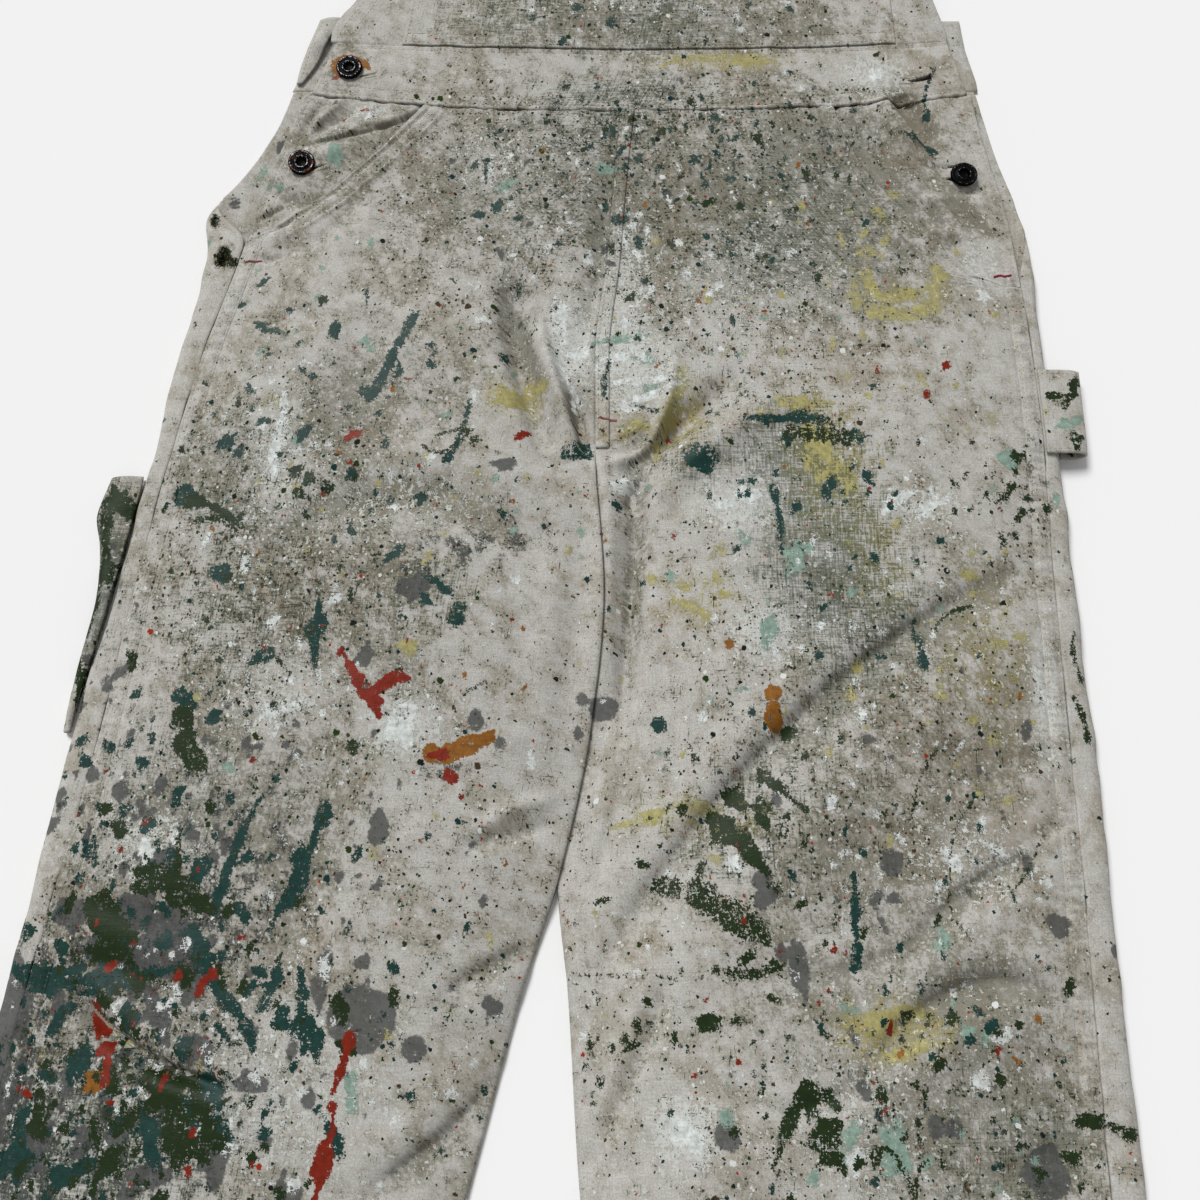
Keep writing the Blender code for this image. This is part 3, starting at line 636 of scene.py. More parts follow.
def bib_line(x):
    """Y of the seam between the waistband and the bib."""
    return 371 + 8 * np.abs((x - 25) / 204) ** 3


# %% Puckers and the dips of stitches
def near_path(x, y, path):
    """Distance to a line of chords through the points, and the share of its length."""
    starts, steps = path[:-1], np.diff(path, axis=0)
    lengths = np.hypot(*steps.T)
    from_x, from_y = x[..., None] - starts[:, 0], y[..., None] - starts[:, 1]
    along = np.clip((from_x * steps[:, 0] + from_y * steps[:, 1]) / lengths**2, 0, 1)
    away = np.hypot(from_x - along * steps[:, 0], from_y - along * steps[:, 1])
    nearest = away.argmin(-1)[..., None]
    before = np.cumsum(lengths)[nearest] - lengths[nearest]
    share = (before + np.take_along_axis(along, nearest, -1) * lengths[nearest]) / lengths.sum()
    return np.take_along_axis(away, nearest, -1)[..., 0], share[..., 0]


def ripple(along, layer):
    """The pucker of a sewn seam: bumps about five millimetres apart, uneven in height."""
    return row_noise(along, 2.6, layer) + 0.4 * row_noise(along, 1.7, layer + 1)


def groove(distance, at, width=1.1):
    """A narrow dip where a row of stitches pulls the cloth down."""
    return np.exp(-(((distance - at) / width) ** 2))


def grooves(distance, rows):
    """The dips of several rows of stitches, at their distances from an edge."""
    return sum(groove(distance, row) for row in rows)


def under_band(x, below):
    """How far the cloth is pulled in under the waistband's lower edge: unevenly, within 2 mm of it."""
    return 1.5 * np.clip(0.45 + 1.2 * row_noise(x, 7, 51), 0, 1) * np.exp(-((below / 1.5) ** 2))


# %% Front legs
def front_ends(side, y):
    """Ends of a row: the slant pocket's edge or the outseam, and the centre front or the inseam."""
    outer_y, inner_y = leg_ends(side, y)
    outer_x = line(OUTLINE, "seam_" + side, outer_y)
    slant = np.array(SLANTS[side][::-1], float)
    start = SEAM_START[side]
    corner = np.interp(y, [start, slant[0, 1]], [float(line(OUTLINE, "seam_" + side, start)), slant[0, 0]])
    outer_x = np.where(y > start, corner, outer_x)
    outer_x = np.where(y > slant[0, 1], curve_at(slant[:, 1], slant[:, 0], y), outer_x)
    inner_x = inner_line(side, inner_y) - INWARD[side] * SEAM_GAP / 2
    if side == "right":
        under = LAP_UNDER * soft_step(FORK_Y - 12, FORK_Y + 14, inner_y) * (1 - soft_step(78, 90, inner_y))
        inner_x = inner_x - under
    return outer_x, outer_y, inner_x, inner_y


def front_points(side, y, share):
    """Points of a front leg: rows at the heights y, columns at shares from the outer to the inner end."""
    outer_x, outer_y, inner_x, inner_y = front_ends(side, y)
    x = outer_x + (inner_x - outer_x) * share
    y_row = outer_y + (inner_y - outer_y) * share
    top = soft_step(FRONT_TOP - 30, FRONT_TOP, y)
    return x, y_row + top * (waist_line(x) - SEAM_GAP / 2 - FRONT_TOP)


def front_width(side, y):
    """Length of each row across a front leg."""
    outer_x, outer_y, inner_x, inner_y = front_ends(side, y)
    return np.hypot(inner_x - outer_x, inner_y - outer_y)


def front_face(side, y, share):
    """The finished outer face: crown and creases, then pocket hem, fly facing, puckers and soft edges."""
    x, y_row = front_points(side, y, share)
    z = front_height(side, x, y_row)
    inset, width = share * front_width(side, y), front_width(side, y)
    slant = np.array(SLANTS[side], float)
    from_slant, along_slant = near_path(x, y_row, slant)
    upper = soft_step(SEAM_START[side] - 6, SEAM_START[side] + 6, y_row)
    z += upper * 1.1 * (1 - soft_step(SLANT_HEM - 1, SLANT_HEM + 2, from_slant))
    lip, inner_row = 0.7 * groove(from_slant, 0.9, 1.0), 0.7 * groove(from_slant, SLANT_ROWS[1])
    z += upper * (lip - 0.8 * groove(from_slant, 2.8) - inner_row)
    z += upper * 0.45 * ripple(along_slant * 150, 57) * np.exp(-(((from_slant - 6) / 6) ** 2))
    z += (1 - upper) * 0.22 * ripple(y_row, 5) * np.exp(-np.maximum(inset - FELL, 0) / 5)
    z -= (1 - upper) * 1.0 * (1 - soft_step(FELL - 1, FELL + 1.5, inset))
    if side == "right":
        from_track, _ = near_path(x, y_row, FLY_TRACK)
        inside = np.interp(y_row, FLY_TRACK[::-1, 1], FLY_TRACK[::-1, 0]) - x
        facing = soft_step(-1.5, 1.5, inside) * soft_step(FLY_END_Y - 4, FLY_END_Y + 2, y_row)
        edge_row = 0.45 * groove(from_track, FLY_ROWS[0], 1.0)
        z += 0.7 * facing - edge_row * soft_step(FLY_END_Y - 8, FLY_END_Y - 2, y_row)
        z -= 0.45 * groove(from_track, FLY_ROWS[1], 1.0) * facing
        z += 0.12 * ripple(y_row, 9) * np.exp(-((from_track / 5) ** 2))
    top = np.maximum(waist_line(x) - y_row, 0)
    z += 0.25 * ripple(x, 13) * np.exp(-top / 6) - under_band(x, top)
    from_inner = width - inset
    below = soft_step(60, 90, -y_row + FORK_Y + 60)
    z -= 1.1 * below * (1 - np.sqrt(np.clip(1 - (1 - np.clip(from_inner / 5, 0, 1)) ** 2, 0, 1)))
    return np.stack([x, y_row, z], -1)


def front_leg(side):
    """Rows from the waist down, about 1.5 mm apart where they are looked at and 4.5 mm further down."""
    fine = np.linspace(FRONT_TOP, SIGHT_Y, 454)
    coarse = np.linspace(SIGHT_Y, HEM_Y, 73)[1:]
    y = np.concatenate([fine, coarse])[:, None]
    share = np.linspace(0, 1, COLUMNS[side] + (1 - COLUMNS[side]) % 3)[None, :]
    return front_face(side, y, share)


for side in SIDES:
    cloth_shell("cloth_front_leg_" + side, front_leg(side), CLOTH, thin=3)

# %% Back legs
BACK_TOP = 345
ROLL_TURNS = {"left": (225, 285), "right": (197, 262)}  # the side is rolled below, flat above
FLARE = {"left": 6.5, "right": 0.0}  # how far the torn left hip sticks out
# The back's side in shares of its reach and of the front's height, from the outseam round to the floor.
ROLL_X = (1.0, 0.42, 0.10, 0.0, 0.14, 0.50)
ROLL_Z = (1.0, 0.93, 0.70, 0.42, 0.13, 0.0)
FLAT_X = (0.0, 0.3, 0.6, 0.9, 1.2, 1.5)


def wrap(side, y, step):
    """The side of the back at heights y: step 0 is the outseam and 5 is down on the floor."""
    knots = np.arange(6)
    layer = 21 + 4 * SIDES.index(side)
    sway = 1.0 + row_noise(y, 33, layer) + 0.45 * row_noise(y, 12, layer + 1)
    edge = line(OUTLINE, "side_" + side, y) + INWARD[side] * np.maximum(sway, 0) * 1.3
    edge = edge - INWARD[side] * FLARE[side] * np.exp(-(((y - 248) / 15) ** 2))
    seam = line(OUTLINE, "seam_" + side, y) - INWARD[side] * SEAM_GAP
    top = front_height(side, seam, y)
    reach = np.abs(seam - edge)
    wave = 0.8 * row_noise(y, 17, layer + 2) * soft_step(0, 2, step) * soft_step(5, 3, step)
    rolled_x = edge + INWARD[side] * (reach * curve_at(knots, ROLL_X, step) + wave)
    rolled_z = top * curve_at(knots, ROLL_Z, step)
    flat_x = edge + INWARD[side] * reach * curve_at(knots, FLAT_X, step)
    done = 1 - soft_step(*ROLL_TURNS[side], y)
    x = flat_x + (rolled_x - flat_x) * done
    short = (x * INWARD[side]).min(axis=1, keepdims=True) - edge * INWARD[side]
    return x - INWARD[side] * short * (1 - soft_step(3.2, 5, step)), rolled_z * done


def back_leg(side):
    """Rows from the waist down: the rolled side, then flat on the floor to the inner edge."""
    y = np.linspace(BACK_TOP, HEM_Y, 337)[:, None]
    outer_y, inner_y = leg_ends(side, y)
    step = np.linspace(0, 5, 25)[None, :]
    wrap_x, wrap_z = wrap(side, outer_y, step)
    inner_x = inner_line(side, inner_y) - INWARD[side] * SEAM_GAP / 2
    share = np.linspace(0, 1, 21)[None, 1:]
    flat_x = wrap_x[:, -1:] + (inner_x - wrap_x[:, -1:]) * share
    flat_y = outer_y + (inner_y - outer_y) * share
    x = np.concatenate([wrap_x, flat_x], 1)
    z = np.concatenate([wrap_z, np.zeros(flat_x.shape)], 1)
    return np.stack([x, np.concatenate([np.broadcast_to(outer_y, wrap_x.shape), flat_y], 1), z], -1)


for side in SIDES:
    cloth_shell("cloth_back_leg_" + side, back_leg(side), CLOTH, up=-1, column=-1, thin=1)

# %% Outseams and the edge of the fly
def strip_profile(share):
    """A flat strip's rise across its width: full in the middle and lower at both edges."""
    return 1 - 0.35 * np.abs(2 * share - 1) ** 6


def outseam(side):
    """The felled strip on the front's points, moved out, with the pucker between its stitch rows."""
    y = np.linspace(SEAM_START[side], HEM_Y, 721)[:, None]
    share = np.linspace(0, 1, 13)[None, :]
    grid = front_face(side, y, share * FELL / front_width(side, y))
    between = np.sin(math.pi * share) ** 0.7
    pull = (
        groove(share * FELL, 1.8, 0.9) + groove(share * FELL, FELL - 1.8, 0.9)
        + 1.4 * soft_step(0.84, 1, share)
    )
    grid[..., 2] += GAP + TRIM * strip_profile(share) + 0.6 * ripple(grid[..., 1], 15) * between - 0.6 * pull
    return grid


def fly_edge():
    """A narrow strip down the centre front, on the right front's points."""
    y = np.linspace(FRONT_TOP, FLY_END_Y - 1, 211)[:, None]
    share = np.linspace(0, 1, 10)[None, :]
    grid = front_face("right", y, 1 - share[:, ::-1] * FLY_STRIP / front_width("right", y))
    grid[..., 2] += GAP + TRIM * strip_profile(share) + 0.15 * ripple(grid[..., 1], 17)
    return grid


for side in SIDES:
    cloth_shell("seam_out_" + side, outseam(side), TRIM, thin=1)
cloth_shell("seam_fly", fly_edge(), TRIM)


# %% Hip pieces and hems
UNDERLAP = 16
HIP_ROWS = (2.4, 8.6)
HIP_TOP = 339
HEM_DEPTH = 34
HEM_ROWS = (2.2, HEM_DEPTH - 2.2)


def hip_height(side, x, y):
    """A wall below the front at the pocket's edge, flush with it at the side and under the waistband."""
    slant = np.array(SLANTS[side][::-1], float)
    beyond = (np.interp(y, slant[:, 1], slant[:, 0]) - x) * INWARD[side]
    down = soft_step(0, 34, waist_line(x) - y)
    tuck = 1 - soft_step(0, 1, (beyond - 1 - 5 * down) / (5 + 21 * down))
    return front_height(side, x, y) - GAP - (CLOTH + 1.0) * tuck - 1.4 * down * groove(beyond, 1.2, 1.6)


def hip(side):
    """The piece behind a slant pocket: rows along the pocket, columns out to the side seam."""
    slant = np.array(SLANTS[side], float)
    knots = np.linspace(0, 1, len(slant))
    t = np.linspace(0, 1, 111)[:, None]
    across = np.linspace(0, 1, 81)[None, :]
    side_y = HIP_TOP + (SEAM_START[side] + 1.5 - HIP_TOP) * t
    side_x = line(OUTLINE, "seam_" + side, side_y)
    tuck_x = curve_at(knots, slant[:, 0], t) + INWARD[side] * UNDERLAP
    tuck_y = curve_at(knots, slant[:, 1], t)
    x = tuck_x + (side_x - tuck_x) * across
    y = tuck_y + (side_y - tuck_y) * across
    y = y + (waist_line(x) - SEAM_GAP / 2 - y) * (1 - soft_step(0, 0.14, t))
    z = hip_height(side, x, y)
    from_side = np.abs(x - side_x)
    z -= 0.35 * grooves(from_side, HIP_ROWS)
    z += 0.25 * ripple(y, 23) * np.exp(-from_side / 6) - under_band(x, np.maximum(waist_line(x) - y, 0))
    return np.stack([x, y, z], -1)


def hem(side):
    """A turned hem: a flat tube all round the leg's end."""
    first = HEM_Y - SEAM_GAP
    y = np.linspace(first, first - HEM_DEPTH, 25)[:, None]
    outer_y, inner_y = leg_ends(side, y)
    wrap_x, wrap_z = wrap(side, outer_y, np.linspace(0, 5, 21)[None, :])
    inner_x = inner_line(side, inner_y) - INWARD[side] * SEAM_GAP / 2
    share = np.linspace(0, 1, 61)[None, 1:]
    flat_x = wrap_x[:, -1:] + (inner_x - wrap_x[:, -1:]) * share
    flat_y = outer_y + (inner_y - outer_y) * share
    inner_top = front_height(side, inner_x, inner_y)
    angle = np.linspace(-math.pi / 2, math.pi / 2, 9)[None, 1:-1]
    turn_x = inner_x + INWARD[side] * inner_top / 2 * np.cos(angle)
    turn_z = inner_top / 2 * (1 + np.sin(angle))
    back = np.linspace(1, 0, 101)[None, :-1]
    top_x, top_y = wrap_x[:, :1] + (inner_x - wrap_x[:, :1]) * back, outer_y + (inner_y - outer_y) * back
    top_z = front_height(side, top_x, top_y)
    for row in HEM_ROWS:
        top_z = top_z - 0.4 * groove(first - y, row)
    top_z = top_z + 0.3 * ripple(top_x, 27)
    x = np.concatenate([wrap_x, flat_x, turn_x, top_x], 1)
    z = np.concatenate([wrap_z, np.zeros(flat_x.shape), turn_z, top_z], 1)
    y_all = [np.broadcast_to(outer_y, wrap_x.shape), flat_y, np.broadcast_to(inner_y, turn_x.shape), top_y]
    return np.stack([x, np.concatenate(y_all, 1), z], -1)


for side in SIDES:
    cloth_shell("cloth_hip_" + side, hip(side), CLOTH, thin=2)
    cloth_shell("cloth_hem_" + side, hem(side), CLOTH, up=-1, column=50, loop=True)

# %% [markdown]
# ## Waistband, bib and its pocket
#
# The waistband is a doubled strip between the legs and the bib, sewn along both edges. The bib is one
# panel with a wide patch pocket on it. The pocket is made from the bib's own points, moved out.

# %% Waistband and bib
BIB_TOP = 640
BIB_SIDE_LOW = 380  # the bib's edges start here, from behind the waistband
BAND_ROWS = (2.4, 8.5)
BAND_CROSS_ROWS = (29, 17)  # x of the two rows that cross the waistband above the fly
BIB_ROWS = (2.6, 11.5)
POCKET_ROWS, POCKET_SIDE_ROW = (3.0, 9.5), 2.2
BAND_ENDS_Y = 352  # the height at which the waistband's length is taken
POCKET_TOP_SHARE = 6 / 9  # of the bib's height
POCKET_EDGES = {"left": (-130, -104), "right": (194, 186)}  # at the pocket's bottom and top
PENCIL_SLOT = (19, 23.5)


def waistband():
    """Rows between the two seams; the band stands a little above the panels beside it."""
    t = np.linspace(0, 1, 37)[:, None]
    share = np.linspace(0, 1, 331)[None, :]
    left = float(line(OUTLINE, "seam_left", BAND_ENDS_Y)) + 13.5 * t - 1
    right = float(line(OUTLINE, "seam_right", BAND_ENDS_Y)) - 10.0 * t + 1
    x = left + (right - left) * share
    low, high = waist_line(x) + SEAM_GAP / 2, bib_line(x) - SEAM_GAP / 2
    wander = row_noise(x, 13, 31) + 0.8 * row_noise(x, 3.6, 32) + 0.4 * row_noise(x, 1.9, 34)
    y = low + (high - low) * t + wander * (1 - t) ** 2
    from_low, from_high = y - low, high - y
    z = top_height(x, y) + BAND_RISE
    near_edges = groove(from_low, BAND_ROWS[0]) + groove(from_high, BAND_ROWS[0])
    z -= 0.45 * near_edges + 0.25 * groove(from_low, BAND_ROWS[1])
    z += 0.32 * ripple(x, 33) * np.exp(-from_low / 5) + 0.25 * ripple(x, 35) * np.exp(-from_high / 5)
    z += 0.7 * np.clip(0.5 + row_noise(x, 6, 55), 0, 1.2) * np.exp(-((from_low / 2.6) ** 2))
    deep, shallow = (groove(x, row + (t - 0.5) * 4, 1.0) for row in BAND_CROSS_ROWS)
    z -= 0.5 * deep + 0.35 * shallow
    return np.stack([x, y, z], -1)


def bib_points(t, share):
    """Points of the bib: t from the waistband to the top, share from the left to the right edge."""
    y = bib_line(25) + SEAM_GAP / 2
    y = y + (BIB_TOP - y) * t
    left = line(OUTLINE, "seam_left", np.maximum(y, BIB_SIDE_LOW))
    right = line(OUTLINE, "seam_right", np.maximum(y, BIB_SIDE_LOW))
    x = left + (right - left) * share
    y = y + (bib_line(x) - bib_line(25)) * (1 - t)
    return x, y, left, right


def bib_face(t, share):
    """The bib's outer face: hemmed side edges, and a fold-in along the lower right edge."""
    x, y, left, right = bib_points(t, share)
    z = top_height(x, y)
    from_side = np.minimum(x - left, right - x)
    z += 0.6 * (1 - soft_step(13, 15, from_side)) - 0.4 * grooves(from_side, BIB_ROWS)
    z += 0.18 * ripple(y, 37) * np.exp(-from_side / 6)
    tucked = 1 - soft_step(0, 15, right - x)
    z -= 2.2 * tucked * (1 - soft_step(395, 450, y))
    return np.stack([x, y, z], -1)


def bib_pocket():
    """The patch pocket: the bib's points between its two edges, moved out, with a hemmed mouth."""
    t = np.linspace(0.004, 1, 111)[:, None] * POCKET_TOP_SHARE
    share = np.linspace(0, 1, 221)[None, :]
    _, _, left, right = bib_points(t, np.zeros((1, 1)))
    low_left, high_left = POCKET_EDGES["left"]
    low_right, high_right = POCKET_EDGES["right"]
    up = t / POCKET_TOP_SHARE
    edge_left = np.maximum(low_left + (high_left - low_left) * up, left + 8)
    edge_right = np.minimum(low_right + (high_right - low_right) * up, right - 8)
    across = (edge_left + (edge_right - edge_left) * share - left) / (right - left)
    grid = bib_face(t, across)
    x, y = grid[..., 0], grid[..., 1]
    from_low = y - bib_line(x)
    from_side = np.minimum(x - edge_left, edge_right - x)
    grid[..., 2] += GAP + TRIM + 0.5 * np.sin(math.pi * share) * soft_step(0, 12, from_low)
    grid[..., 2] -= 0.4 * (grooves(from_low, POCKET_ROWS) + groove(from_side, POCKET_SIDE_ROW))
    grid[..., 2] -= 0.4 * (groove(x, PENCIL_SLOT[0], 0.9) + groove(x, PENCIL_SLOT[1], 0.9))
    grid[..., 2] += 0.2 * ripple(x, 39) * np.exp(-from_low / 6) + 0.1 * ripple(y, 41) * np.exp(-from_side / 6)
    return grid


cloth_shell("cloth_waistband", waistband(), BAND, thin=2)
rows, columns = np.linspace(0, 1, 121)[:, None], np.linspace(0, 1, 145)[None, :]
cloth_shell("cloth_bib", bib_face(rows, columns), CLOTH, thin=3)
cloth_shell("patch_bib_pocket", bib_pocket(), TRIM, thin=2)

# %% [markdown]
# ## Small pieces at the sides
#
# The back's waistband shows beside the bib, with the rolled end of its placket at the left. A rule
# pocket stands away from the left leg and gapes at its mouth, and a hammer loop is sewn into the right
# outseam. Two straps run from the back waistband up under the bib and fold over to their hooks.

# %% Back waistband and placket
BACK_BAND_TOP = 400
BACK_BAND_ENDS = {  # y, x
    "left": [(345, -202), (365, -194), (386, -190.5), (400, -186)],
    "right": [(345, 248), (353, 247.5), (378, 242), (400, 240)],
}
Placket = namedtuple("Placket", "y outer inner")
PLACKET = [
    Placket(350, -199.5, -196), Placket(364, -197, -187.5), Placket(385, -191, -179),
    Placket(399, -186.5, -171)
]


def waistband_back():
    """A flat strip under the bib; its ends lean in as they rise."""
    y = np.linspace(BACK_TOP + SEAM_GAP, BACK_BAND_TOP, 29)[:, None]
    left, right = (np.interp(y, *zip(*BACK_BAND_ENDS[side])) for side in SIDES)
    x = left + (right - left) * np.linspace(0, 1, 121)[None, :]
    return np.stack([x, np.broadcast_to(y, x.shape), np.zeros(x.shape)], -1)


def placket():
    """A strip rolled towards the bib: its section is a low arch that turns over at the inner edge."""
    y = np.linspace(PLACKET[0].y, PLACKET[-1].y, 43)[:, None]
    table = [tuple(row) for row in PLACKET]
    heights, outer, inner = (np.array(column, float) for column in zip(*table))
    share = np.linspace(0, 1, 17)[None, :]
    left, right = curve_at(heights, outer, y), curve_at(heights, inner, y)
    x = left + (right - left) * share
    rise = (0.9 + 2.3 * soft_step(354, 380, y)) * (1 + 0.25 * row_noise(y, 8, 53))
    z = 2 * CLOTH + GAP - 0.3 + rise * np.sin(math.pi * (0.05 + 0.75 * share)) ** 0.8
    return np.stack([x, y + 0 * x, z], -1)


cloth_shell("cloth_waistband_back", waistband_back(), CLOTH, up=-1)
cloth_shell("cloth_placket", placket(), CLOTH)

# %% Rule pocket, hammer loop and straps
Bulge = namedtuple("Bulge", "y out rise")
RULE_POCKET = [
    Bulge(74, 20, 7.5),
    Bulge(52, 22.5, 8.0),
    Bulge(30, 15, 8.0),
    Bulge(0, 8.5, 8.0),
    Bulge(-40, 6.5, 7.0),
    Bulge(-78, 4.0, 5.0),
]
RULE_OUT = (0.0, 0.35, 0.72, 0.95, 1.0, 0.9)  # shares of the bulge round its section, to the floor
RULE_UP = (0.86, 1.0, 0.92, 0.68, 0.4, 0.1)
LOOP_LOW, LOOP_HIGH, LOOP_OUT = 88, 141, 292.5
STRAP_WIDTH, STRAP_TOP, STRAP_RISE = 32, 745, 8.0
HOOK_Y, HOOK_WIRE = 618, 2.2
STRAPS = {"left": (0, -62), "right": (62, 152)}


def rule_pocket():
    """A patch that stands away from the side of the leg and gapes at its mouth."""
    y = np.linspace(RULE_POCKET[0].y, RULE_POCKET[-1].y, 103)[:, None]
    out, rise = line(RULE_POCKET, "out", y), line(RULE_POCKET, "rise", y)
    edge = line(OUTLINE, "side_left", y) - 0.9
    step = np.linspace(0, 5, 25)[None, :]
    x = edge - out * curve_at(np.arange(6), RULE_OUT, step)
    z = rise * curve_at(np.arange(6), RULE_UP, step)
    flat_x = np.concatenate([edge - out * share for share in (0.8, 0.55, 0.3)] + [edge - 1.0], 1)
    x = np.concatenate([x, flat_x], 1)
    z = np.concatenate([z, np.zeros(flat_x.shape)], 1)
    wave = 0.5 * soft_noise(x, y + 0 * x, 9, 45) * np.clip(z / 6, 0, 1)
    return np.stack([x, np.broadcast_to(y, x.shape), z + wave], -1)


def hammer_loop():
    """A band sewn into the outseam that stands out from the side and turns back under it."""
    y = np.linspace(LOOP_HIGH, LOOP_LOW, 37)[:, None]
    seam = line(OUTLINE, "seam_right", y) + 1.5
    edge = line(OUTLINE, "side_right", y) + 1.2
    top = front_height("right", seam, y) + GAP + CLOTH + 0.3
    out = [LOOP_OUT - inward + 0 * y for inward in (6, 1.2, 0, 2.5, 7)]
    ups = [1.0, 1.0, 0.93, 0.72, 0.42, 0.1, 0.0, 0.0]
    step = np.linspace(0, 7, 43)
    whole = np.minimum(step.astype(int), 6)
    part = (step - whole)[None, :]
    part = part * part * (3 - 2 * part) * 0.35 + part * 0.65
    knots_x = np.concatenate([seam, edge - 1, *out, edge], 1)
    x = knots_x[:, whole] * (1 - part) + knots_x[:, whole + 1] * part
    z = top * curve_at(np.arange(8), ups, step)[None, :]
    return np.stack([x, np.broadcast_to(y, x.shape), z], -1)


def strap(side):
    """A strap from the back waistband up under the bib, folded over and down to its hook."""
    back_x, bib_x = STRAPS[side]
    radius = (STRAP_RISE + CLOTH) / 2
    start_y, end_y = BACK_BAND_TOP + GAP, HOOK_Y + 11
    rise = np.linspace(0, 1, 61)
    angle = np.linspace(0, math.pi, 17)[1:]
    fall = np.linspace(0, 1, 25)[1:]
    end_z = float(top_height(np.array([bib_x]), np.array([HOOK_Y]))[0]) + 2 * GAP + HOOK_WIRE + CLOTH
    x = np.concatenate([back_x + (bib_x - back_x) * rise, np.full(len(angle) + len(fall), bib_x)])
    y = np.concatenate([start_y + (STRAP_TOP - start_y) * rise, STRAP_TOP + radius * np.sin(angle)])
    y = np.concatenate([y, STRAP_TOP + (end_y - STRAP_TOP) * fall])
    z = np.concatenate([0 * rise, radius - radius * np.cos(angle), 2 * radius + (end_z - 2 * radius) * fall])
    half = np.linspace(-STRAP_WIDTH / 2, STRAP_WIDTH / 2, 13)[None, :]
    soft = 0.35 * soft_noise(y[:, None], half, 9, 47) * np.clip(z / 6, 0, 1)[:, None]
    return np.stack([x[:, None] + half, y[:, None] + 0 * half, z[:, None] + soft], -1)


cloth_shell("patch_rule_pocket", rule_pocket(), TRIM)
cloth_shell("loop_hammer", hammer_loop(), CLOTH)
for side in SIDES:
    cloth_shell("strap_cloth_" + side, strap(side), CLOTH, up=-1)

# %% [markdown]
# ## The paint, drawn on a chart
#
# Years of paint can't be one noise pattern: the big splashes, drips and rubbed patches each have their
# place. So they are drawn on a chart of the whole garment, one layer for each colour. The layer of an
# ink holds how far inside a mark each spot is, in millimetres, and that of a rubbed colour holds its
# strength. Every piece of cloth reads the chart at its own points and keeps the values as attributes,
# and the material turns the inks' zero line into a ragged, worn edge. Because all pieces read one
# chart, a splash runs on across a seam as it should. Small drops are strewn by a seeded random
# generator, so they fall in the same places each time.

# %% Chart and drawing tools
CELL = 0.8
CHART_X, CHART_Y = (-430, 330), (-700, 650)
OUTSIDE = -8.0  # the depth of a cell that no mark reaches
INK_MARGIN = 5  # how far past a mark its layer is still drawn, so that its edge can be ragged
INKS = ("teal", "forest", "red", "slate", "yellow", "white", "mint", "ochre")
RUBS = ("grime_and_painted_shade", "green_rub", "white_rub", "yellow_rub", "slate_rub", "warm", "flakes", "chalk")
chart_shape = (int((CHART_Y[1] - CHART_Y[0]) / CELL), int((CHART_X[1] - CHART_X[0]) / CELL))
chart = {ink: np.full(chart_shape, OUTSIDE) for ink in INKS}
chart.update({rub: np.zeros(chart_shape) for rub in RUBS})
chance = np.random.default_rng(7)


def window(x_low, x_high, y_low, y_high):
    """The chart's cells inside a box: their slices, and the X and Y of their centres."""
    columns = slice(max(int((x_low - CHART_X[0]) / CELL), 0), max(int((x_high - CHART_X[0]) / CELL) + 1, 0))
    rows = slice(max(int((y_low - CHART_Y[0]) / CELL), 0), max(int((y_high - CHART_Y[0]) / CELL) + 1, 0))
    height, width = chart["teal"][rows, columns].shape
    x = CHART_X[0] + (columns.start + np.arange(width) + 0.5) * CELL
    y = CHART_Y[0] + (rows.start + np.arange(height) + 0.5) * CELL
    return (rows, columns), *np.meshgrid(x, y)


def around_mark(x, y, long, wide, turn, margin=0):
    """The cells about a turned ellipse, and where each lies along its length and its width."""
    reach = max(long, wide) * 0.9 + margin
    cells, grid_x, grid_y = window(x - reach, x + reach, y - reach, y + reach)
    angle = math.radians(turn)
    u = (grid_x - x) * math.cos(angle) + (grid_y - y) * math.sin(angle)
    v = (grid_y - y) * math.cos(angle) - (grid_x - x) * math.sin(angle)
    return cells, u, v


def dab(ink, x, y, long, wide, turn=0.0, rough=0.3):
    """A splash: an ellipse whose radius wavers with the angle, as a few cosines of random phase."""
    cells, u, v = around_mark(x, y, long, wide, turn, INK_MARGIN)
    waves = np.arange(2, 8)[:, None, None]
    depth = rough * chance.uniform(0.2, 1, 6)[:, None, None] / waves
    phase = chance.uniform(0, 2 * math.pi, 6)[:, None, None]
    around = np.arctan2(v / wide, u / long)
    edge = 1 + (depth * np.cos(waves * around + phase)).sum(0)
    inside = (edge - np.hypot(2 * u / long, 2 * v / wide)) * min(long, wide) / 2
    chart[ink][cells] = np.maximum(chart[ink][cells], inside)


def run(ink, x0, y0, x1, y1, x2, y2, start, end):
    """A drip or a drag: half its width, which goes from start to end and wavers, less the distance."""
    xs, ys = (x0, x1, x2), (y0, y1, y2)
    reach = max(start, end) + INK_MARGIN
    cells, grid_x, grid_y = window(min(xs) - reach, max(xs) + reach, min(ys) - reach, max(ys) + reach)
    distance, share, _ = near_curve(grid_x, grid_y, (x0, y0, x1, y1, x2, y2))
    waver = (
        1 + 0.28 * np.sin(share * 11 + chance.uniform(0, 6))
        + 0.18 * np.sin(share * 23 + chance.uniform(0, 6))
    )
    inside = (start + (end - start) * share) / 2 * waver - distance
    chart[ink][cells] = np.maximum(chart[ink][cells], inside)


def rub(layer, x, y, long, wide, turn, strength):
    """A rubbed patch: a soft, flat-topped hill that adds to its layer."""
    cells, u, v = around_mark(x, y, long, wide, turn)
    hill = strength * np.exp(-((np.hypot(2 * u / long, 2 * v / wide)) ** 3) * 0.8)
    chart[layer][cells] = 1 - (1 - chart[layer][cells]) * (1 - hill)


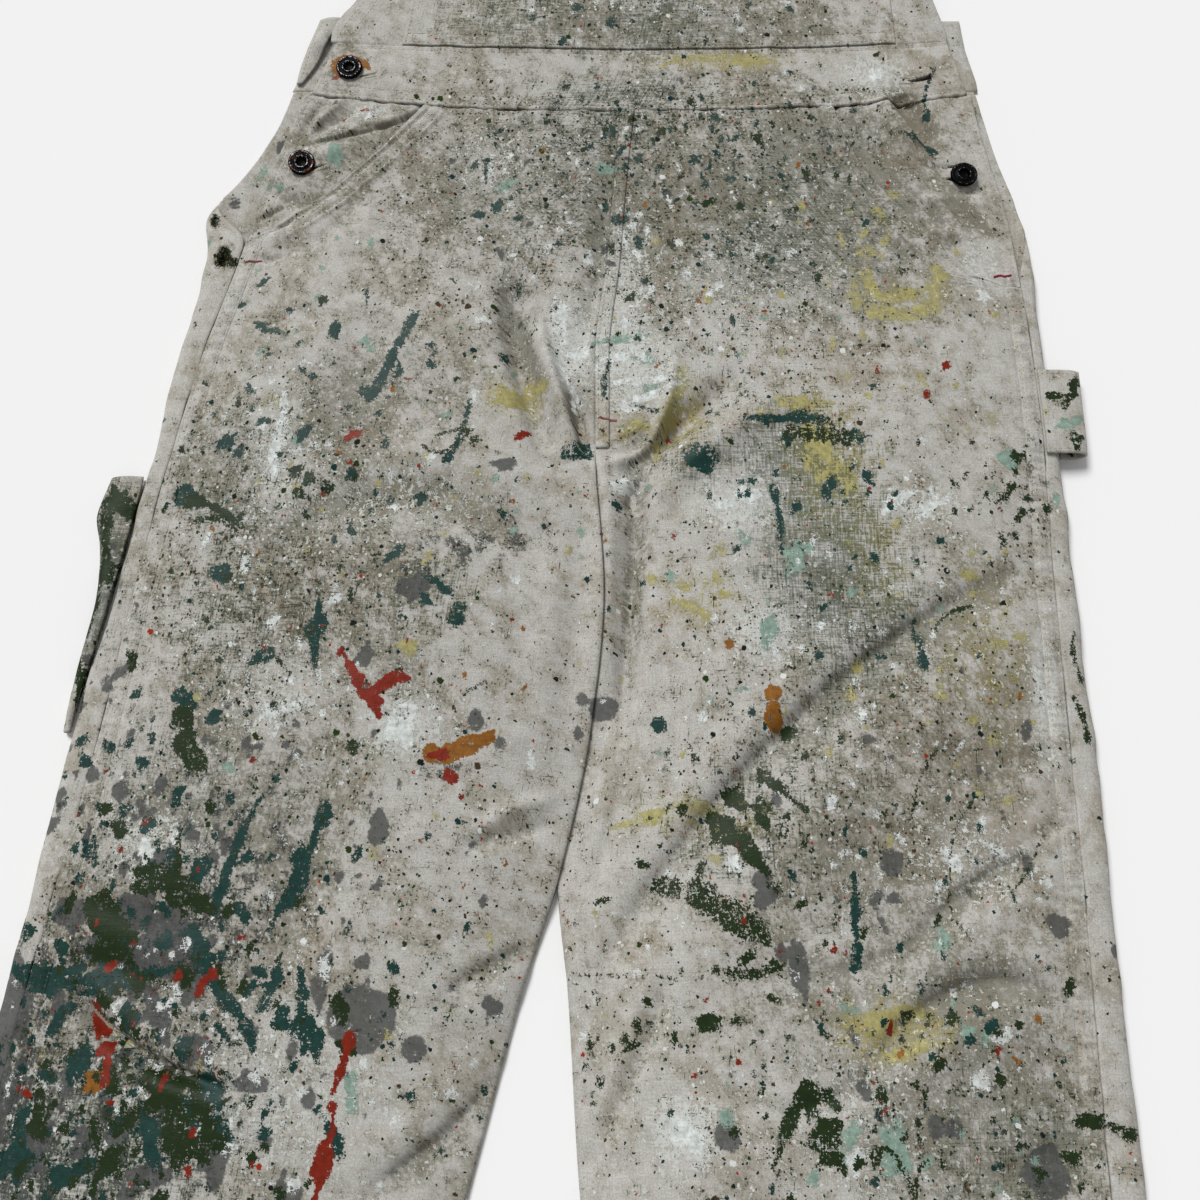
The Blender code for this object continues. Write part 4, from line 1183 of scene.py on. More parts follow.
def burst(ink, x, y, long, wide, turn, count, small, large, stretch=1.5):
    """Drops flung over a patch: normal spread, many small and few large."""
    angle = math.radians(turn)
    for u, v, size, spin, pull in chance.normal(0, 1, (count, 5)):
        across = np.array([u * long, v * wide]) / 4
        drop_x = x + across[0] * math.cos(angle) - across[1] * math.sin(angle)
        drop_y = y + across[0] * math.sin(angle) + across[1] * math.cos(angle)
        width = small * (large / small) ** min(abs(size) / 2.2, 1)
        dab(ink, drop_x, drop_y, width * (1 + abs(pull) * (stretch - 1)), width, 90 + 25 * spin, 0.5)


print("chart of", chart_shape, "cells for", len(chart), "layers")

# %% Splashes
DABS = {
    # x, y, long, wide, turn, rough (0.3 unless said)
    "slate": [
        (-125, -231, 35, 36, 0, 0.12), (-97, -246, 14, 13, 0, 0.2), (-69, -74, 9, 13, 0, 0.15),
        (2, -66, 18, 14, 10, 0.12), (-12, -80, 6, 8, 0), (-10, -61, 8, 7, 0, 0.3),
        (-120, -133, 12, 18, 0, 0.3), (-106, 2, 16, 18, 30, 0.5), (65, -288, 13, 15, 20, 0.3),
        (105, -208, 10, 24, 12, 0.25), (228, -306, 24, 27, 0, 0.3), (157, -151, 14, 14, 0, 0.3),
        (246, -184, 14, 13, 0, 0.4), (172, -283, 9, 13, 20), (181, -284, 9, 11, 0), (147, -85, 6, 7, 0),
        (-252, -178, 30, 22, 20, 0.5), (-228, -186, 26, 22, 0, 0.6), (-240, -200, 30, 20, 160, 0.5),
        (-232, -226, 14, 20, 0, 0.6), (-285, -178, 18, 20, 10, 0.6), (-310, -222, 20, 40, 10, 0.6),
        (-217, -206, 20, 34, 30, 0.6), (-236, -150, 22, 14, 10, 0.6), (-56, 77, 15, 8, 170, 0.5),
        (96, -198, 8, 9, 0, 0.4), (86, -162, 8, 12, 10, 0.4), (-276, -262, 10, 13, 20, 0.7),
        (-246, -286, 18, 12, 20, 0.7), (-180, -262, 16, 12, 0, 0.7), (-206, -246, 11, 16, 20, 0.4),
        (-264, -290, 14, 12, 0, 0.6), (-292, -292, 24, 18, 20, 0.6), (-228, -306, 20, 13, 10, 0.6),
        (-196, -300, 16, 22, 0, 0.5), (-150, -270, 8, 10, 0, 0.3), (-207, 303, 7, 10, 10, 0.2),
        (-233, 261, 8, 9, 30, 0.3),
    ],
    "mint": [
        (-169, 291, 11, 15, 10, 0.5), (-204, 270, 6.0, 5.6, 0, 0.6), (242, 82, 15.0, 13.3, 0, 0.5),
        (150, -294, 19.5, 23.8, 0, 0.6), (143, -1, 6.0, 6.3, 0, 0.8), (63, -65, 9.0, 4.2, 140, 0.7),
        (79, -57, 10.5, 2.8, 5, 0.8), (34, -92, 4.5, 5.6, 30, 0.7), (130, -226, 9.8, 7.0, 0, 0.8),
        (191, -238, 7.5, 9.1, 30, 0.9), (11, 160, 25.5, 7.0, 8, 0.9), (27, 147, 15.0, 6.3, 0, 0.9),
        (-204, -100, 6.8, 4.9, 0, 0.9), (-92, 108, 7.5, 4.2, 0, 0.8), (95, -24, 15.0, 12.6, 0, 1.0),
        (112, 20, 16.5, 18.2, 0, 1.0), (30, 128, 12.0, 5.6, 0, 0.9), (269, 58, 5.2, 11.2, 0, 0.8),
        (281, 106, 16, 9, 20, 0.8), (-219, 281, 6, 16, -28, 0.8), (-213, 268, 5, 12, -30, 0.8),
        (4, 282, 15.0, 8.4, 0, 1.0), (-60, 268, 13.5, 8.4, 30, 1.0), (-128, -268, 9.0, 15.4, 0, 1.0),
    ],
    "yellow": [
        (165, 198, 15, 24, 20, 0.7), (186, 190, 24, 10, 10, 0.6), (208, 196, 10, 24, -5, 0.4),
        (176, 178, 20, 9, 160, 0.7), (197, 180, 16, 10, 10, 0.7), (166, 220, 9, 12, 0, 0.8),
        (178, 228, 7, 9, 0, 0.8), (176, 244, 16, 9, 130, 0.8), (186, 262, 9, 8, 0, 0.8),
        (157, 250, 5, 6, 0, 0.7), (94, 361, 40, 5, 2, 0.7), (61, 364, 26, 4, 178, 0.7),
        (128, 84, 16, 52, 4, 0.8), (118, 116, 26, 12, 0, 0.9), (143, 70, 13, 24, 0, 0.8),
        (-54, 120, 22, 13, 20, 0.8), (-40, 128, 12, 14, 0, 0.7), (48, 126, 7, 26, -14, 0.5),
        (42, 106, 8, 26, -20, 0.5), (34, 88, 7, 12, -10, 0.7), (30, 9, 12, 5, 140, 0.6),
        (51, -9, 20, 6, 155, 0.4), (71, -2, 10, 6, 10, 0.8), (66, 22, 5, 9, 0, 0.7),
        (152, -231, 34, 14, 10, 0.6), (136, -236, 24, 8, 165, 0.6), (160, -247, 22, 8, 20, 0.7),
        (64, -150, 13, 5, 165, 0.5), (211, 10, 9, 9, 0, 0.7), (225, -30, 9, 7, 0, 0.5),
        (239, -26, 9, 6, 0, 0.6), (207, -74, 8, 7, 0, 0.6), (218, -84, 8, 8, 0, 0.6),
        (224, -118, 9, 6, 0, 0.4), (24, -128, 30, 8, 10, 0.7), (54, -122, 24, 8, 170, 0.7),
        (-108, -33, 14, 9, 0, 0.7), (-56, -51, 5, 5, 0), (-60, -54, 4, 5, 0), (66, 188, 6, 9, 0, 0.8),
        (-196, 118, 16, 6, 10, 0.9), (22, 104, 18, 6, 10, 0.9), (-122, -146, 7, 9, 0, 0.8),
        (-228, -62, 9, 6, 0, 0.8), (102, -65, 3, 5, 0, 0.3),
    ],
    "white": [
        (-110, -77, 20, 22, 0, 0.5), (44, -287, 17, 19, 20, 0.5), (-24, 170, 12, 26, 10, 0.6),
        (-13, 152, 12, 14, 0, 0.7), (15, 232, 5, 13, 0, 0.6), (20, 240, 6, 8, 0, 0.8),
        (180, 352, 11, 12, 0, 0.8), (172, 54, 20, 10, 20, 0.8), (190, 50, 22, 7, 40, 0.7),
        (26, 132, 30, 7, 12, 0.8), (20, 118, 22, 8, 8, 0.9), (8, 148, 16, 6, 10, 0.8),
        (14, 66, 20, 9, 5, 0.4), (85, 58, 14, 12, 0, 0.9), (70, 52, 12, 8, 0, 0.9),
        (-191, 84, 6, 44, -3, 0.5), (-188, 110, 5, 22, 0, 0.6), (247, -50, 5, 16, 10, 0.6),
        (251, -62, 5, 14, 10, 0.6), (215, -145, 20, 5, 155, 0.7), (190, -150, 13, 9, 0, 0.9),
        (98, -36, 4, 12, 20, 0.4), (51, -168, 9, 6, 30, 0.7), (72, -152, 12, 8, 30, 0.7),
        (-244, -212, 7, 9, 20, 0.4), (-246, -145, 9, 14, 0, 0.8), (-178, -68, 22, 10, 25, 0.9),
        (236, 190, 10, 6, 20, 0.9), (-148, 321, 9, 5, 20, 0.9), (-72, 172, 8, 6, 0, 0.8),
        (130, -300, 9, 12, 0, 0.8), (210, -240, 10, 8, 0, 0.9), (196, -262, 8, 13, 0, 0.9),
    ],
    "ochre": [
        (-77, -90, 25, 11, 18, 0.5), (-66, -84, 16, 7, 28, 0.6), (96, -60, 12, 9, 80, 0.3),
        (96, -73, 17, 11, 85, 0.3), (73, -31, 6, 6, 0, 0.2), (156, -248, 6, 3, 60),
        (217, -252, 6, 3, 130), (-51, 55, 4, 3, 40), (-262, -262, 16, 8, 20, 1.0),
        # The first two dabs below are painted shade: dark brown on the layer seen through the torn holes at
        # the left hip.
        (-235.5, 220, 9, 8, 0, 0.2), (-244, 247, 3.5, 7, 0, 0.2), (-168.5, 363.5, 13, 9, 20, 0.6),
        (-156, 360.5, 8, 12, 20, 0.6), (-172.5, 356, 6, 12, 10, 0.7),
    ],
    "teal": [
        (-116, 168, 7, 20, -22, 0.35), (-128, 140, 7, 26, -20, 0.3), (-138, 121, 8, 7, 0, 0.4),
        (-161, 165, 8, 12, 0, 0.3), (-79, 110, 3.4, 15, -8), (-84, 90, 4.4, 24, -22, 0.3),
        (-222, 92, 12, 9, 40, 0.5), (-213, 86, 8, 7, 40, 0.5), (-244, 60, 17, 12, 130, 0.4),
        (-217, 11, 13, 13, 0, 0.3), (-189, -38, 14, 9, 20, 0.5), (-81, -14, 10, 15, -30, 0.4),
        (33, -76, 9, 10, 0, 0.2), (122, -38, 5, 6.4, 30, 0.15), (84, -70, 4.4, 5.6, 10, 0.15),
        (105, -82, 5, 5, 0, 0.2), (181, -41, 6.6, 12, 8, 0.15), (135, -203, 6, 9, 0, 0.2),
        (136, -176, 5.6, 14, 0, 0.2), (144, -277, 7.6, 7, 0, 0.2), (59, 78, 15, 14, 0, 0.5),
        (8, 309, 5, 9, 0, 0.4), (204, -235, 9, 8, 0, 0.3), (192, -241, 7, 5, 0, 0.3),
        (199, -228, 5, 4, 0, 0.3), (-121, 137, 5, 9, -15, 0.6), (-58, 148, 7, 6, 60, 0.7),
        (2, 130, 3.6, 13, 5, 0.3), (-12, 88, 12, 9, 0, 0.9), (-143, 189, 2.6, 13, 0, 0.3),
        (-50, 196, 3, 12, -10, 0.3), (-232, -62, 13, 13, 0, 0.7), (-118, 22, 15, 6, 35, 0.6),
        (-91, 3, 22, 5, 150, 0.7), (-99, -5, 12, 5, 130, 0.9), (-160, -24, 10, 30, 5, 0.9),
        (146, 20, 3.4, 3.4, 0), (-287, -96, 8, 8, 0, 0.3), (-290, -84, 9, 6, 40, 0.4),
        (-274, -88, 7, 9, 20, 0.5), (-262, -86, 6, 6, 0, 0.4), (-214, -72, 9, 9, 30, 0.6),
        (-136, -290, 8, 22, 20, 0.8), (-296, -212, 26, 18, 0, 0.6), (-150, -240, 12, 22, 10, 0.7),
        (-166, -232, 14, 9, 0, 0.9), (-230, -288, 10, 30, 20, 0.7), (160, -120, 3, 3, 0),
        (103, -159, 4, 7, 0, 0.4), (212, 323, 5, 9, 10, 0.5), (113, 106, 38, 8, 0, 0.8),
        (149, 96, 18, 5, 170, 0.9), (133, 62, 7, 16, 0, 0.9), (-190, 180, 5, 4, 20, 0.5),
        (-207, 170, 11, 5, 160, 0.5), (196, 30, 6, 5, 0, 0.6), (-240, -210, 26, 7, 12, 0.9),
        (-262, -216, 22, 6, 2, 0.9), (-214, -200, 12, 9, 40, 0.9), (-184, -216, 9, 6, 30, 0.9),
        (-196, -238, 12, 5, 130, 0.9), (-172, -214, 10, 7, 20, 0.8), (-270, -306, 24, 12, 30, 0.9),
        (-300, -300, 18, 26, 10, 0.8), (-194, -284, 9, 16, 20, 0.7), (-208, -274, 14, 20, 10, 0.8),
        (-203, -262, 13, 9, 0, 0.9),
    ],
    "forest": [
        (-136, -226, 9, 17, 20, 0.4), (90, -105, 11, 7, 130, 0.5), (97, -110, 14, 4, 150, 0.7),
        (74, -117, 17, 11, 150, 0.6), (88, -124, 13, 12, 120, 0.9), (66, -133, 12, 14, 130, 0.5),
        (78, -142, 26, 12, 128, 0.4), (86, -152, 14, 5, 125, 0.6), (78, -200, 12, 6, 40, 0.4),
        (57, -233, 16, 9, 8, 0.4), (72, -232, 8, 5, 5, 0.4), (91, -221, 9, 5, 150, 0.4),
        (25, -223, 5, 6, 80), (1, -171, 9, 3.4, 15, 0.5), (23, -152, 5, 8, 70, 0.5),
        (-5, -246, 4, 10, 5, 0.4), (16, -245, 9, 5, 30, 0.4), (39, -241, 4, 8, 10, 0.4),
        (116, -289, 19, 17, 0, 0.8), (108, -272, 9, 16, 20, 0.7), (97, -281, 8, 18, 150, 0.7),
        (-229, -84, 12, 30, 12, 0.8), (-224, -97, 9, 14, 20, 0.8), (-241, -162, 22, 11, 25, 0.5),
        (-225, -168, 24, 12, 160, 0.5), (-262, -198, 14, 14, 0, 0.5), (-228, -150, 4, 16, 5, 0.6),
        (-272, -122, 9, 7, 20), (-212, -122, 8, 8, 0, 0.8), (-108, -220, 6, 13, 15),
        (-216, -290, 15, 22, 15, 0.8), (-228, -268, 12, 18, 160, 0.8), (256, -281, 15, 6, 10, 0.9),
        (272, -288, 14, 5, 165, 0.9), (242, -299, 9, 8, 0, 0.8), (-74, 92, 5, 7, 5, 0.4),
        (78, -232, 3, 3, 0), (161, -229, 8, 5, 170, 0.5), (173, -230, 6, 4, 0, 0.6),
        (184, -231, 7, 8, 0, 0.6), (106, -80, 8, 8, 0, 0.3), (95, -165, 5, 8, 0, 0.6),
        (238, 60, 14, 5, 60, 0.9), (246, 48, 8, 6, 30, 0.9), (-268, -180, 13, 20, 168, 0.5),
        (-262, -196, 12, 9, 10, 0.7), (-250, -300, 16, 12, 40, 0.9), (-290, -280, 12, 18, 10, 0.9),
        # (-229.5, 215.5) and (-235.2, 219.6) below, and (-244.3, 247.3) after them, are painted shade:
        # near-black in the torn holes at the left hip, on the layer below.
        (-206, -276, 12, 8, 150, 0.9), (-229.5, 215.5, 8, 6, 0, 0.3), (-235.2, 219.6, 13, 11.5, 0, 0.5),
        (-244.3, 247.3, 5.5, 9.5, 0, 0.4),
        (-230, -262, 16, 13, 150, 0.8), (-219, -276, 16, 26, 15, 0.8), (-206, -294, 9, 16, 30, 0.7),
        (-290, 30, 8, 46, 5, 0.9), (-294, -5, 7, 30, 0, 0.9),
        (-285, 58, 16, 20, 0, 1.0), (-297, -50, 6, 40, 0, 0.9), (278, 122, 12, 12, 0, 1.0),
        (287, 132, 8, 12, 0, 0.9), (284, 96, 10, 8, 0, 1.0), (-14, -209, 3.4, 1.7, 0),
        (-8, -210, 4.4, 1.6, 0),
        (0, -209.4, 3, 1.6, 0), (7, -210, 5, 1.7, 0), (14, -209.6, 3.2, 1.7, 0), (22, -210.4, 4, 1.6, 0),
        (31, -210, 3, 1.8, 0), (38, -210.8, 4.2, 1.7, 0), (53, -210, 3, 1.6, 0), (71, -211, 3.4, 1.6, 0),
        (96, -210, 3, 1.6, 0),
    ],
    "red": [
        (-141, -300, 22, 11, 80), (-138, -274, 7, 5, 80), (-131, -240, 7, 6, 60),
        (-134, -55, 13, 7, 110, 0.6), (-127, -62, 12, 9, 130, 0.8), (-113, -50, 12, 7, 20, 0.9),
        (-121, -55, 9, 7, 60, 0.8), (-82, -105, 9, 8, 20, 0.4), (-76, -116, 4, 3, 0),
        (-146, 96, 8, 8, 0, 0.9), (-46, 97, 11, 5, 35, 0.3), (208, 141, 7, 5, 20, 0.6),
        (195, 122, 6, 5, 60, 0.6), (-264, -232, 17, 9, 100, 0.6), (-258, -246, 10, 7, 80, 0.6),
        (-256, -257, 14, 6, 95, 0.6), (-191, -96, 4, 3, 20), (-209, -213, 9, 4, 65, 0.5),
        (-248, -129, 5, 3, 50), (-260, -205, 7, 6, 80, 0.5), (-190, -190, 5, 3, 10),
        (76, -182, 3, 2.2, 90), (49, -259, 4, 3, 60), (72, -252, 4, 3.4, 30), (124, -196, 6, 3, 50, 0.8),
        (151, -236, 7, 4, 70, 0.9), (207, -247, 5, 3, 70, 0.7), (-88, -93, 10, 8, 20, 0.7),
        (-226, -262, 8, 4, 70, 0.7), (-252, -272, 5, 3, 10, 0.7), (-171.5, 350.5, 6, 4, 40, 0.8),
        (-165, 318, 2, 5, -10, 0.9), (-152, 325, 5, 2.6, 20, 1.0), (-146, 320, 1.6, 4, 0, 0.9),
    ],
}
for ink, marks in DABS.items():
    for mark in marks:
        dab(ink, *mark)

# %% Drips and drags
RUNS = {
    # three points x0, y0, x1, y1, x2, y2, then the width at the start and the end
    "slate": [
        (104, -196, 105, -208, 108, -222, 8, 3), (84, -150, 88, -160, 86, -172, 6, 8),
        (144, -170, 148, -178, 152, -188, 2, 3),
        (-322, -236, -314, -262, -318, -300, 16, 20),
    ],
    "yellow": [
        (157, 198, 160, 180, 176, 176, 9, 8), (176, 178, 196, 176, 208, 190, 8, 9),
        (208, 190, 212, 202, 206, 210, 9, 6), (49, 138, 44, 118, 35, 92, 6, 5),
        (40, 358, 70, 366, 112, 361, 3, 4), (42, -5, 52, -8, 60, -14, 4, 6),
    ],
    "white": [
        (-188, 124, -190, 100, -191, 70, 3, 5), (193, 62, 198, 54, 206, 60, 4, 3),
        (-196, 178, -202, 158, -208, 140, 1.2, 0.9), (30, 124, 44, 128, 52, 134, 3, 2),
        (-30, 152, -20, 134, -12, 118, 4, 3), (-68, 268, -70, 276, -68, 290, 2, 3),
        (-248, -276, -236, -264, -230, -252, 3, 5), (-262, -218, -254, -226, -250, -236, 3, 4),
    ],
    "ochre": [
        (-92, -92, -78, -90, -60, -84, 10, 4),
    ],
    "teal": [
        (-112, 176, -118, 163, -122, 156, 5, 5), (-124, 152, -129, 137, -136, 122, 5, 7),
        (-78, 118, -79, 107, -82, 100, 2, 3), (-81, 98, -84, 90, -90, 79, 2.5, 4.5),
        (178, -18, 178, -26, 181, -36, 2.2, 3), (136, -158, 136, -170, 135, -182, 3, 4.5),
        (135, -182, 136, -194, 134, -206, 3, 6), (-72, 287, -73, 279, -72, 269, 3, 1.6),
        (219, 358, 217, 352, 214, 346, 1.6, 2.2), (213, 343, 211, 336, 211, 330, 2, 2.4),
        (192, 305, 203, 300, 214, 294, 2, 5),
        (-204, 166, -196, 165, -190, 162, 5, 2), (-78, -60, -70, -56, -64, -52, 1, 1.6),
        (6, 148, 4, 138, 2, 126, 1.6, 3), (20, 118, 26, 115, 34, 112, 1.4, 2.2),
        (101, 62, 104, 40, 104, 22, 5, 2), (-184, -116, -194, -136, -204, -168, 2, 7),
        (-192, -132, -198, -150, -206, -176, 2, 6), (-152, -116, -154, -136, -166, -172, 2, 8),
        (-160, -150, -168, -168, -176, -186, 5, 3), (-322, -204, -300, -208, -276, -206, 9, 5),
        (-300, -212, -272, -212, -246, -206, 5, 6), (-216, -186, -206, -206, -196, -222, 8, 5),
        (-196, -222, -186, -232, -180, -246, 7, 6), (-170, -200, -172, -214, -178, -226, 4, 5),
        (-158, -206, -156, -222, -158, -236, 5, 7),
    ],
    "forest": [
        (88, -101, 98, -112, 112, -124, 6, 2), (62, -128, 78, -145, 92, -158, 9, 3),
        (104, -268, 112, -266, 122, -274, 10, 5), (104, -270, 96, -284, 88, -304, 7, 2),
        (112, -290, 120, -298, 124, -306, 9, 3), (188, -88, 176, -104, 168, -130, 1.6, 1.2),
        (204, -118, 192, -136, 188, -160, 1.4, 1.0), (188, -160, 188, -176, 196, -190, 1.2, 1.6),
        (240, -140, 232, -154, 222, -166, 1.2, 1.6), (212, -8, 196, -14, 190, -24, 3, 1),
        (-234, -70, -228, -84, -224, -98, 9, 7), (-248, -156, -236, -158, -224, -166, 9, 12),
        (-224, -166, -214, -172, -206, -176, 12, 7), (-272, -174, -262, -180, -262, -198, 15, 15),
        (-240, 56, -226, 52, -206, 38, 8, 3), (-232, 44, -222, 44, -210, 36, 4, 2),
        (143, -293, 152, -300, 160, -322, 2, 2), (166, -300, 160, -308, 160, -326, 2, 2),
        (268, -60, 272, -70, 274, -84, 3, 4), (272, -22, 270, -34, 274, -50, 2, 3),
        (-104, 88, -92, 84, -78, 96, 2, 2), (-98, 94, -86, 98, -76, 98, 1.4, 3),
        (246, -282, 262, -284, 278, -290, 5, 4), (-288, 60, -290, 40, -287, 12, 4, 6),
        (-297, 58, -298, 45, -296, 30, 3, 4), (-212, -262, -204, -276, -196, -290, 6, 9),
        (-228, -132, -228, -146, -226, -158, 2, 3),
    ],
    "red": [
        (-130, -240, -133, -252, -138, -268, 6, 3), (-138, -274, -137, -284, -139, -292, 3, 2.4),
        (-142, -310, -144, -316, -146, -326, 4, 1.5), (-146, -33, -141, -42, -134, -52, 2, 6),
        (-134, -52, -129, -60, -122, -72, 8, 3), (-128, -62, -121, -54, -112, -49, 6, 7),
        (-205, -208, -208, -213, -211, -219, 3, 4),
    ],
}
for ink, marks in RUNS.items():
    for mark in marks:
        run(ink, *mark)


# %% Combed marks
def comb(ink, start, end, bend, teeth, low, high, lean):
    """A brush set down sideways: a row of short bristle lines across a bent path."""
    for share in (np.arange(teeth) + 0.5) / teeth:
        x = start[0] + (end[0] - start[0]) * share + chance.normal(0, 0.6)
        y = start[1] + (end[1] - start[1]) * share + bend * math.sin(math.pi * share)
        reach = chance.uniform(low, high) * (0.45 + 0.75 * math.sin(math.pi * share) ** 0.5)
        tip_x, tip_y = x + reach * math.sin(math.radians(lean)), y + reach * math.cos(math.radians(lean))
        foot = 0.6 * reach
        foot_x, foot_y = x - foot * math.sin(math.radians(lean)), y - foot * math.cos(math.radians(lean))
        run(
            ink, foot_x, foot_y, (foot_x + tip_x) / 2 + chance.normal(0, 0.5), (foot_y + tip_y) / 2,
            tip_x, tip_y, 2.6, 1.6
        )


comb("forest", (28, -163), (44, -166), 0, 8, 4, 9, 12)
comb("forest", (46, -168), (62, -174), 1, 13, 6, 11, 2)
comb("forest", (60, -177), (90, -190), 1, 24, 5, 11, -8)
comb("forest", (60, -206), (98, -203), -4, 22, 0.8, 2.6, -10)
comb("forest", (108, 96), (150, 92), 2, 20, 2, 7, 0)
comb("teal", (-24, 84), (-4, 86), 2, 9, 2, 6, -10)
comb("teal", (50, 84), (70, 80), 0, 10, 3, 7, 6)
comb("teal", (-245, -214), (-196, -200), 4, 16, 3, 8, 60)
print("splashes", len(DABS), "and drips", len(RUNS))
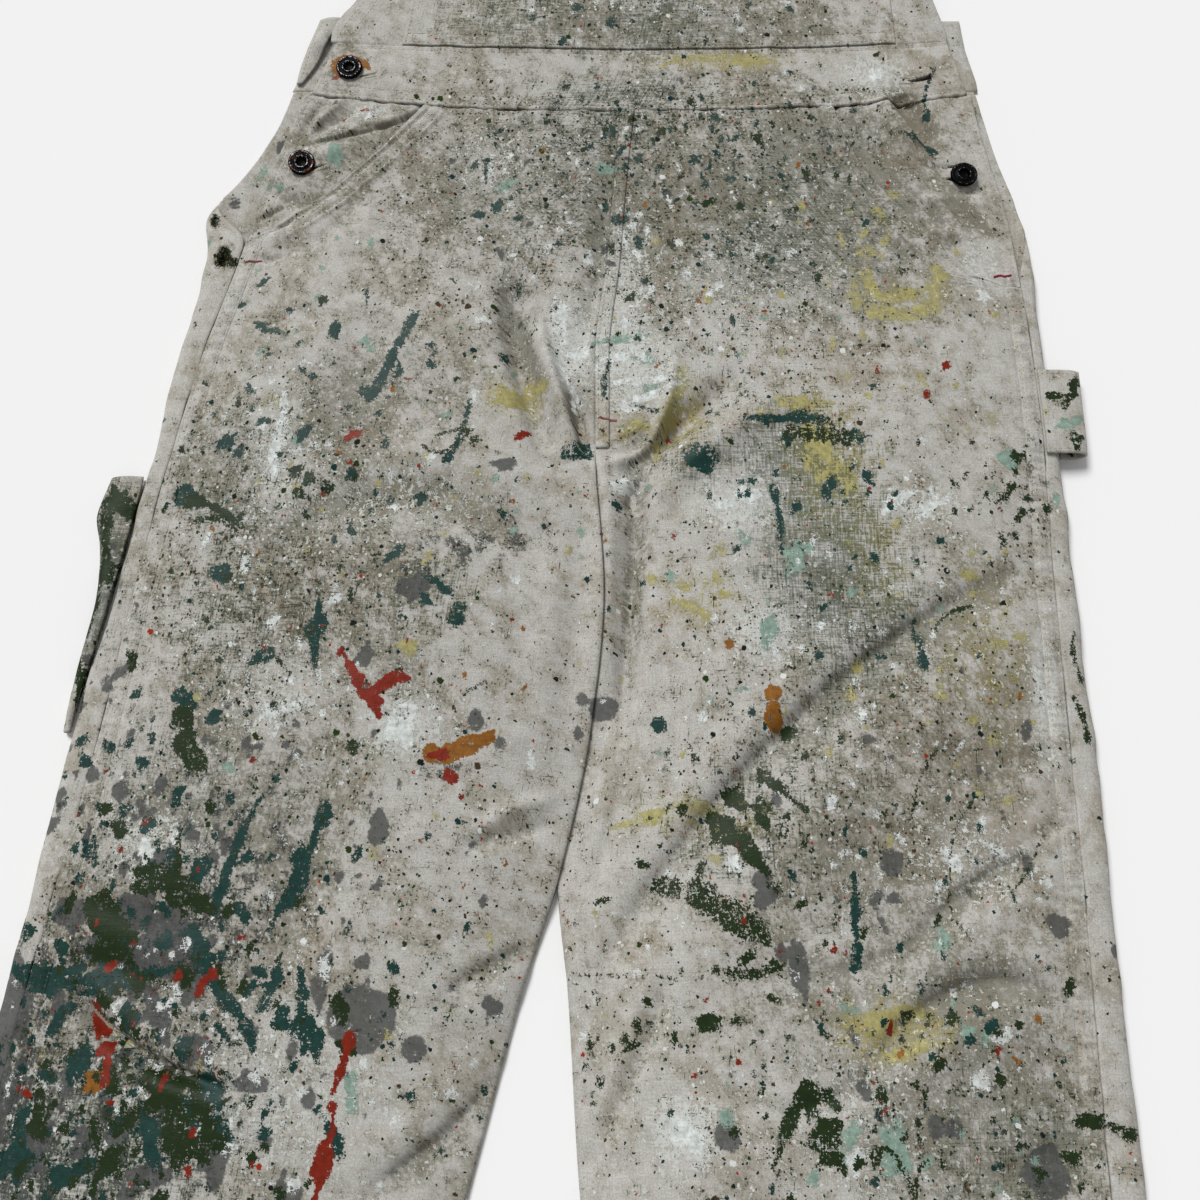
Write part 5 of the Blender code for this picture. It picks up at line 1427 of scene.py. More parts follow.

# %% Rubbed patches, and painted shade along folds
RUBBED = {
    # x, y, long, wide, turn, strength
    "grime_and_painted_shade": [
        # Painted shade: (196, 319), (161, 300), (20, 20), (-15, 108), (-42, 150), (190, 256) and (235, 248)
        # are narrow dark strips along crease troughs and in the groove beside the right pocket's edge.
        (196, 319, 46, 7, -58, 1.0), (161, 300, 96, 3.6, -50, 0.8), (20, 20, 120, 12, 88, 0.3),
        (-15, 108, 40, 5, -75, 1.0), (-42, 150, 90, 9, -68, 0.7),
        (190, 256, 60, 3.6, -50, 0.8), (0, 352, 420, 8, 0, 0.3), (235, 248, 34, 8, -55, 0.8),
        (30, 290, 300, 110, 0, 0.40), (124, 250, 200, 130, 0, 0.52), (-60, 240, 160, 120, 0, 0.35),
        (-170, 20, 190, 200, 0, 0.4), (-200, 90, 110, 60, 10, 0.4), (170, -60, 180, 190, 0, 0.32),
        (140, -140, 170, 110, 20, 0.40), (-250, -210, 150, 150, 0, 0.42), (60, 410, 260, 80, 0, 0.55),
        (200, -280, 150, 120, 0, 0.55), (130, 190, 150, 70, 0, 0.36), (-190, -130, 130, 120, 0, 0.45),
        (30, 210, 60, 240, 0, 0.4),
        (-190, 320, 110, 130, 0, 0.32), (20, 381, 400, 34, 0, 0.34), (140, -215, 160, 70, 0, 0.3),
        (170, 300, 130, 90, 0, 0.3), (60, -340, 120, 100, 0, 0.2), (-120, -330, 120, 90, 0, 0.25),
        (-100, 130, 120, 60, 0, 0.3), (140, -480, 200, 240, 0, 0.3), (-260, -470, 200, 260, 0, 0.35),
        (20, 300, 520, 170, 0, 0.22), (-170, 40, 240, 420, 0, 0.25), (200, 0, 170, 460, 0, 0.25),
        (-250, -230, 190, 240, 0, 0.42), (170, -250, 230, 180, 0, 0.3), (-80, -240, 120, 160, 0, 0.2),
    ],
    "warm": [
        # Painted shade: (200, 318), (207, 314), (10, 100), (56, 112), (-46, 140) and (205, 316) are brown
        # strips along the folds at the right hip and round the fly.
        (200, 318, 48, 9, -58, 1.0), (207, 314, 44, 14, -58, 0.7), (10, 100, 60, 8, 14, 0.6),
        (56, 112, 44, 12, 42, 0.7), (-46, 140, 70, 9, -66, 0.6),
        (190, -110, 120, 150, 10, 0.6), (225, -130, 40, 30, 10, 0.6), (50, 240, 30, 160, 0, 0.5),
        (-170, -10, 140, 160, 0, 0.4), (40, -20, 26, 60, 10, 0.5), (20, -196, 40, 30, 0, 0.4),
        (214, 350, 60, 90, 0, 0.3), (198, 290, 30, 24, 10, 0.9), (205, 316, 22, 36, -30, 0.95),
        (-160, -190, 60, 50, 0, 0.5),
        (160, 150, 120, 60, 0, 0.4), (250, -260, 40, 60, 0, 0.5), (-120, 90, 80, 30, 0, 0.4),
    ],
    "green_rub": [
        (132, 20, 92, 150, 8, 0.72), (108, 90, 70, 60, 0, 0.5), (56, 78, 44, 36, 0, 0.5),
        (130, 250, 120, 90, 0, 0.42), (40, 395, 60, 60, 0, 0.5), (-60, 400, 110, 50, 0, 0.4),
        (-200, -20, 110, 90, 30, 0.4), (-226, 52, 60, 26, -20, 0.55), (0, 320, 90, 50, 0, 0.45),
        (-240, -110, 90, 70, 0, 0.3), (84, -130, 80, 70, 0, 0.35), (-100, 0, 60, 44, 20, 0.45),
        (30, 340, 160, 20, 0, 0.35), (-290, 20, 40, 120, 0, 0.8), (94, 210, 70, 60, 0, 0.4),
        (216, -300, 90, 60, 0, 0.35), (-20, 250, 60, 80, 0, 0.3), (-220, -280, 140, 80, 0, 0.4),
        (-280, -300, 140, 90, 0, 0.5),
    ],
    "slate_rub": [
        (-244, -196, 100, 60, 10, 0.58), (-310, -240, 50, 110, 0, 0.5), (-190, -150, 80, 90, 40, 0.4),
        (-95, 20, 70, 40, 20, 0.3), (200, -70, 60, 60, 0, 0.25), (144, 300, 60, 30, 0, 0.35),
        (-90, -96, 40, 24, 0, 0.4), (-60, 30, 80, 30, 10, 0.3), (260, 60, 30, 120, 0, 0.3),
        (-300, -310, 110, 90, 0, 0.55), (-214, -290, 90, 70, 0, 0.4),
    ],
    "yellow_rub": [
        (188, 188, 56, 36, 10, 0.42), (130, 80, 60, 100, 0, 0.6), (50, 110, 30, 60, 0, 0.5),
        (150, -238, 70, 40, 0, 0.6), (-50, 122, 50, 30, 0, 0.5), (80, 362, 110, 20, 0, 0.5),
        (60, -4, 60, 40, 0, 0.4), (160, 20, 40, 70, 0, 0.5), (60, -126, 90, 30, 0, 0.4),
        (20, 105, 50, 30, 0, 0.4), (220, -40, 70, 100, 0, 0.35), (-150, 60, 120, 60, 0, 0.25),
    ],
    "white_rub": [
        (-20, 160, 30, 60, 0, 0.7), (-190, 90, 40, 80, 0, 0.5), (80, 52, 50, 40, 0, 0.6),
        (92, -24, 40, 34, 0, 0.7), (190, 50, 50, 30, 0, 0.5), (-150, 324, 26, 16, 0, 0.5),
        (236, 208, 24, 60, 0, 0.5), (-180, -60, 70, 50, 20, 0.5), (-110, -78, 50, 40, 0, 0.6),
        (15, 200, 30, 100, 0, 0.5), (-245, -140, 60, 50, 0, 0.5), (200, -150, 80, 50, 0, 0.4),
        (250, -60, 20, 80, 0, 0.6), (44, -286, 40, 40, 0, 0.7), (-60, 290, 90, 50, 0, 0.4),
        (180, 352, 50, 30, 0, 0.6), (130, -280, 90, 80, 0, 0.35), (-160, -260, 110, 90, 0, 0.4),
        (80, 190, 120, 70, 0, 0.3), (-130, 60, 140, 60, 0, 0.35), (20, 140, 60, 60, 0, 0.6),
    ],
    "flakes": [
        (30, 300, 320, 120, 0, 0.7), (100, 180, 200, 160, 0, 0.55), (-190, 30, 160, 220, 0, 0.75),
        (-260, -220, 160, 220, 0, 0.85), (-60, 230, 160, 160, 0, 0.5), (130, -90, 200, 200, 0, 0.5),
        (-110, -180, 200, 260, 0, 0.35), (190, -280, 180, 130, 0, 0.55), (50, 410, 280, 80, 0, 0.6),
        (-240, 250, 80, 160, 20, 0.3), (60, -290, 140, 120, 0, 0.35), (-260, -480, 220, 300, 0, 0.5),
        (140, -480, 240, 300, 0, 0.4), (0, 40, 500, 500, 0, 0.25), (-140, -560, 300, 160, 0, 0.3),
        (-270, -290, 160, 120, 0, 0.6),
    ],
    "chalk": [
        (20, 200, 320, 300, 0, 0.55), (-180, 60, 180, 260, 0, 0.55), (160, -60, 220, 300, 0, 0.5),
        (-200, -180, 240, 260, 0, 0.5), (120, -280, 280, 140, 0, 0.5), (0, -400, 640, 500, 0, 0.35),
    ],
}
for layer, marks in RUBBED.items():
    for mark in marks:
        rub(layer, *mark)

# %% Flung drops
BURSTS = {
    # x, y, long, wide, turn, count, small, large
    "slate": [
        (-260, -180, 150, 260, 0, 110, 2, 10), (-130, -200, 220, 300, 0, 60, 2, 9),
        (0, 260, 440, 200, 0, 60, 1.6, 6), (170, -160, 220, 320, 0, 60, 1.6, 7),
        (-240, -460, 260, 400, 0, 80, 2, 12), (-282, -40, 60, 200, 0, 26, 2, 7),
        (-250, -260, 180, 150, 0, 150, 2, 8), (-200, -120, 140, 120, 0, 60, 2, 8),
    ],
    "mint": [
        (60, 120, 340, 300, 0, 42, 2, 8), (-170, 160, 200, 240, 0, 23, 2, 7),
        (150, -270, 240, 160, 0, 28, 2, 9),
    ],
    "yellow": [
        (130, 160, 240, 240, 0, 90, 1.6, 7), (190, -60, 160, 260, 0, 55, 1.6, 7),
        (-130, 60, 240, 200, 0, 50, 1.5, 6), (60, -30, 200, 160, 0, 30, 1.5, 6),
        (-80, -260, 400, 300, 0, 40, 1.5, 6),
    ],
    "white": [
        (20, 200, 360, 300, 0, 230, 1.3, 6), (-170, 0, 240, 360, 0, 170, 1.3, 6),
        (150, -100, 260, 400, 0, 200, 1.3, 6), (-140, -250, 360, 220, 0, 120, 1.3, 7),
        (0, -480, 700, 400, 0, 200, 1.4, 7), (50, 410, 320, 90, 0, 70, 1.3, 5),
        (-240, -250, 160, 160, 0, 110, 1.5, 6),
    ],
    "ochre": [
        (60, 200, 400, 300, 0, 30, 1.3, 3.4), (-120, -60, 340, 400, 0, 30, 1.3, 3.4),
        (150, -220, 240, 240, 0, 24, 1.3, 3.8),
    ],
    "teal": [
        (60, 270, 300, 160, 0, 170, 1.4, 7), (-150, 90, 240, 200, 0, 120, 1.4, 7),
        (100, 60, 200, 200, 0, 100, 1.3, 6), (-250, -170, 150, 240, 0, 190, 1.6, 9),
        (160, -180, 240, 300, 0, 90, 1.3, 6), (-110, -200, 200, 300, 0, 70, 1.3, 6),
        (50, 410, 280, 70, 0, 60, 1.4, 6), (-130, -480, 400, 400, 0, 120, 1.6, 8),
        (-260, -270, 170, 140, 0, 150, 1.8, 8), (40, 300, 280, 70, 0, 70, 1.5, 5),
    ],
    "forest": [
        (60, 260, 300, 180, 0, 160, 1.3, 6), (-200, -10, 160, 260, 0, 120, 1.3, 7),
        (90, -140, 120, 120, -40, 90, 1.2, 5), (-240, -240, 160, 200, 0, 150, 1.6, 9),
        (180, -280, 200, 120, 0, 110, 1.3, 7), (30, -230, 140, 120, 0, 45, 1.2, 5),
        (230, 60, 60, 80, 30, 50, 1.3, 6), (130, -480, 360, 400, 0, 110, 1.4, 7),
        (-250, -290, 170, 110, 0, 90, 1.8, 8), (40, 310, 260, 60, 0, 60, 1.4, 5),
    ],
    "red": [
        (-130, 20, 260, 300, 0, 34, 1.2, 3.4), (140, 120, 260, 300, 0, 34, 1.2, 3.2),
        (90, -210, 240, 200, 0, 26, 1.2, 3.4), (-240, -220, 140, 200, 0, 26, 1.6, 5),
    ],
}
for ink, marks in BURSTS.items():
    for mark in marks:
        burst(ink, *mark)
print("patches of drops", sum(len(marks) for marks in BURSTS.values()))


# %% Reading the chart
def read_chart(layer, x, y):
    """The layer's value at each point, blended between the four nearest cells."""
    u, v = (x - CHART_X[0]) / CELL - 0.5, (y - CHART_Y[0]) / CELL - 0.5
    u, v = np.clip(u, 0, chart_shape[1] - 1.001), np.clip(v, 0, chart_shape[0] - 1.001)
    column, row = u.astype(int), v.astype(int)
    fu, fv = u - column, v - row
    values = chart[layer]
    low = values[row, column] * (1 - fu) + values[row, column + 1] * fu
    high = values[row + 1, column] * (1 - fu) + values[row + 1, column + 1] * fu
    return low * (1 - fv) + high * fv

# %% [markdown]
# ## Holes and slits
#
# The back has torn at the left hip, and the buttonholes are real slits. A cutter with the opening's
# outline takes the upper cloth away, and what lies under it shows through. Behind the two torn holes
# the chart has near-black paint on the layer below: painted shade, standing in for the dark inside the
# holes, as that layer would look pale without it.

# %% Cutting openings
HOLES = {
    "cloth_back_leg_left": [
        [(-241.6, 216.5), (-240.6, 218.5), (-241, 221), (-239.4, 223.5), (-238.5, 226), (-235.5, 227.6),
         (-233.5, 226.2), (-234, 222.5), (-232.5, 219.5), (-229.5, 219.2), (-227.2, 218), (-227.4, 213.4),
         (-230.5, 214.4), (-233, 215), (-235, 213), (-237, 213.4), (-239.5, 213), (-241, 214.6)],
        [
            (-246.4, 247), (-245.2, 251.5), (-243, 251), (-241.8, 247.5), (-241.4, 244), (-243, 242),
            (-245.4, 244)
        ],
    ],
    "cloth_waistband": [
        [(200, 347.6), (204, 348.3), (209, 349.7), (213, 351.2), (216, 353.6), (217, 351), (216, 348.7),
         (211, 347.2), (206, 346.4), (202, 346.8)],
        [(-157, 351.4), (-151, 351.6), (-146.5, 352.4), (-151, 350.8), (-157, 349.2)],
    ],
    "cloth_hip_left": [[(-184, 283.5), (-179.5, 283.3), (-175, 284.2), (-179.5, 282.3), (-184, 279.6)]],
    "cloth_hip_right": [
        [(225.5, 276.2), (219.5, 273.6), (225.5, 271.6)],
        [(220, 283.0), (225, 284.7), (230, 284.6), (225, 283.2)],
    ],
}
HOLE_HEIGHTS = (2.4, 30)  # from over the layer on the floor to above all cloth


def cut_openings(name):
    """Takes prisms with the outlines of a piece's openings out of its upper cloth."""
    thing, low, high = shells[name].thing, *HOLE_HEIGHTS
    points, faces = [], []
    for outline in HOLES[name]:
        plan = np.array(outline, float)
        nxt = np.roll(plan, -1, 0)
        if (plan[:, 0] * nxt[:, 1] - nxt[:, 0] * plan[:, 1]).sum() < 0:
            plan = plan[::-1]
        ring = sum(len(part) for part in points) + np.arange(len(plan))
        points += [np.c_[plan, np.full(len(plan), low)], np.c_[plan, np.full(len(plan), high)]]
        above = ring + len(plan)
        faces += [ring[::-1].tolist(), above.tolist()] + link_rings(ring, above).tolist()
    prism = bpy.data.meshes.new("prism")
    prism.from_pydata(place(np.concatenate(points)).tolist(), [], faces)
    cutter = bpy.data.objects.new("cutter", prism)
    bpy.context.scene.collection.objects.link(cutter)
    taken = thing.modifiers.new("openings", "BOOLEAN")
    taken.operation, taken.solver, taken.object = "DIFFERENCE", "MANIFOLD", cutter
    whole = thing.evaluated_get(bpy.context.evaluated_depsgraph_get())
    mesh = bpy.data.meshes.new_from_object(whole)
    mesh.materials.clear()
    thing.modifiers.clear()
    thing.data = mesh
    bpy.data.objects.remove(cutter)

# %% [markdown]
# ## Old drill, and the paint on it
#
# Cotton drill is a heavy twill: matt, pale, and warmer where it's worn dirty. Rubbed paint only catches
# the raised threads, so it shows as a fine cross-hatch, while a splash fills the weave and dries with a
# slight shine. Everything is mixed from noise at the size of threads, flakes and stains. The chart's
# attributes say where each paint is, and thresholds on them draw crisp, ragged edges. The grime and warm
# layers also carry painted shade: dark strips along folds and darkening in crease troughs.

# %% Looks of the paint
INK_LOOKS = {
    # colour, raggedness of the edge (mm), share worn through, roughness, softness of the edge (mm)
    "slate": ("4a4b4a", 1.1, 0.06, 0.85, 0.45),
    "mint": ("80978a", 2.0, 0.44, 0.75, 0.2),
    "yellow": ("a19a66", 2.6, 0.60, 0.75, 0.3),
    "white": ("cacecb", 2.4, 0.42, 0.65, 0.2),
    "ochre": ("80521a", 1.2, 0.16, 0.6, 0.2),
    "teal": ("11322d", 1.7, 0.27, 0.5, 0.14),
    "forest": ("142406", 1.8, 0.28, 0.5, 0.14),
    "red": ("741f0c", 1.2, 0.14, 0.5, 0.14),
}
DROP_TINTS = [
    (0.0, "161a17"), (0.3, "12302f"), (0.52, "22340f"), (0.7, "3f3326"), (0.86, "cfd2cf"),
    (0.96, "8e2c14")
]
DROP_SIZES = [
    # cell in mm, smallest and largest radius as shares of it, most cells filled
    (2.2, 0.10, 0.32, 0.34), (5.5, 0.06, 0.20, 0.4), (14, 0.04, 0.13, 0.5)
]
Flake = namedtuple("Flake", "layer noise clumping tone scarce dense strength")
FLAKES = [
    Flake("chalk", "patch", 0.5, "c3c4bd", 0.70, 0.61, 0.6),
    Flake("chalk", "chip", 0.3, "d6d7d1", 0.76, 0.65, 0.75),
    Flake("flakes", "flake", 0.5, "22281f", 0.76, 0.62, 0.8),
    Flake("flakes", "chip", 0.4, "37301f", 0.76, 0.63, 0.75),
    Flake("flakes", "warp", 0.3, "2b3128", 0.80, 0.66, 0.75),
    Flake("flakes", "weft", 0.3, "30342c", 0.82, 0.67, 0.75),
]
RubLook = namedtuple("RubLook", "layer tone strength soft stain mottle patch flake weave")
RUB_LOOKS = [
    # The grime and warm looks also colour the painted shade that the chart lays along folds and in crease
    # troughs.
    RubLook("warm", "877258", 0.45, 0.35, 0.0, 1.6, 0.0, 0.6, 0.0),
    RubLook("grime_and_painted_shade", "78725f", 0.47, 0.40, 0.6, 1.3, 0.8, 0.0, 0.6),
    RubLook("grime_and_painted_shade", "484938", 0.40, 0.11, 0.8, 1.1, 1.3, 1.0, 0.8),
    RubLook("slate_rub", "4a4c4c", 0.85, 0.09, 0.0, 1.8, 1.0, 0.9, 0.6),
    RubLook("yellow_rub", "a39754", 0.70, 0.10, 0.0, 1.2, 0.8, 1.2, 1.6),
    RubLook("green_rub", "36463a", 0.66, 0.22, 0.0, 0.8, 0.4, 0.6, 3.2),
    RubLook("white_rub", "c6c9c4", 0.80, 0.06, 0.0, 1.0, 1.8, 1.6, 1.0),
]


# %% Coats, noise and drops
def paint_over(tree, colour, value, edge, soft, strength, dye):
    """A coat that shows where the value passes an edge; gives the new colour and the coat's mask."""
    ends = {"From_Min": edge - soft, "From_Max": edge + soft}
    mask = add(tree, "MapRange", Value=value, To_Max=strength, **ends).outputs[0]
    mix = add(tree, "Mix", {"data_type": "RGBA"}, Factor=mask, _6=colour, _7=dye)
    return mix.outputs[2], mask


def noise_fields(tree, coords, grain):
    """Noise at six sizes in millimetres, and two runs of threads, named for what they make."""
    sizes = {
        "stain": (45, 3), "mottle": (10, 6), "patch": (3.4, 4), "flake": (1.9, 3), "chip": (1.3, 2),
        "thread": (0.9, 1)
    }
    noise = {}
    for turn, (key, (size, detail)) in enumerate(sizes.items()):
        moved = add(tree, "Mapping", Vector=coords, Location=(0.37 * turn, 0.61 * turn, 0)).outputs[0]
        settings = {"noise_dimensions": "2D"}
        texture = add(
            tree, "TexNoise", settings, Vector=moved, Scale=1000 / size, Detail=float(detail), Roughness=0.62
        )
        noise[key] = texture.outputs["Fac"]
    # Threads are half a millimetre apart; they're drawn 1.1 mm apart, or they wouldn't show.
    for key, across, along in (("warp", 1.1, 13), ("weft", 13, 1.1)):
        stretched = add(tree, "Mapping", Vector=grain, Scale=(1000 / across, 1000 / along, 1)).outputs[0]
        settings = {"noise_dimensions": "2D"}
        noise[key] = add(
            tree, "TexNoise", settings, Vector=stretched, Scale=1.0, Detail=2.0, Roughness=0.6
        ).outputs["Fac"]
    noise["weave"] = add(
        tree, "Mix", {"data_type": "FLOAT"}, Factor=0.5, _2=noise["warp"], _3=noise["weft"]
    ).outputs[0]
    return noise


def add_noise(tree, start, noise, weights):
    """start + the sum of weight * (noise - 1/2)."""
    weights = {key: weight for key, weight in weights.items() if weight}
    for key, weight in weights.items():
        start = add(
            tree, "Math", {"operation": "MULTIPLY_ADD"}, _0=noise[key], _1=weight, _2=start
        ).outputs[0]
    return add(tree, "Math", {"operation": "SUBTRACT"}, _0=start, _1=sum(weights.values()) / 2).outputs[0]


def flung_drops(tree, colour, coords, size, low, high, density):
    """Round drops: cells of `size` mm, each with its own radius and tint, kept where chance < density."""
    cells = add(tree, "TexVoronoi", {"voronoi_dimensions": "2D"}, Vector=coords, Scale=1000 / size)
    parts = add(tree, "SeparateColor", Color=cells.outputs["Color"])
    radius = add(tree, "MapRange", Value=parts.outputs[0], To_Min=low, To_Max=high).outputs[0]
    kept = add(tree, "Math", {"operation": "LESS_THAN"}, _0=parts.outputs[1], _1=density).outputs[0]
    reach = add(tree, "Math", {"operation": "MULTIPLY"}, _0=radius, _1=kept).outputs[0]
    inside = add(tree, "Math", {"operation": "SUBTRACT"}, _0=reach, _1=cells.outputs["Distance"]).outputs[0]
    ramp = add(tree, "ValToRGB", Fac=parts.outputs[2])
    ramp.color_ramp.interpolation = "CONSTANT"
    for stop, (position, tone) in enumerate(DROP_TINTS):
        element = ramp.color_ramp.elements[stop] if stop < 2 else ramp.color_ramp.elements.new(position)
        element.position = position
        element.color = tint(tone)
    return paint_over(tree, colour, inside, 0.0, 0.01, 1.0, ramp.outputs["Color"])[0]


# %% Cotton drill, step by step
def washed_cloth(tree, noise, washed, sat_in):
    """Clean cloth: grey where it's washed, browner where it's been sat in, threads lighter and darker."""
    colour, _ = paint_over(tree, tint(washed), noise["mottle"], 0.52, 0.16, 0.8, tint(sat_in))
    stains = add_noise(tree, noise["stain"], noise, {"mottle": 0.5, "patch": 0.3})
    colour, _ = paint_over(tree, colour, stains, 0.56, 0.07, 0.45, tint("968c7a"))
    threads = add_noise(tree, noise["thread"], noise, {"weave": 1.3})
    shade = add(
        tree, "MapRange", Value=threads, From_Min=0.3, From_Max=0.7, To_Min=0.85, To_Max=1.12
    ).outputs[0]
    return add(tree, "VectorMath", {"operation": "SCALE"}, _0=colour, Scale=shade).outputs[0]


def rubs_flakes_and_drops(tree, colour, fields, noise, coords):
    """Paint and grime rubbed into the threads, with painted shade along folds, then flakes where they are
    dense, and three sizes of flung drops.
    """
    for look in RUB_LOOKS:
        weights = {key: getattr(look, key) for key in look._fields[4:]}
        broken = add_noise(tree, fields[look.layer], noise, weights)
        colour, _ = paint_over(tree, colour, broken, 0.5, look.soft, look.strength, tint(look.tone))
    for flake in FLAKES:
        threshold = add(
            tree, "MapRange", Value=fields[flake.layer], To_Min=flake.scarce, To_Max=flake.dense
        ).outputs[0]
        clumped = add_noise(tree, noise[flake.noise], noise, {"mottle": flake.clumping})
        over = add(tree, "Math", {"operation": "SUBTRACT"}, _0=clumped, _1=threshold).outputs[0]
        colour, _ = paint_over(tree, colour, over, 0.008, 0.008, flake.strength, tint(flake.tone))
    uneven = add(tree, "Mix", {"data_type": "VECTOR"}, Factor=0.0022, _4=coords, _5=noise["flake"]).outputs[1]
    thrown = add_noise(tree, fields["flakes"], noise, {"stain": 1.2, "mottle": 1.2})
    for size, low, high, share in DROP_SIZES:
        density = add(
            tree, "MapRange", Value=thrown, From_Min=0.15, From_Max=1.0, To_Min=0.02, To_Max=share
        ).outputs[0]
        colour = flung_drops(tree, colour, uneven, size, low, high, density)
    return colour


def brush_inks(tree, colour, fields, noise):
    """Each ink shows inside its ragged outline, except where it has worn through to the cloth."""
    thickness, roughness = 0.0, 0.95
    wear = add_noise(tree, noise["mottle"], noise, {"flake": 0.9, "weave": 0.9})
    shade = add(
        tree, "MapRange", Value=noise["patch"], From_Min=0.3, From_Max=0.7, To_Min=0.72, To_Max=1.22
    ).outputs[0]
    for ink, (tone, ragged, worn, matt, soft) in INK_LOOKS.items():
        edge = add_noise(tree, fields[ink], noise, {"flake": ragged * 3, "thread": ragged * 1.2})
        left = add(
            tree, "Math", {"operation": "MULTIPLY_ADD"}, _0=wear, _1=-20.0, _2=20 * (0.80 - 0.42 * worn)
        ).outputs[0]
        value = add(tree, "Math", {"operation": "MINIMUM"}, _0=edge, _1=left).outputs[0]
        dye = add(tree, "VectorMath", {"operation": "SCALE"}, _0=tint(tone)[:3], Scale=shade).outputs[0]
        colour, mask = paint_over(tree, colour, value, 0.0, soft, 0.88 if ink == "slate" else 1.0, dye)
        roughness = add(tree, "Mix", {"data_type": "FLOAT"}, Factor=mask, _2=roughness, _3=matt).outputs[0]
        if ink != "slate":
            thickness = add(tree, "Math", {"operation": "MAXIMUM"}, _0=thickness, _1=mask).outputs[0]
    return colour, roughness, thickness


def drill(name, washed="b7b5af", sat_in="a8a59c"):
    """Cotton drill under years of paint; the chart's layers come in as attributes."""
    material, tree, shader = new_material(name)
    # Flat noise is quick; tipping its plane keeps it from smearing down the rolled sides.
    coords = add(
        tree, "Mapping", Vector=add(tree, "TexCoord").outputs["Object"], Rotation=(0.45, 0.35, 0)
    ).outputs[0]
    grain = add(tree, "UVMap", {"uv_map": "grain"}).outputs[0]
    fields = {}
    for group, layers in GROUPS.items():
        source = add(tree, "Attribute", {"attribute_name": group})
        parts = add(tree, "SeparateColor", Color=source.outputs["Color"])
        fields.update(zip(layers, list(parts.outputs[:3]) + [source.outputs["Alpha"]]))
    noise = noise_fields(tree, coords, grain)
    colour = washed_cloth(tree, noise, washed, sat_in)
    colour = rubs_flakes_and_drops(tree, colour, fields, noise, coords)
    colour, roughness, thickness = brush_inks(tree, colour, fields, noise)

    # Threads and mottling stand 0.1 mm proud, and a coat of paint 0.25 mm more.
    cloth = add_noise(tree, noise["flake"], noise, {"weave": 1.3})
    relief = add(tree, "Math", {"operation": "MULTIPLY_ADD"}, _0=thickness, _1=1.1, _2=cloth).outputs[0]
    bump = add(tree, "Bump", Strength=0.6, Distance=0.00022, Height=relief)
    feed(tree, shader, Base_Color=colour, Roughness=roughness)
    feed(tree, shader, Normal=bump.outputs[0], Specular_IOR_Level=0.15)
    return material


# %% Every piece reads the chart
GROUPS = {
    "ink_a": ("teal", "forest", "red", "slate"),
    "ink_b": ("yellow", "white", "mint", "ochre"),
    "rub_a": ("grime_and_painted_shade", "green_rub", "white_rub", "yellow_rub"),
    "rub_b": ("slate_rub", "warm", "flakes", "chalk"),
}
# How much of the chart's rubbed dirt, and of the painted shade laid with it, a piece has; pieces that are
# turned away are cleaner.
CLEANER = {"cloth_back_leg": 0.45, "cloth_waistband_back": 0.2, "cloth_placket": 0.4, "strap_cloth": 0.7}


def at_vertices(mesh, what):
    """A vector at each vertex: its place, co, in metres, or its normal."""
    values = np.empty(len(mesh.vertices) * 3)
    mesh.vertices.foreach_get(what, values)
    return values.reshape(-1, 3)


def keep_values(mesh, name, values):
    """Four values at each vertex, kept as a colour attribute for the material."""
    stored = mesh.color_attributes.new(name, "FLOAT_COLOR", "POINT")
    stored.data.foreach_set("color", values.astype(np.float32).ravel())


def soil(thing, share):
    """Keeps the chart's layers as point attributes, plus painted shade in crease troughs; a face that looks
    down reads the chart mirrored.
    """
    mesh = thing.data
    x, y, _ = ((at_vertices(mesh, "co") - OFFSET) / MM).T
    x = np.where(at_vertices(mesh, "normal")[:, 2] < -0.5, 2 * inner_line("left", y) - x, x)
    # Painted shade: the deeper a crease's trough, the more grime colour it gets, up to 0.3, standing in for
    # the shade in the fold.
    hollow = np.clip(-crease_height(x, y) / 9, 0, 0.3)
    for group, layers in GROUPS.items():
        values = np.stack([read_chart(layer, x, y) for layer in layers], 1)
        if group.startswith("rub"):
            values = values * share
        if group == "rub_a":
            values[:, 0] += hollow
        keep_values(mesh, group, values)


def grain_map(name):
    """A UV map in metres along the weave: the length of the grid's rows and columns as they are laid."""
    shell = shells[name]
    mesh = shell.thing.data
    rows, columns = shell.grid.shape[:2]
    middle = shell.grid[:, columns // 2]
    along = np.concatenate([[0], np.cumsum(np.linalg.norm(np.diff(middle, axis=0), axis=1))])
    steps = np.linalg.norm(np.diff(shell.grid, axis=1), axis=2)
    across = np.concatenate([np.zeros((rows, 1)), np.cumsum(steps, axis=1)], 1)
    outer = np.stack([across, np.broadcast_to(along[:, None], across.shape)], -1).reshape(-1, 2) * MM
    flat = (at_vertices(mesh, "co") - OFFSET)[:, :2]
    flat[: len(outer)] = outer
    corners = np.empty(len(mesh.loops), int)
    mesh.loops.foreach_get("vertex_index", corners)
    mesh.uv_layers.new(name="grain").data.foreach_set("uv", flat[corners].ravel())


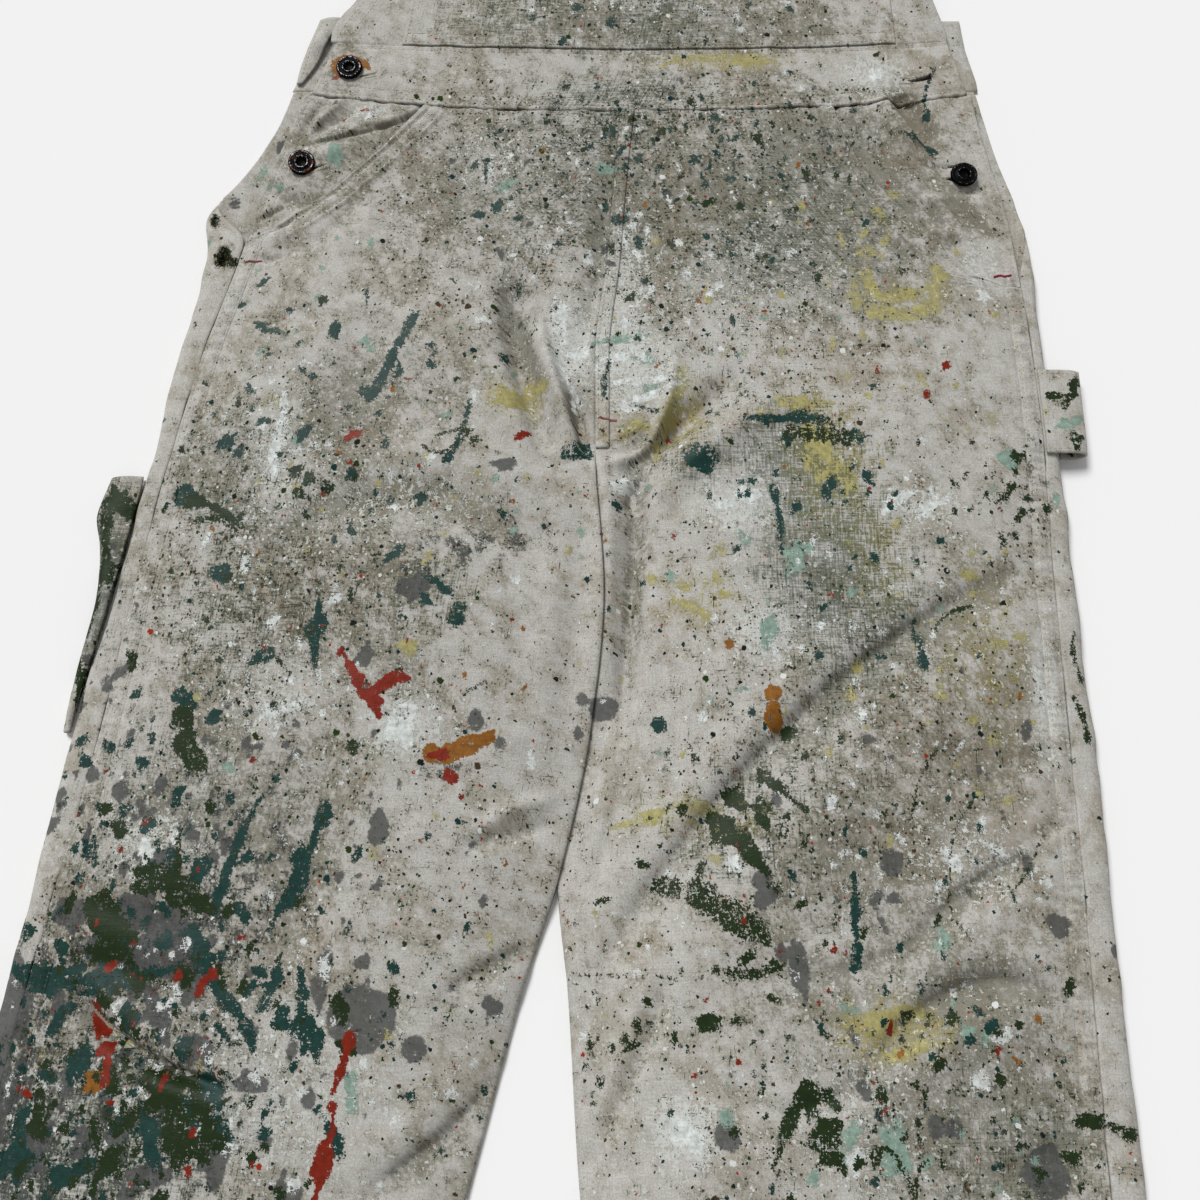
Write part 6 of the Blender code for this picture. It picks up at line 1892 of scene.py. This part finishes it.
STANDS_FOR = {
    "cloth_front_leg_left": "front_leg_left", "cloth_front_leg_right": "front_leg_right",
    "cloth_back_leg_left": "back_leg_left", "cloth_back_leg_right": "back_leg_right",
    "seam_out_left": "outseam_left", "seam_out_right": "outseam_right", "seam_fly": "fly_strip",
    "cloth_hip_left": "hip_left", "cloth_hip_right": "hip_right",
    "cloth_hem_left": "hem_left", "cloth_hem_right": "hem_right",
    "cloth_waistband": "waistband_front", "cloth_bib": "bib", "patch_bib_pocket": "bib_pocket",
    "cloth_waistband_back": "waistband_back", "cloth_placket": "placket_left",
    "patch_rule_pocket": "rule_pocket", "loop_hammer": "hammer_loop",
    "strap_cloth_left": "strap_left", "strap_cloth_right": "strap_right",
}
drill_finish = drill("spattered_cotton_drill")
for name, node in STANDS_FOR.items():
    thing = shells[name].thing
    share = next((value for key, value in CLEANER.items() if name.startswith(key)), 1.0)
    grain_map(name)
    if name in HOLES:
        cut_openings(name)
    soil(thing, share)
    thing.data.materials.append(drill_finish)
    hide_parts(node)
print("pieces of cloth", len(STANDS_FOR))

# %% [markdown]
# ## Buttons and wire
#
# The side buttons are ring-topped tacks: a pressed flange, a rolled ring and a dark hollow in it. The
# black enamel has worn to bare steel along the ring's crest and rusted in patches. Each point keeps its
# share of the radius, so that the wear follows the rings. The hooks and slides are dull steel wire.

# %% Button shape
BUTTON_RADIUS = 8.5
BUTTON_PROFILE = np.array(  # radius, height
    [(0, 0.5), (1.8, 0.5), (2.7, 0.8), (3.05, 1.7), (3.4, 2.7), (3.9, 3.05), (4.5, 2.9), (5.1, 2.55),
     (5.9, 2.35), (6.6, 2.45), (7.2, 2.7), (7.8, 2.6), (8.25, 2.15), (8.5, 1.5), (8.35, 0.8), (7.8, 0.35),
     (6.4, 0.05), (0, 0)]
)
ButtonLook = namedtuple("ButtonLook", "node lean_x lean_y worn rusted")
BUTTONS = [
    # leans in degrees, towards the right and towards the bib; then how worn and how rusted
    ButtonLook("waist_button_left", 1.5, -1.0, 0.10, -0.04),
    ButtonLook("hip_button_left", 4.0, -4.5, 0.12, 0.07),
    ButtonLook("hip_button_right", -2.0, 1.0, 0.05, -0.12),
    ButtonLook("bib_button_left", 0.0, 2.0, 0.10, 0.10),
    ButtonLook("bib_button_right", 0.0, 2.0, 0.08, 0.06),
]


def swept_button(look, turns=56):
    """The profile swept round: x = r cos a, y = r sin a, z = h, tipped a little, at its CAD node."""
    low, high = (np.array(corner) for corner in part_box(look.node))
    centre = ((low + high) / 2 - OFFSET) / MM
    centre[2] = low[2] / MM + 0.15
    angle = np.linspace(0, 2 * math.pi, turns, endpoint=False)
    radius, height = BUTTON_PROFILE[1:-1].T[:, :, None]
    rings = np.stack([radius * np.cos(angle), radius * np.sin(angle), height + 0 * angle], -1).reshape(-1, 3)
    points = np.concatenate([rings, [(0, 0, BUTTON_PROFILE[0, 1]), (0, 0, BUTTON_PROFILE[-1, 1])]])
    dent = 0.12 * soft_noise(points[:, 0], points[:, 1], 3.1, 60 + len(look.node))
    share = np.hypot(points[:, 0], points[:, 1]) / BUTTON_RADIUS
    points[:, 2] += dent - points[:, 0] * math.tan(math.radians(look.lean_x))
    points[:, 2] -= points[:, 1] * math.tan(math.radians(look.lean_y))
    index = np.arange(len(rings)).reshape(-1, turns)
    faces = [link_rings(inner, outer)[:, ::-1] for inner, outer in zip(index[:-1], index[1:])]
    faces = np.concatenate(faces).tolist()
    top, under = len(rings), len(rings) + 1
    around = np.roll(index, -1, 1)
    faces += [[top, a, b] for a, b in zip(index[0].tolist(), around[0].tolist())]
    faces += [[under, b, a] for a, b in zip(index[-1].tolist(), around[-1].tolist())]
    thing = add_piece("tack_" + look.node, points + centre, faces)
    same = np.ones(len(share))
    keep_values(thing.data, "wear", np.stack([share, look.worn * same, look.rusted * same, same], 1))
    return thing


# %% Enamel, steel and rust
def crest(tree, share, at, reach):
    """1 where the share of the radius is `at`, falling to 0 within reach of it."""
    away = add(tree, "Math", {"operation": "SUBTRACT"}, _0=share, _1=at).outputs[0]
    away = add(tree, "Math", {"operation": "ABSOLUTE"}, _0=away).outputs[0]
    return add(tree, "MapRange", Value=away, From_Max=reach, To_Min=1.0, To_Max=0.0).outputs[0]


def worn_enamel(name):
    """Black baked enamel on steel: worn bright on the rings, rusted in patches, plain black in the hollow."""
    material, tree, shader = new_material(name)
    coords = add(tree, "TexCoord").outputs["Object"]
    source = add(tree, "Attribute", {"attribute_name": "wear"})
    share, worn, rusted = add(tree, "SeparateColor", Color=source.outputs["Color"]).outputs
    scratches = add(
        tree, "TexNoise", Vector=coords, Scale=1000 / 1.1, Detail=4.0, Roughness=0.7
    ).outputs["Fac"]
    patches = add(tree, "TexNoise", Vector=coords, Scale=1000 / 3.4, Detail=5.0, Roughness=0.6).outputs["Fac"]
    rings = add(
        tree, "Math", {"operation": "MAXIMUM"},
        _0=crest(tree, share, 0.46, 0.10), _1=crest(tree, share, 0.85, 0.09)
    )
    bare = add(
        tree, "Math", {"operation": "MULTIPLY_ADD"}, _0=rings.outputs[0], _1=0.17, _2=scratches
    ).outputs[0]
    bare = add(tree, "Math", {"operation": "ADD"}, _0=bare, _1=worn).outputs[0]
    rim = add(tree, "MapRange", Value=share, From_Min=0.36, From_Max=0.44, To_Min=-0.3, To_Max=0.0).outputs[0]
    rust = add(tree, "Math", {"operation": "ADD"}, _0=patches, _1=rusted).outputs[0]
    rust = add(tree, "Math", {"operation": "ADD"}, _0=rust, _1=rim).outputs[0]
    colour, steel = paint_over(tree, tint("020202"), bare, 0.78, 0.03, 1.0, tint("77757a"))
    colour, rusty = paint_over(tree, colour, rust, 0.66, 0.05, 0.9, tint("55280f"))
    hollow = add(
        tree, "MapRange", Value=share, From_Min=0.33, From_Max=0.38, To_Min=1.0, To_Max=0.0
    ).outputs[0]
    colour = add(tree, "Mix", {"data_type": "RGBA"}, Factor=hollow, _6=colour, _7=tint("020202")).outputs[2]
    matt = add(tree, "Mix", {"data_type": "FLOAT"}, Factor=rusty, _2=0.42, _3=0.85).outputs[0]
    bright = add(tree, "Math", {"operation": "SUBTRACT", "use_clamp": True}, _0=steel, _1=rusty).outputs[0]
    bright = add(tree, "Math", {"operation": "SUBTRACT", "use_clamp": True}, _0=bright, _1=hollow).outputs[0]
    relief = add(tree, "Math", {"operation": "ADD"}, _0=scratches, _1=rusty).outputs[0]
    bump = add(tree, "Bump", Strength=0.5, Distance=0.00012, Height=relief)
    feed(tree, shader, Base_Color=colour, Metallic=bright, Roughness=matt)
    feed(tree, shader, Normal=bump.outputs[0], Specular_IOR_Level=0.03)
    return material


def dull_wire(name):
    """Old plated wire: dull grey steel with brown tarnish in patches 4 mm across."""
    material, tree, shader = new_material(name)
    coords = add(tree, "TexCoord").outputs["Object"]
    patches = add(tree, "TexNoise", Vector=coords, Scale=1000 / 4, Detail=5.0, Roughness=0.65).outputs["Fac"]
    grain = add(tree, "TexNoise", Vector=coords, Scale=1000 / 0.8, Detail=2.0).outputs["Fac"]
    colour, _ = paint_over(tree, tint("8b877e"), grain, 0.5, 0.2, 0.6, tint("716c62"))
    colour, tarnish = paint_over(tree, colour, patches, 0.56, 0.06, 0.9, tint("5a4330"))
    matt = add(tree, "Mix", {"data_type": "FLOAT"}, Factor=tarnish, _2=0.42, _3=0.8).outputs[0]
    metal = add(tree, "Mix", {"data_type": "FLOAT"}, Factor=tarnish, _2=0.9, _3=0.2).outputs[0]
    bump = add(tree, "Bump", Strength=0.4, Distance=0.0001, Height=grain)
    feed(tree, shader, Base_Color=colour, Metallic=metal, Roughness=matt, Normal=bump.outputs[0])
    return material


enamel = worn_enamel("worn_black_enamel")
for look in BUTTONS:
    tack = swept_button(look)
    tack.data.materials.append(enamel)
    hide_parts(look.node)
wire = dull_wire("dull_steel_wire")
for side in SIDES:
    for kind in ("hook_", "slide_"):
        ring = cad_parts[kind + side]
        ring.data.materials.clear()
        ring.data.materials.append(wire)
print("buttons", len(BUTTONS))

# %% [markdown]
# ## Sewing
#
# A row of stitches is a path on the garment's plan. Each stitch is a small spindle of thread that dips
# into the cloth at both ends. A straight ray finds the cloth under each end, so a row follows every
# crease and pucker. The stitches of one area are joined into one mesh. Buttonholes and bar tacks are
# the same thread laid side by side across a line.

# %% Threads on cloth
from mathutils.bvhtree import BVHTree

SPINDLE = np.array(  # share of the length, share of the width, share of the height
    [(0, 0, -0.6), (0.22, -0.5, 0.1), (0.22, 0, 1), (0.22, 0.5, 0.1), (0.22, 0, -0.6),
     (0.78, -0.5, 0.1), (0.78, 0, 1), (0.78, 0.5, 0.1), (0.78, 0, -0.6), (1, 0, -0.6)]
)
SPINDLE_FACES = [(0, i, i % 4 + 1) for i in range(1, 5)] + [(9, i % 4 + 5, i + 4) for i in range(1, 5)]
SPINDLE_FACES += [(i, i + 4, i % 4 + 5, i % 4 + 1) for i in range(1, 5)]
rays, threads = {}, {}
hand = np.random.default_rng(23)


def on_cloth(names, spots, up=1):
    """Where straight rays first meet one of the pieces, from above or below, and the normals there."""
    starts = place(np.c_[spots, np.full(len(spots), 60.0 * up)]).tolist()
    found = []
    for name in names.split():
        if name not in rays:
            rays[name] = BVHTree.FromObject(shells[name].thing, bpy.context.evaluated_depsgraph_get())
        found.append([rays[name].ray_cast(start, (0, 0, -up)) for start in starts])
    first = [min(hits, key=lambda hit: 9 if hit[3] is None else hit[3]) for hits in zip(*found)]
    hit = np.array([point is not None for point, *_ in first])
    points = np.array([point or (0, 0, 0) for point, *_ in first], float)
    normals = np.array([normal or (0, 0, 1) for _, normal, *_ in first], float)
    return (points - OFFSET) / MM, normals, hit


def spindles(first, last, normal, wide, high):
    """Points of a spindle from each start to its end: along + side * width + normal * height."""
    along = last - first
    side = unit(np.cross(normal, along))
    points = first + along * SPINDLE[:, :1] + side * wide * SPINDLE[:, 1:2] + normal * high * SPINDLE[:, 2:]
    return points.reshape(-1, 3)


def lay_threads(group, name, starts, ends, wide, high, up=1):
    """Threads from each start to its end, where both lie on the same part of the cloth."""
    first, normal, hit = on_cloth(name, starts, up)
    last, _, hit_last = on_cloth(name, ends, up)
    kept = hit & hit_last & (np.abs(first[:, 2] - last[:, 2]) < 2.5)
    first, last, normal = first[kept, None], last[kept, None], normal[kept, None]
    threads.setdefault(group, []).append(spindles(first, last, normal, wide, high))


def walk(path, stops):
    """Points at the given distances along a path of chords."""
    path = np.asarray(path, float)
    lengths = np.concatenate([[0], np.cumsum(np.hypot(*np.diff(path, axis=0).T))])
    stops = stops(lengths[-1]) if callable(stops) else stops
    return np.stack([np.interp(stops, lengths, path[:, 0]), np.interp(stops, lengths, path[:, 1])], 1), stops


def beside(path, away):
    """The path moved to its left by a distance."""
    path = np.asarray(path, float)
    heading = np.gradient(path, axis=0)
    heading = heading / np.hypot(*heading.T)[:, None]
    return path + away * np.stack([-heading[:, 1], heading[:, 0]], 1)


def sew(group, name, path, up=1, pitch=3.1, long=2.4, wide=0.6, high=0.3):
    """A row of running stitches, one every pitch, with small slips of the hand."""
    starts, stops = walk(path, lambda total: np.arange(0.4, total - long, pitch))
    ends, _ = walk(path, stops + long)
    slip = hand.normal(0, 0.1, starts.shape)
    lay_threads(group, name, starts + slip, ends - slip, wide, high, up)


def satin(group, name, path, near, far, pitch=0.55, wide=0.6, high=0.35):
    """Threads laid across a path, from one distance beside it to the other."""
    path = np.asarray(path, float)
    middle, _ = walk(path, lambda total: np.arange(0, total, pitch))
    heading = np.gradient(middle, axis=0)
    heading = heading / np.hypot(*heading.T)[:, None]
    left = np.stack([-heading[:, 1], heading[:, 0]], 1)
    slip = hand.normal(0, 0.12, (len(middle), 1))
    lay_threads(
        group, name, middle + left * (near + slip), middle + left * (far + slip) + heading * 0.25, wide,
        high
    )


# %% Rows of stitches
def column_path(side, inset, low, high):
    """Down a front leg at a distance inside its outer edge."""
    y = np.linspace(high, low, 220)
    return np.stack(front_points(side, y, inset / front_width(side, y)), 1)


for side in SIDES:
    group, turn = "stitches_leg_" + side, INWARD[side]
    panel, seam, wide_hem = "cloth_front_leg_" + side, "seam_out_" + side, "cloth_hem_" + side
    for inset in (1.9, FELL - 1.9):
        sew(group, seam, column_path(side, inset, HEM_Y + 1, SEAM_START[side] - 1))
    slant = walk(SLANTS[side], lambda total: np.linspace(0, total, 40))[0]
    for inset in SLANT_ROWS:
        sew(group, panel, beside(slant, inset * turn)[1:-1])
    y = np.linspace(HIP_TOP - 2, SEAM_START[side] + 8, 60)
    for inset in HIP_ROWS:
        sew(group, "cloth_hip_" + side, np.stack([line(OUTLINE, "seam_" + side, y) + turn * inset, y], 1))
    for up in (1, -1):
        for from_top in HEM_ROWS:
            outer_y, inner_y = leg_ends(side, HEM_Y - SEAM_GAP - from_top)
            ends = [
                (line(OUTLINE, "seam_" + side, outer_y) + turn, outer_y),
                (inner_line(side, inner_y) - turn, inner_y)
            ]
            sew(group, wide_hem, np.array(ends, float), up)
    knee = np.linspace(*((-292, -34) if side == "left" else (-12, 250)), 60)
    sew(
        group, panel, np.stack([knee, -209 + 1.6 * np.sin(knee / 37)], 1), pitch=3.6, long=2.0,
        wide=0.5, high=0.22
    )

for inset in FLY_ROWS:
    sew("stitches_leg_right", "cloth_front_leg_right", beside(FLY_TRACK[:-1], -inset))
y = np.linspace(322, FLY_END_Y + 2, 90)
for inset in (1.7, FLY_STRIP - 1.7):
    path = front_points("right", y, 1 - inset / front_width("right", y))
    sew("stitches_leg_right", "seam_fly", np.stack(path, 1))

# %% Rows on the waistband, bib and straps
x = np.linspace(-182, 234, 160)
for rise in BAND_ROWS:
    sew("stitches_waist", "cloth_waistband", np.stack([x, waist_line(x) + SEAM_GAP / 2 + rise], 1))
x = np.linspace(-168, 223, 160)
sew("stitches_waist", "cloth_waistband", np.stack([x, bib_line(x) - SEAM_GAP / 2 - BAND_ROWS[0]], 1))
for row in BAND_CROSS_ROWS:
    sew("stitches_waist", "cloth_waistband", np.array([(row - 2, 328), (row + 2, 369)]))
for y_row in (348.5, 396.5):
    sew("stitches_waist", "cloth_waistband_back", np.array([(-188, y_row), (238, y_row)]))
    sew("stitches_waist", "cloth_waistband_back", np.array([(-188, y_row), (238, y_row)]), up=-1)
sew("stitches_waist", "cloth_placket", np.array([(-196.5, 353), (-189, 385), (-183.5, 398)]))

low_y, high_y = 374, BIB_TOP - 2
pocket_y = bib_line(25) + (BIB_TOP - bib_line(25)) * POCKET_TOP_SHARE
(low_left, high_left), (low_right, high_right) = POCKET_EDGES["left"], POCKET_EDGES["right"]
x = np.linspace(low_left + 3, low_right - 3, 120)
for rise in POCKET_ROWS:
    sew("stitches_bib", "patch_bib_pocket", np.stack([x, bib_line(x) + rise], 1))
for edge_x, top_x, turn in ((low_left, high_left, 1), (low_right, high_right, -1)):
    sew(
        "stitches_bib", "patch_bib_pocket",
        np.array([(edge_x + POCKET_SIDE_ROW * turn, 376), (top_x + POCKET_SIDE_ROW * turn, pocket_y - 1)])
    )
for slot_x in PENCIL_SLOT:
    sew("stitches_bib", "patch_bib_pocket", np.array([(slot_x, 378), (slot_x, pocket_y - 2)]))
x = np.linspace(high_left + 3, high_right - 3, 90)
for fall in (2.5, 14):
    sew("stitches_bib", "patch_bib_pocket", np.stack([x, pocket_y - fall + 0 * x], 1))
y = np.linspace(low_y + 4, high_y, 120)
for inset in BIB_ROWS:
    for name, turn in (("seam_left", 1), ("seam_right", -1)):
        edge = line(OUTLINE, name, np.maximum(y, BIB_SIDE_LOW))
        sew("stitches_bib", "cloth_bib", np.stack([edge + turn * inset, y], 1))
for fall in (3, 28):
    sew("stitches_bib", "cloth_bib", np.array([(-97, BIB_TOP - fall), (187, BIB_TOP - fall)]))

for side in SIDES:
    back_x, bib_x = STRAPS[side]
    for inset in (-STRAP_WIDTH / 2 + 2.5, STRAP_WIDTH / 2 - 2.5):
        sew(
            "stitches_straps", "strap_cloth_" + side,
            np.array([(bib_x + inset, HOOK_Y + 13), (bib_x + inset, STRAP_TOP)])
        )
        under = np.array([(back_x + inset, BACK_BAND_TOP + 3), (bib_x + inset, STRAP_TOP - 2)])
        sew("stitches_straps", "strap_cloth_" + side, under, up=-1)
for y_row in (LOOP_LOW + 2.4, LOOP_HIGH - 2.4):
    sew("stitches_leg_right", "loop_hammer", np.array([(266, y_row), (LOOP_OUT - 3, y_row)]))
sew("stitches_leg_left", "patch_rule_pocket", np.array([(-272, 70.5), (-288, 70.5)]))
print("stitches", {group: sum(len(part) for part in parts) // 10 for group, parts in threads.items()})

# %% Buttonholes, bar tacks and loose threads
BUTTONHOLES = [
    # piece, path along the slit, half the opening
    ("cloth_waistband", [(195.5, 348.2), (201, 347.5), (209, 348.4), (217, 351.2)], 1.2),
    ("cloth_waistband", [(-157, 350.2), (-146, 351.9)], 0.7),
    ("cloth_hip_left", [(-182.5, 281.9), (-174, 283.8)], 0.8),
    ("cloth_hip_right", [(225, 274.0), (217, 272.9)], 0.9),
]
for name, path, half in BUTTONHOLES:
    path = walk(path, lambda total: np.linspace(0, total, 24))[0]
    for turn in (1, -1):
        satin("buttonhole_thread", name, path, turn * half, turn * (half + 1.5), pitch=0.6)
BAR_TACKS = [
    # piece, path
    (
        "cloth_front_leg_left seam_out_left cloth_hip_left",
        [(-221.5, 215.2), (-218, 216.0), (-214, 215.2), (-211, 215.8)]
    ),
    (
        "cloth_front_leg_right seam_out_right cloth_hip_right",
        [(245, 205.2), (249, 206.3), (252, 205.6), (256, 206.6)]
    ),
    ("cloth_front_leg_right seam_fly", [(-1.0, 110.0), (3, 108.6), (7, 107.8), (10, 107.4)]),
]
for name, path in BAR_TACKS:
    path = walk(path, lambda total: np.linspace(0, total, 20))[0]
    satin("bar_tack_thread", name, path, -1.0, 1.0, pitch=0.5, wide=0.7, high=0.5)


def frayed(name, outline, count, short, long):
    """Loose ends round an opening: each runs inward from the edge and bends once."""
    plan = np.array(outline + outline[:1], float)
    rim, _ = walk(plan, lambda total: np.sort(hand.uniform(0, total, count)))
    centre = plan[:-1].mean(0)
    away = rim - centre
    away = away / np.hypot(*away.T)[:, None]
    turn = hand.normal(0, 0.6, (count, 2))
    length = hand.uniform(short, long, (count, 1))
    base, middle = rim + away * 1.6, rim + away * 0.5 + turn * 0.5
    seat, _, hit = on_cloth(name, base)
    base, middle, reach = base[hit], middle[hit], (rim - away * length + turn)[hit]
    low = seat[hit, 2]
    ends = [
        np.c_[base, low + 0.1], np.c_[middle, low + 0.35],
        np.c_[reach, low + hand.uniform(-1.2, 0.4, hit.sum())]
    ]
    for first, last in zip(ends[:-1], ends[1:]):
        loose = spindles(first[:, None], last[:, None], np.array([0.0, 0.0, 1.0]), wide=0.4, high=0.2)
        threads.setdefault("frayed_thread", []).append(loose)


for outline, count, short, long in zip(HOLES["cloth_back_leg_left"], (90, 24), (0.8, 0.5), (4.2, 2.4)):
    frayed("cloth_back_leg_left", outline, count, short, long)
print("threads", {group: sum(len(part) for part in parts) // 10 for group, parts in threads.items()})

# %% Threads become pieces
thread_finish = drill("spattered_cotton_thread", "c2bba9", "aea48c")
tack_finish = drill("crimson_bar_tack_thread", "8e2144", "6f2038")
for group, parts in threads.items():
    points = np.concatenate(parts)
    starts = np.arange(0, len(points), len(SPINDLE))
    faces = [[corner + start for corner in face] for start in starts.tolist() for face in SPINDLE_FACES]
    thing = add_piece(group, points, faces)
    soil(thing, 0.3 if group == "bar_tack_thread" else 0.8)
    thing.data.materials.append(tack_finish if group == "bar_tack_thread" else thread_finish)

# %% [markdown]
# ## How the pieces are cut
#
# Every piece was cut flat before it was sewn. The table gives what shows of each: its width and its
# length in millimetres, and its flat area where the cut isn't a rectangle. A leg's hem is a tube, so
# its width is the whole way round. The figures were measured on these finished surfaces and rounded, so
# the half surface printed beside each area only shows that the two still agree.

# %% Flat sizes
Cut = namedtuple("Cut", "wide long area held rests_on")
CUTS = {
    "cloth_front_leg_left": Cut(280, 1030, 0.2400, "laid", ["cloth_back_leg_left"]),
    "cloth_front_leg_right": Cut(295, 1030, 0.2510, "laid", ["cloth_back_leg_right"]),
    "cloth_back_leg_left": Cut(315, 1050, 0.2740, "laid", []),
    "cloth_back_leg_right": Cut(325, 1020, 0.2900, "laid", []),
    "seam_out_left": Cut(12, 890, 0.0104, "laid", ["cloth_front_leg_left"]),
    "seam_out_right": Cut(12, 860, 0.0101, "laid", ["cloth_front_leg_right"]),
    "seam_fly": Cut(10, 236, 0.0020, "laid", ["cloth_front_leg_right"]),
    "cloth_hip_left": Cut(96, 131, 0.0072, "laid", ["cloth_back_leg_left"]),
    "cloth_hip_right": Cut(110, 151, 0.0119, "laid", ["cloth_back_leg_right"]),
    "cloth_hem_left": Cut(455, 35, 0.0158, "laid", ["cloth_back_leg_left"]),
    "cloth_hem_right": Cut(495, 35, 0.0170, "laid", ["cloth_back_leg_right"]),
    "cloth_waistband": Cut(440, 47, 0.0190, "laid", ["cloth_front_leg_left", "cloth_front_leg_right"]),
    "cloth_bib": Cut(408, 276, 0.0913, "laid", ["strap_cloth_left", "strap_cloth_right"]),
    "patch_bib_pocket": Cut(326, 180, 0.0548, "laid", ["cloth_bib"]),
    "cloth_waistband_back": Cut(450, 57, 0.0243, "laid", []),
    "cloth_placket": Cut(20, 52, 0.0006, "folded", ["cloth_waistband_back"]),
    "patch_rule_pocket": Cut(48, 155, 0.0038, "laid", ["cloth_back_leg_left"]),
    "loop_hammer": Cut(49, 53, 0.0025, "folded", ["seam_out_right"]),
    "strap_cloth_left": Cut(32, 482, 0.0154, "folded", ["hook_left"]),
    "strap_cloth_right": Cut(32, 488, 0.0156, "folded", ["hook_right"]),
}


def half_surface(mesh):
    """Half of a closed shell's surface: the area of its cloth."""
    areas = np.empty(len(mesh.polygons))
    mesh.polygons.foreach_get("area", areas)
    return areas.sum() / 2


for name, cut in CUTS.items():
    thing = shells[name].thing
    print(name, "cut", cut.area, "measured", round(half_surface(thing.data), 4))
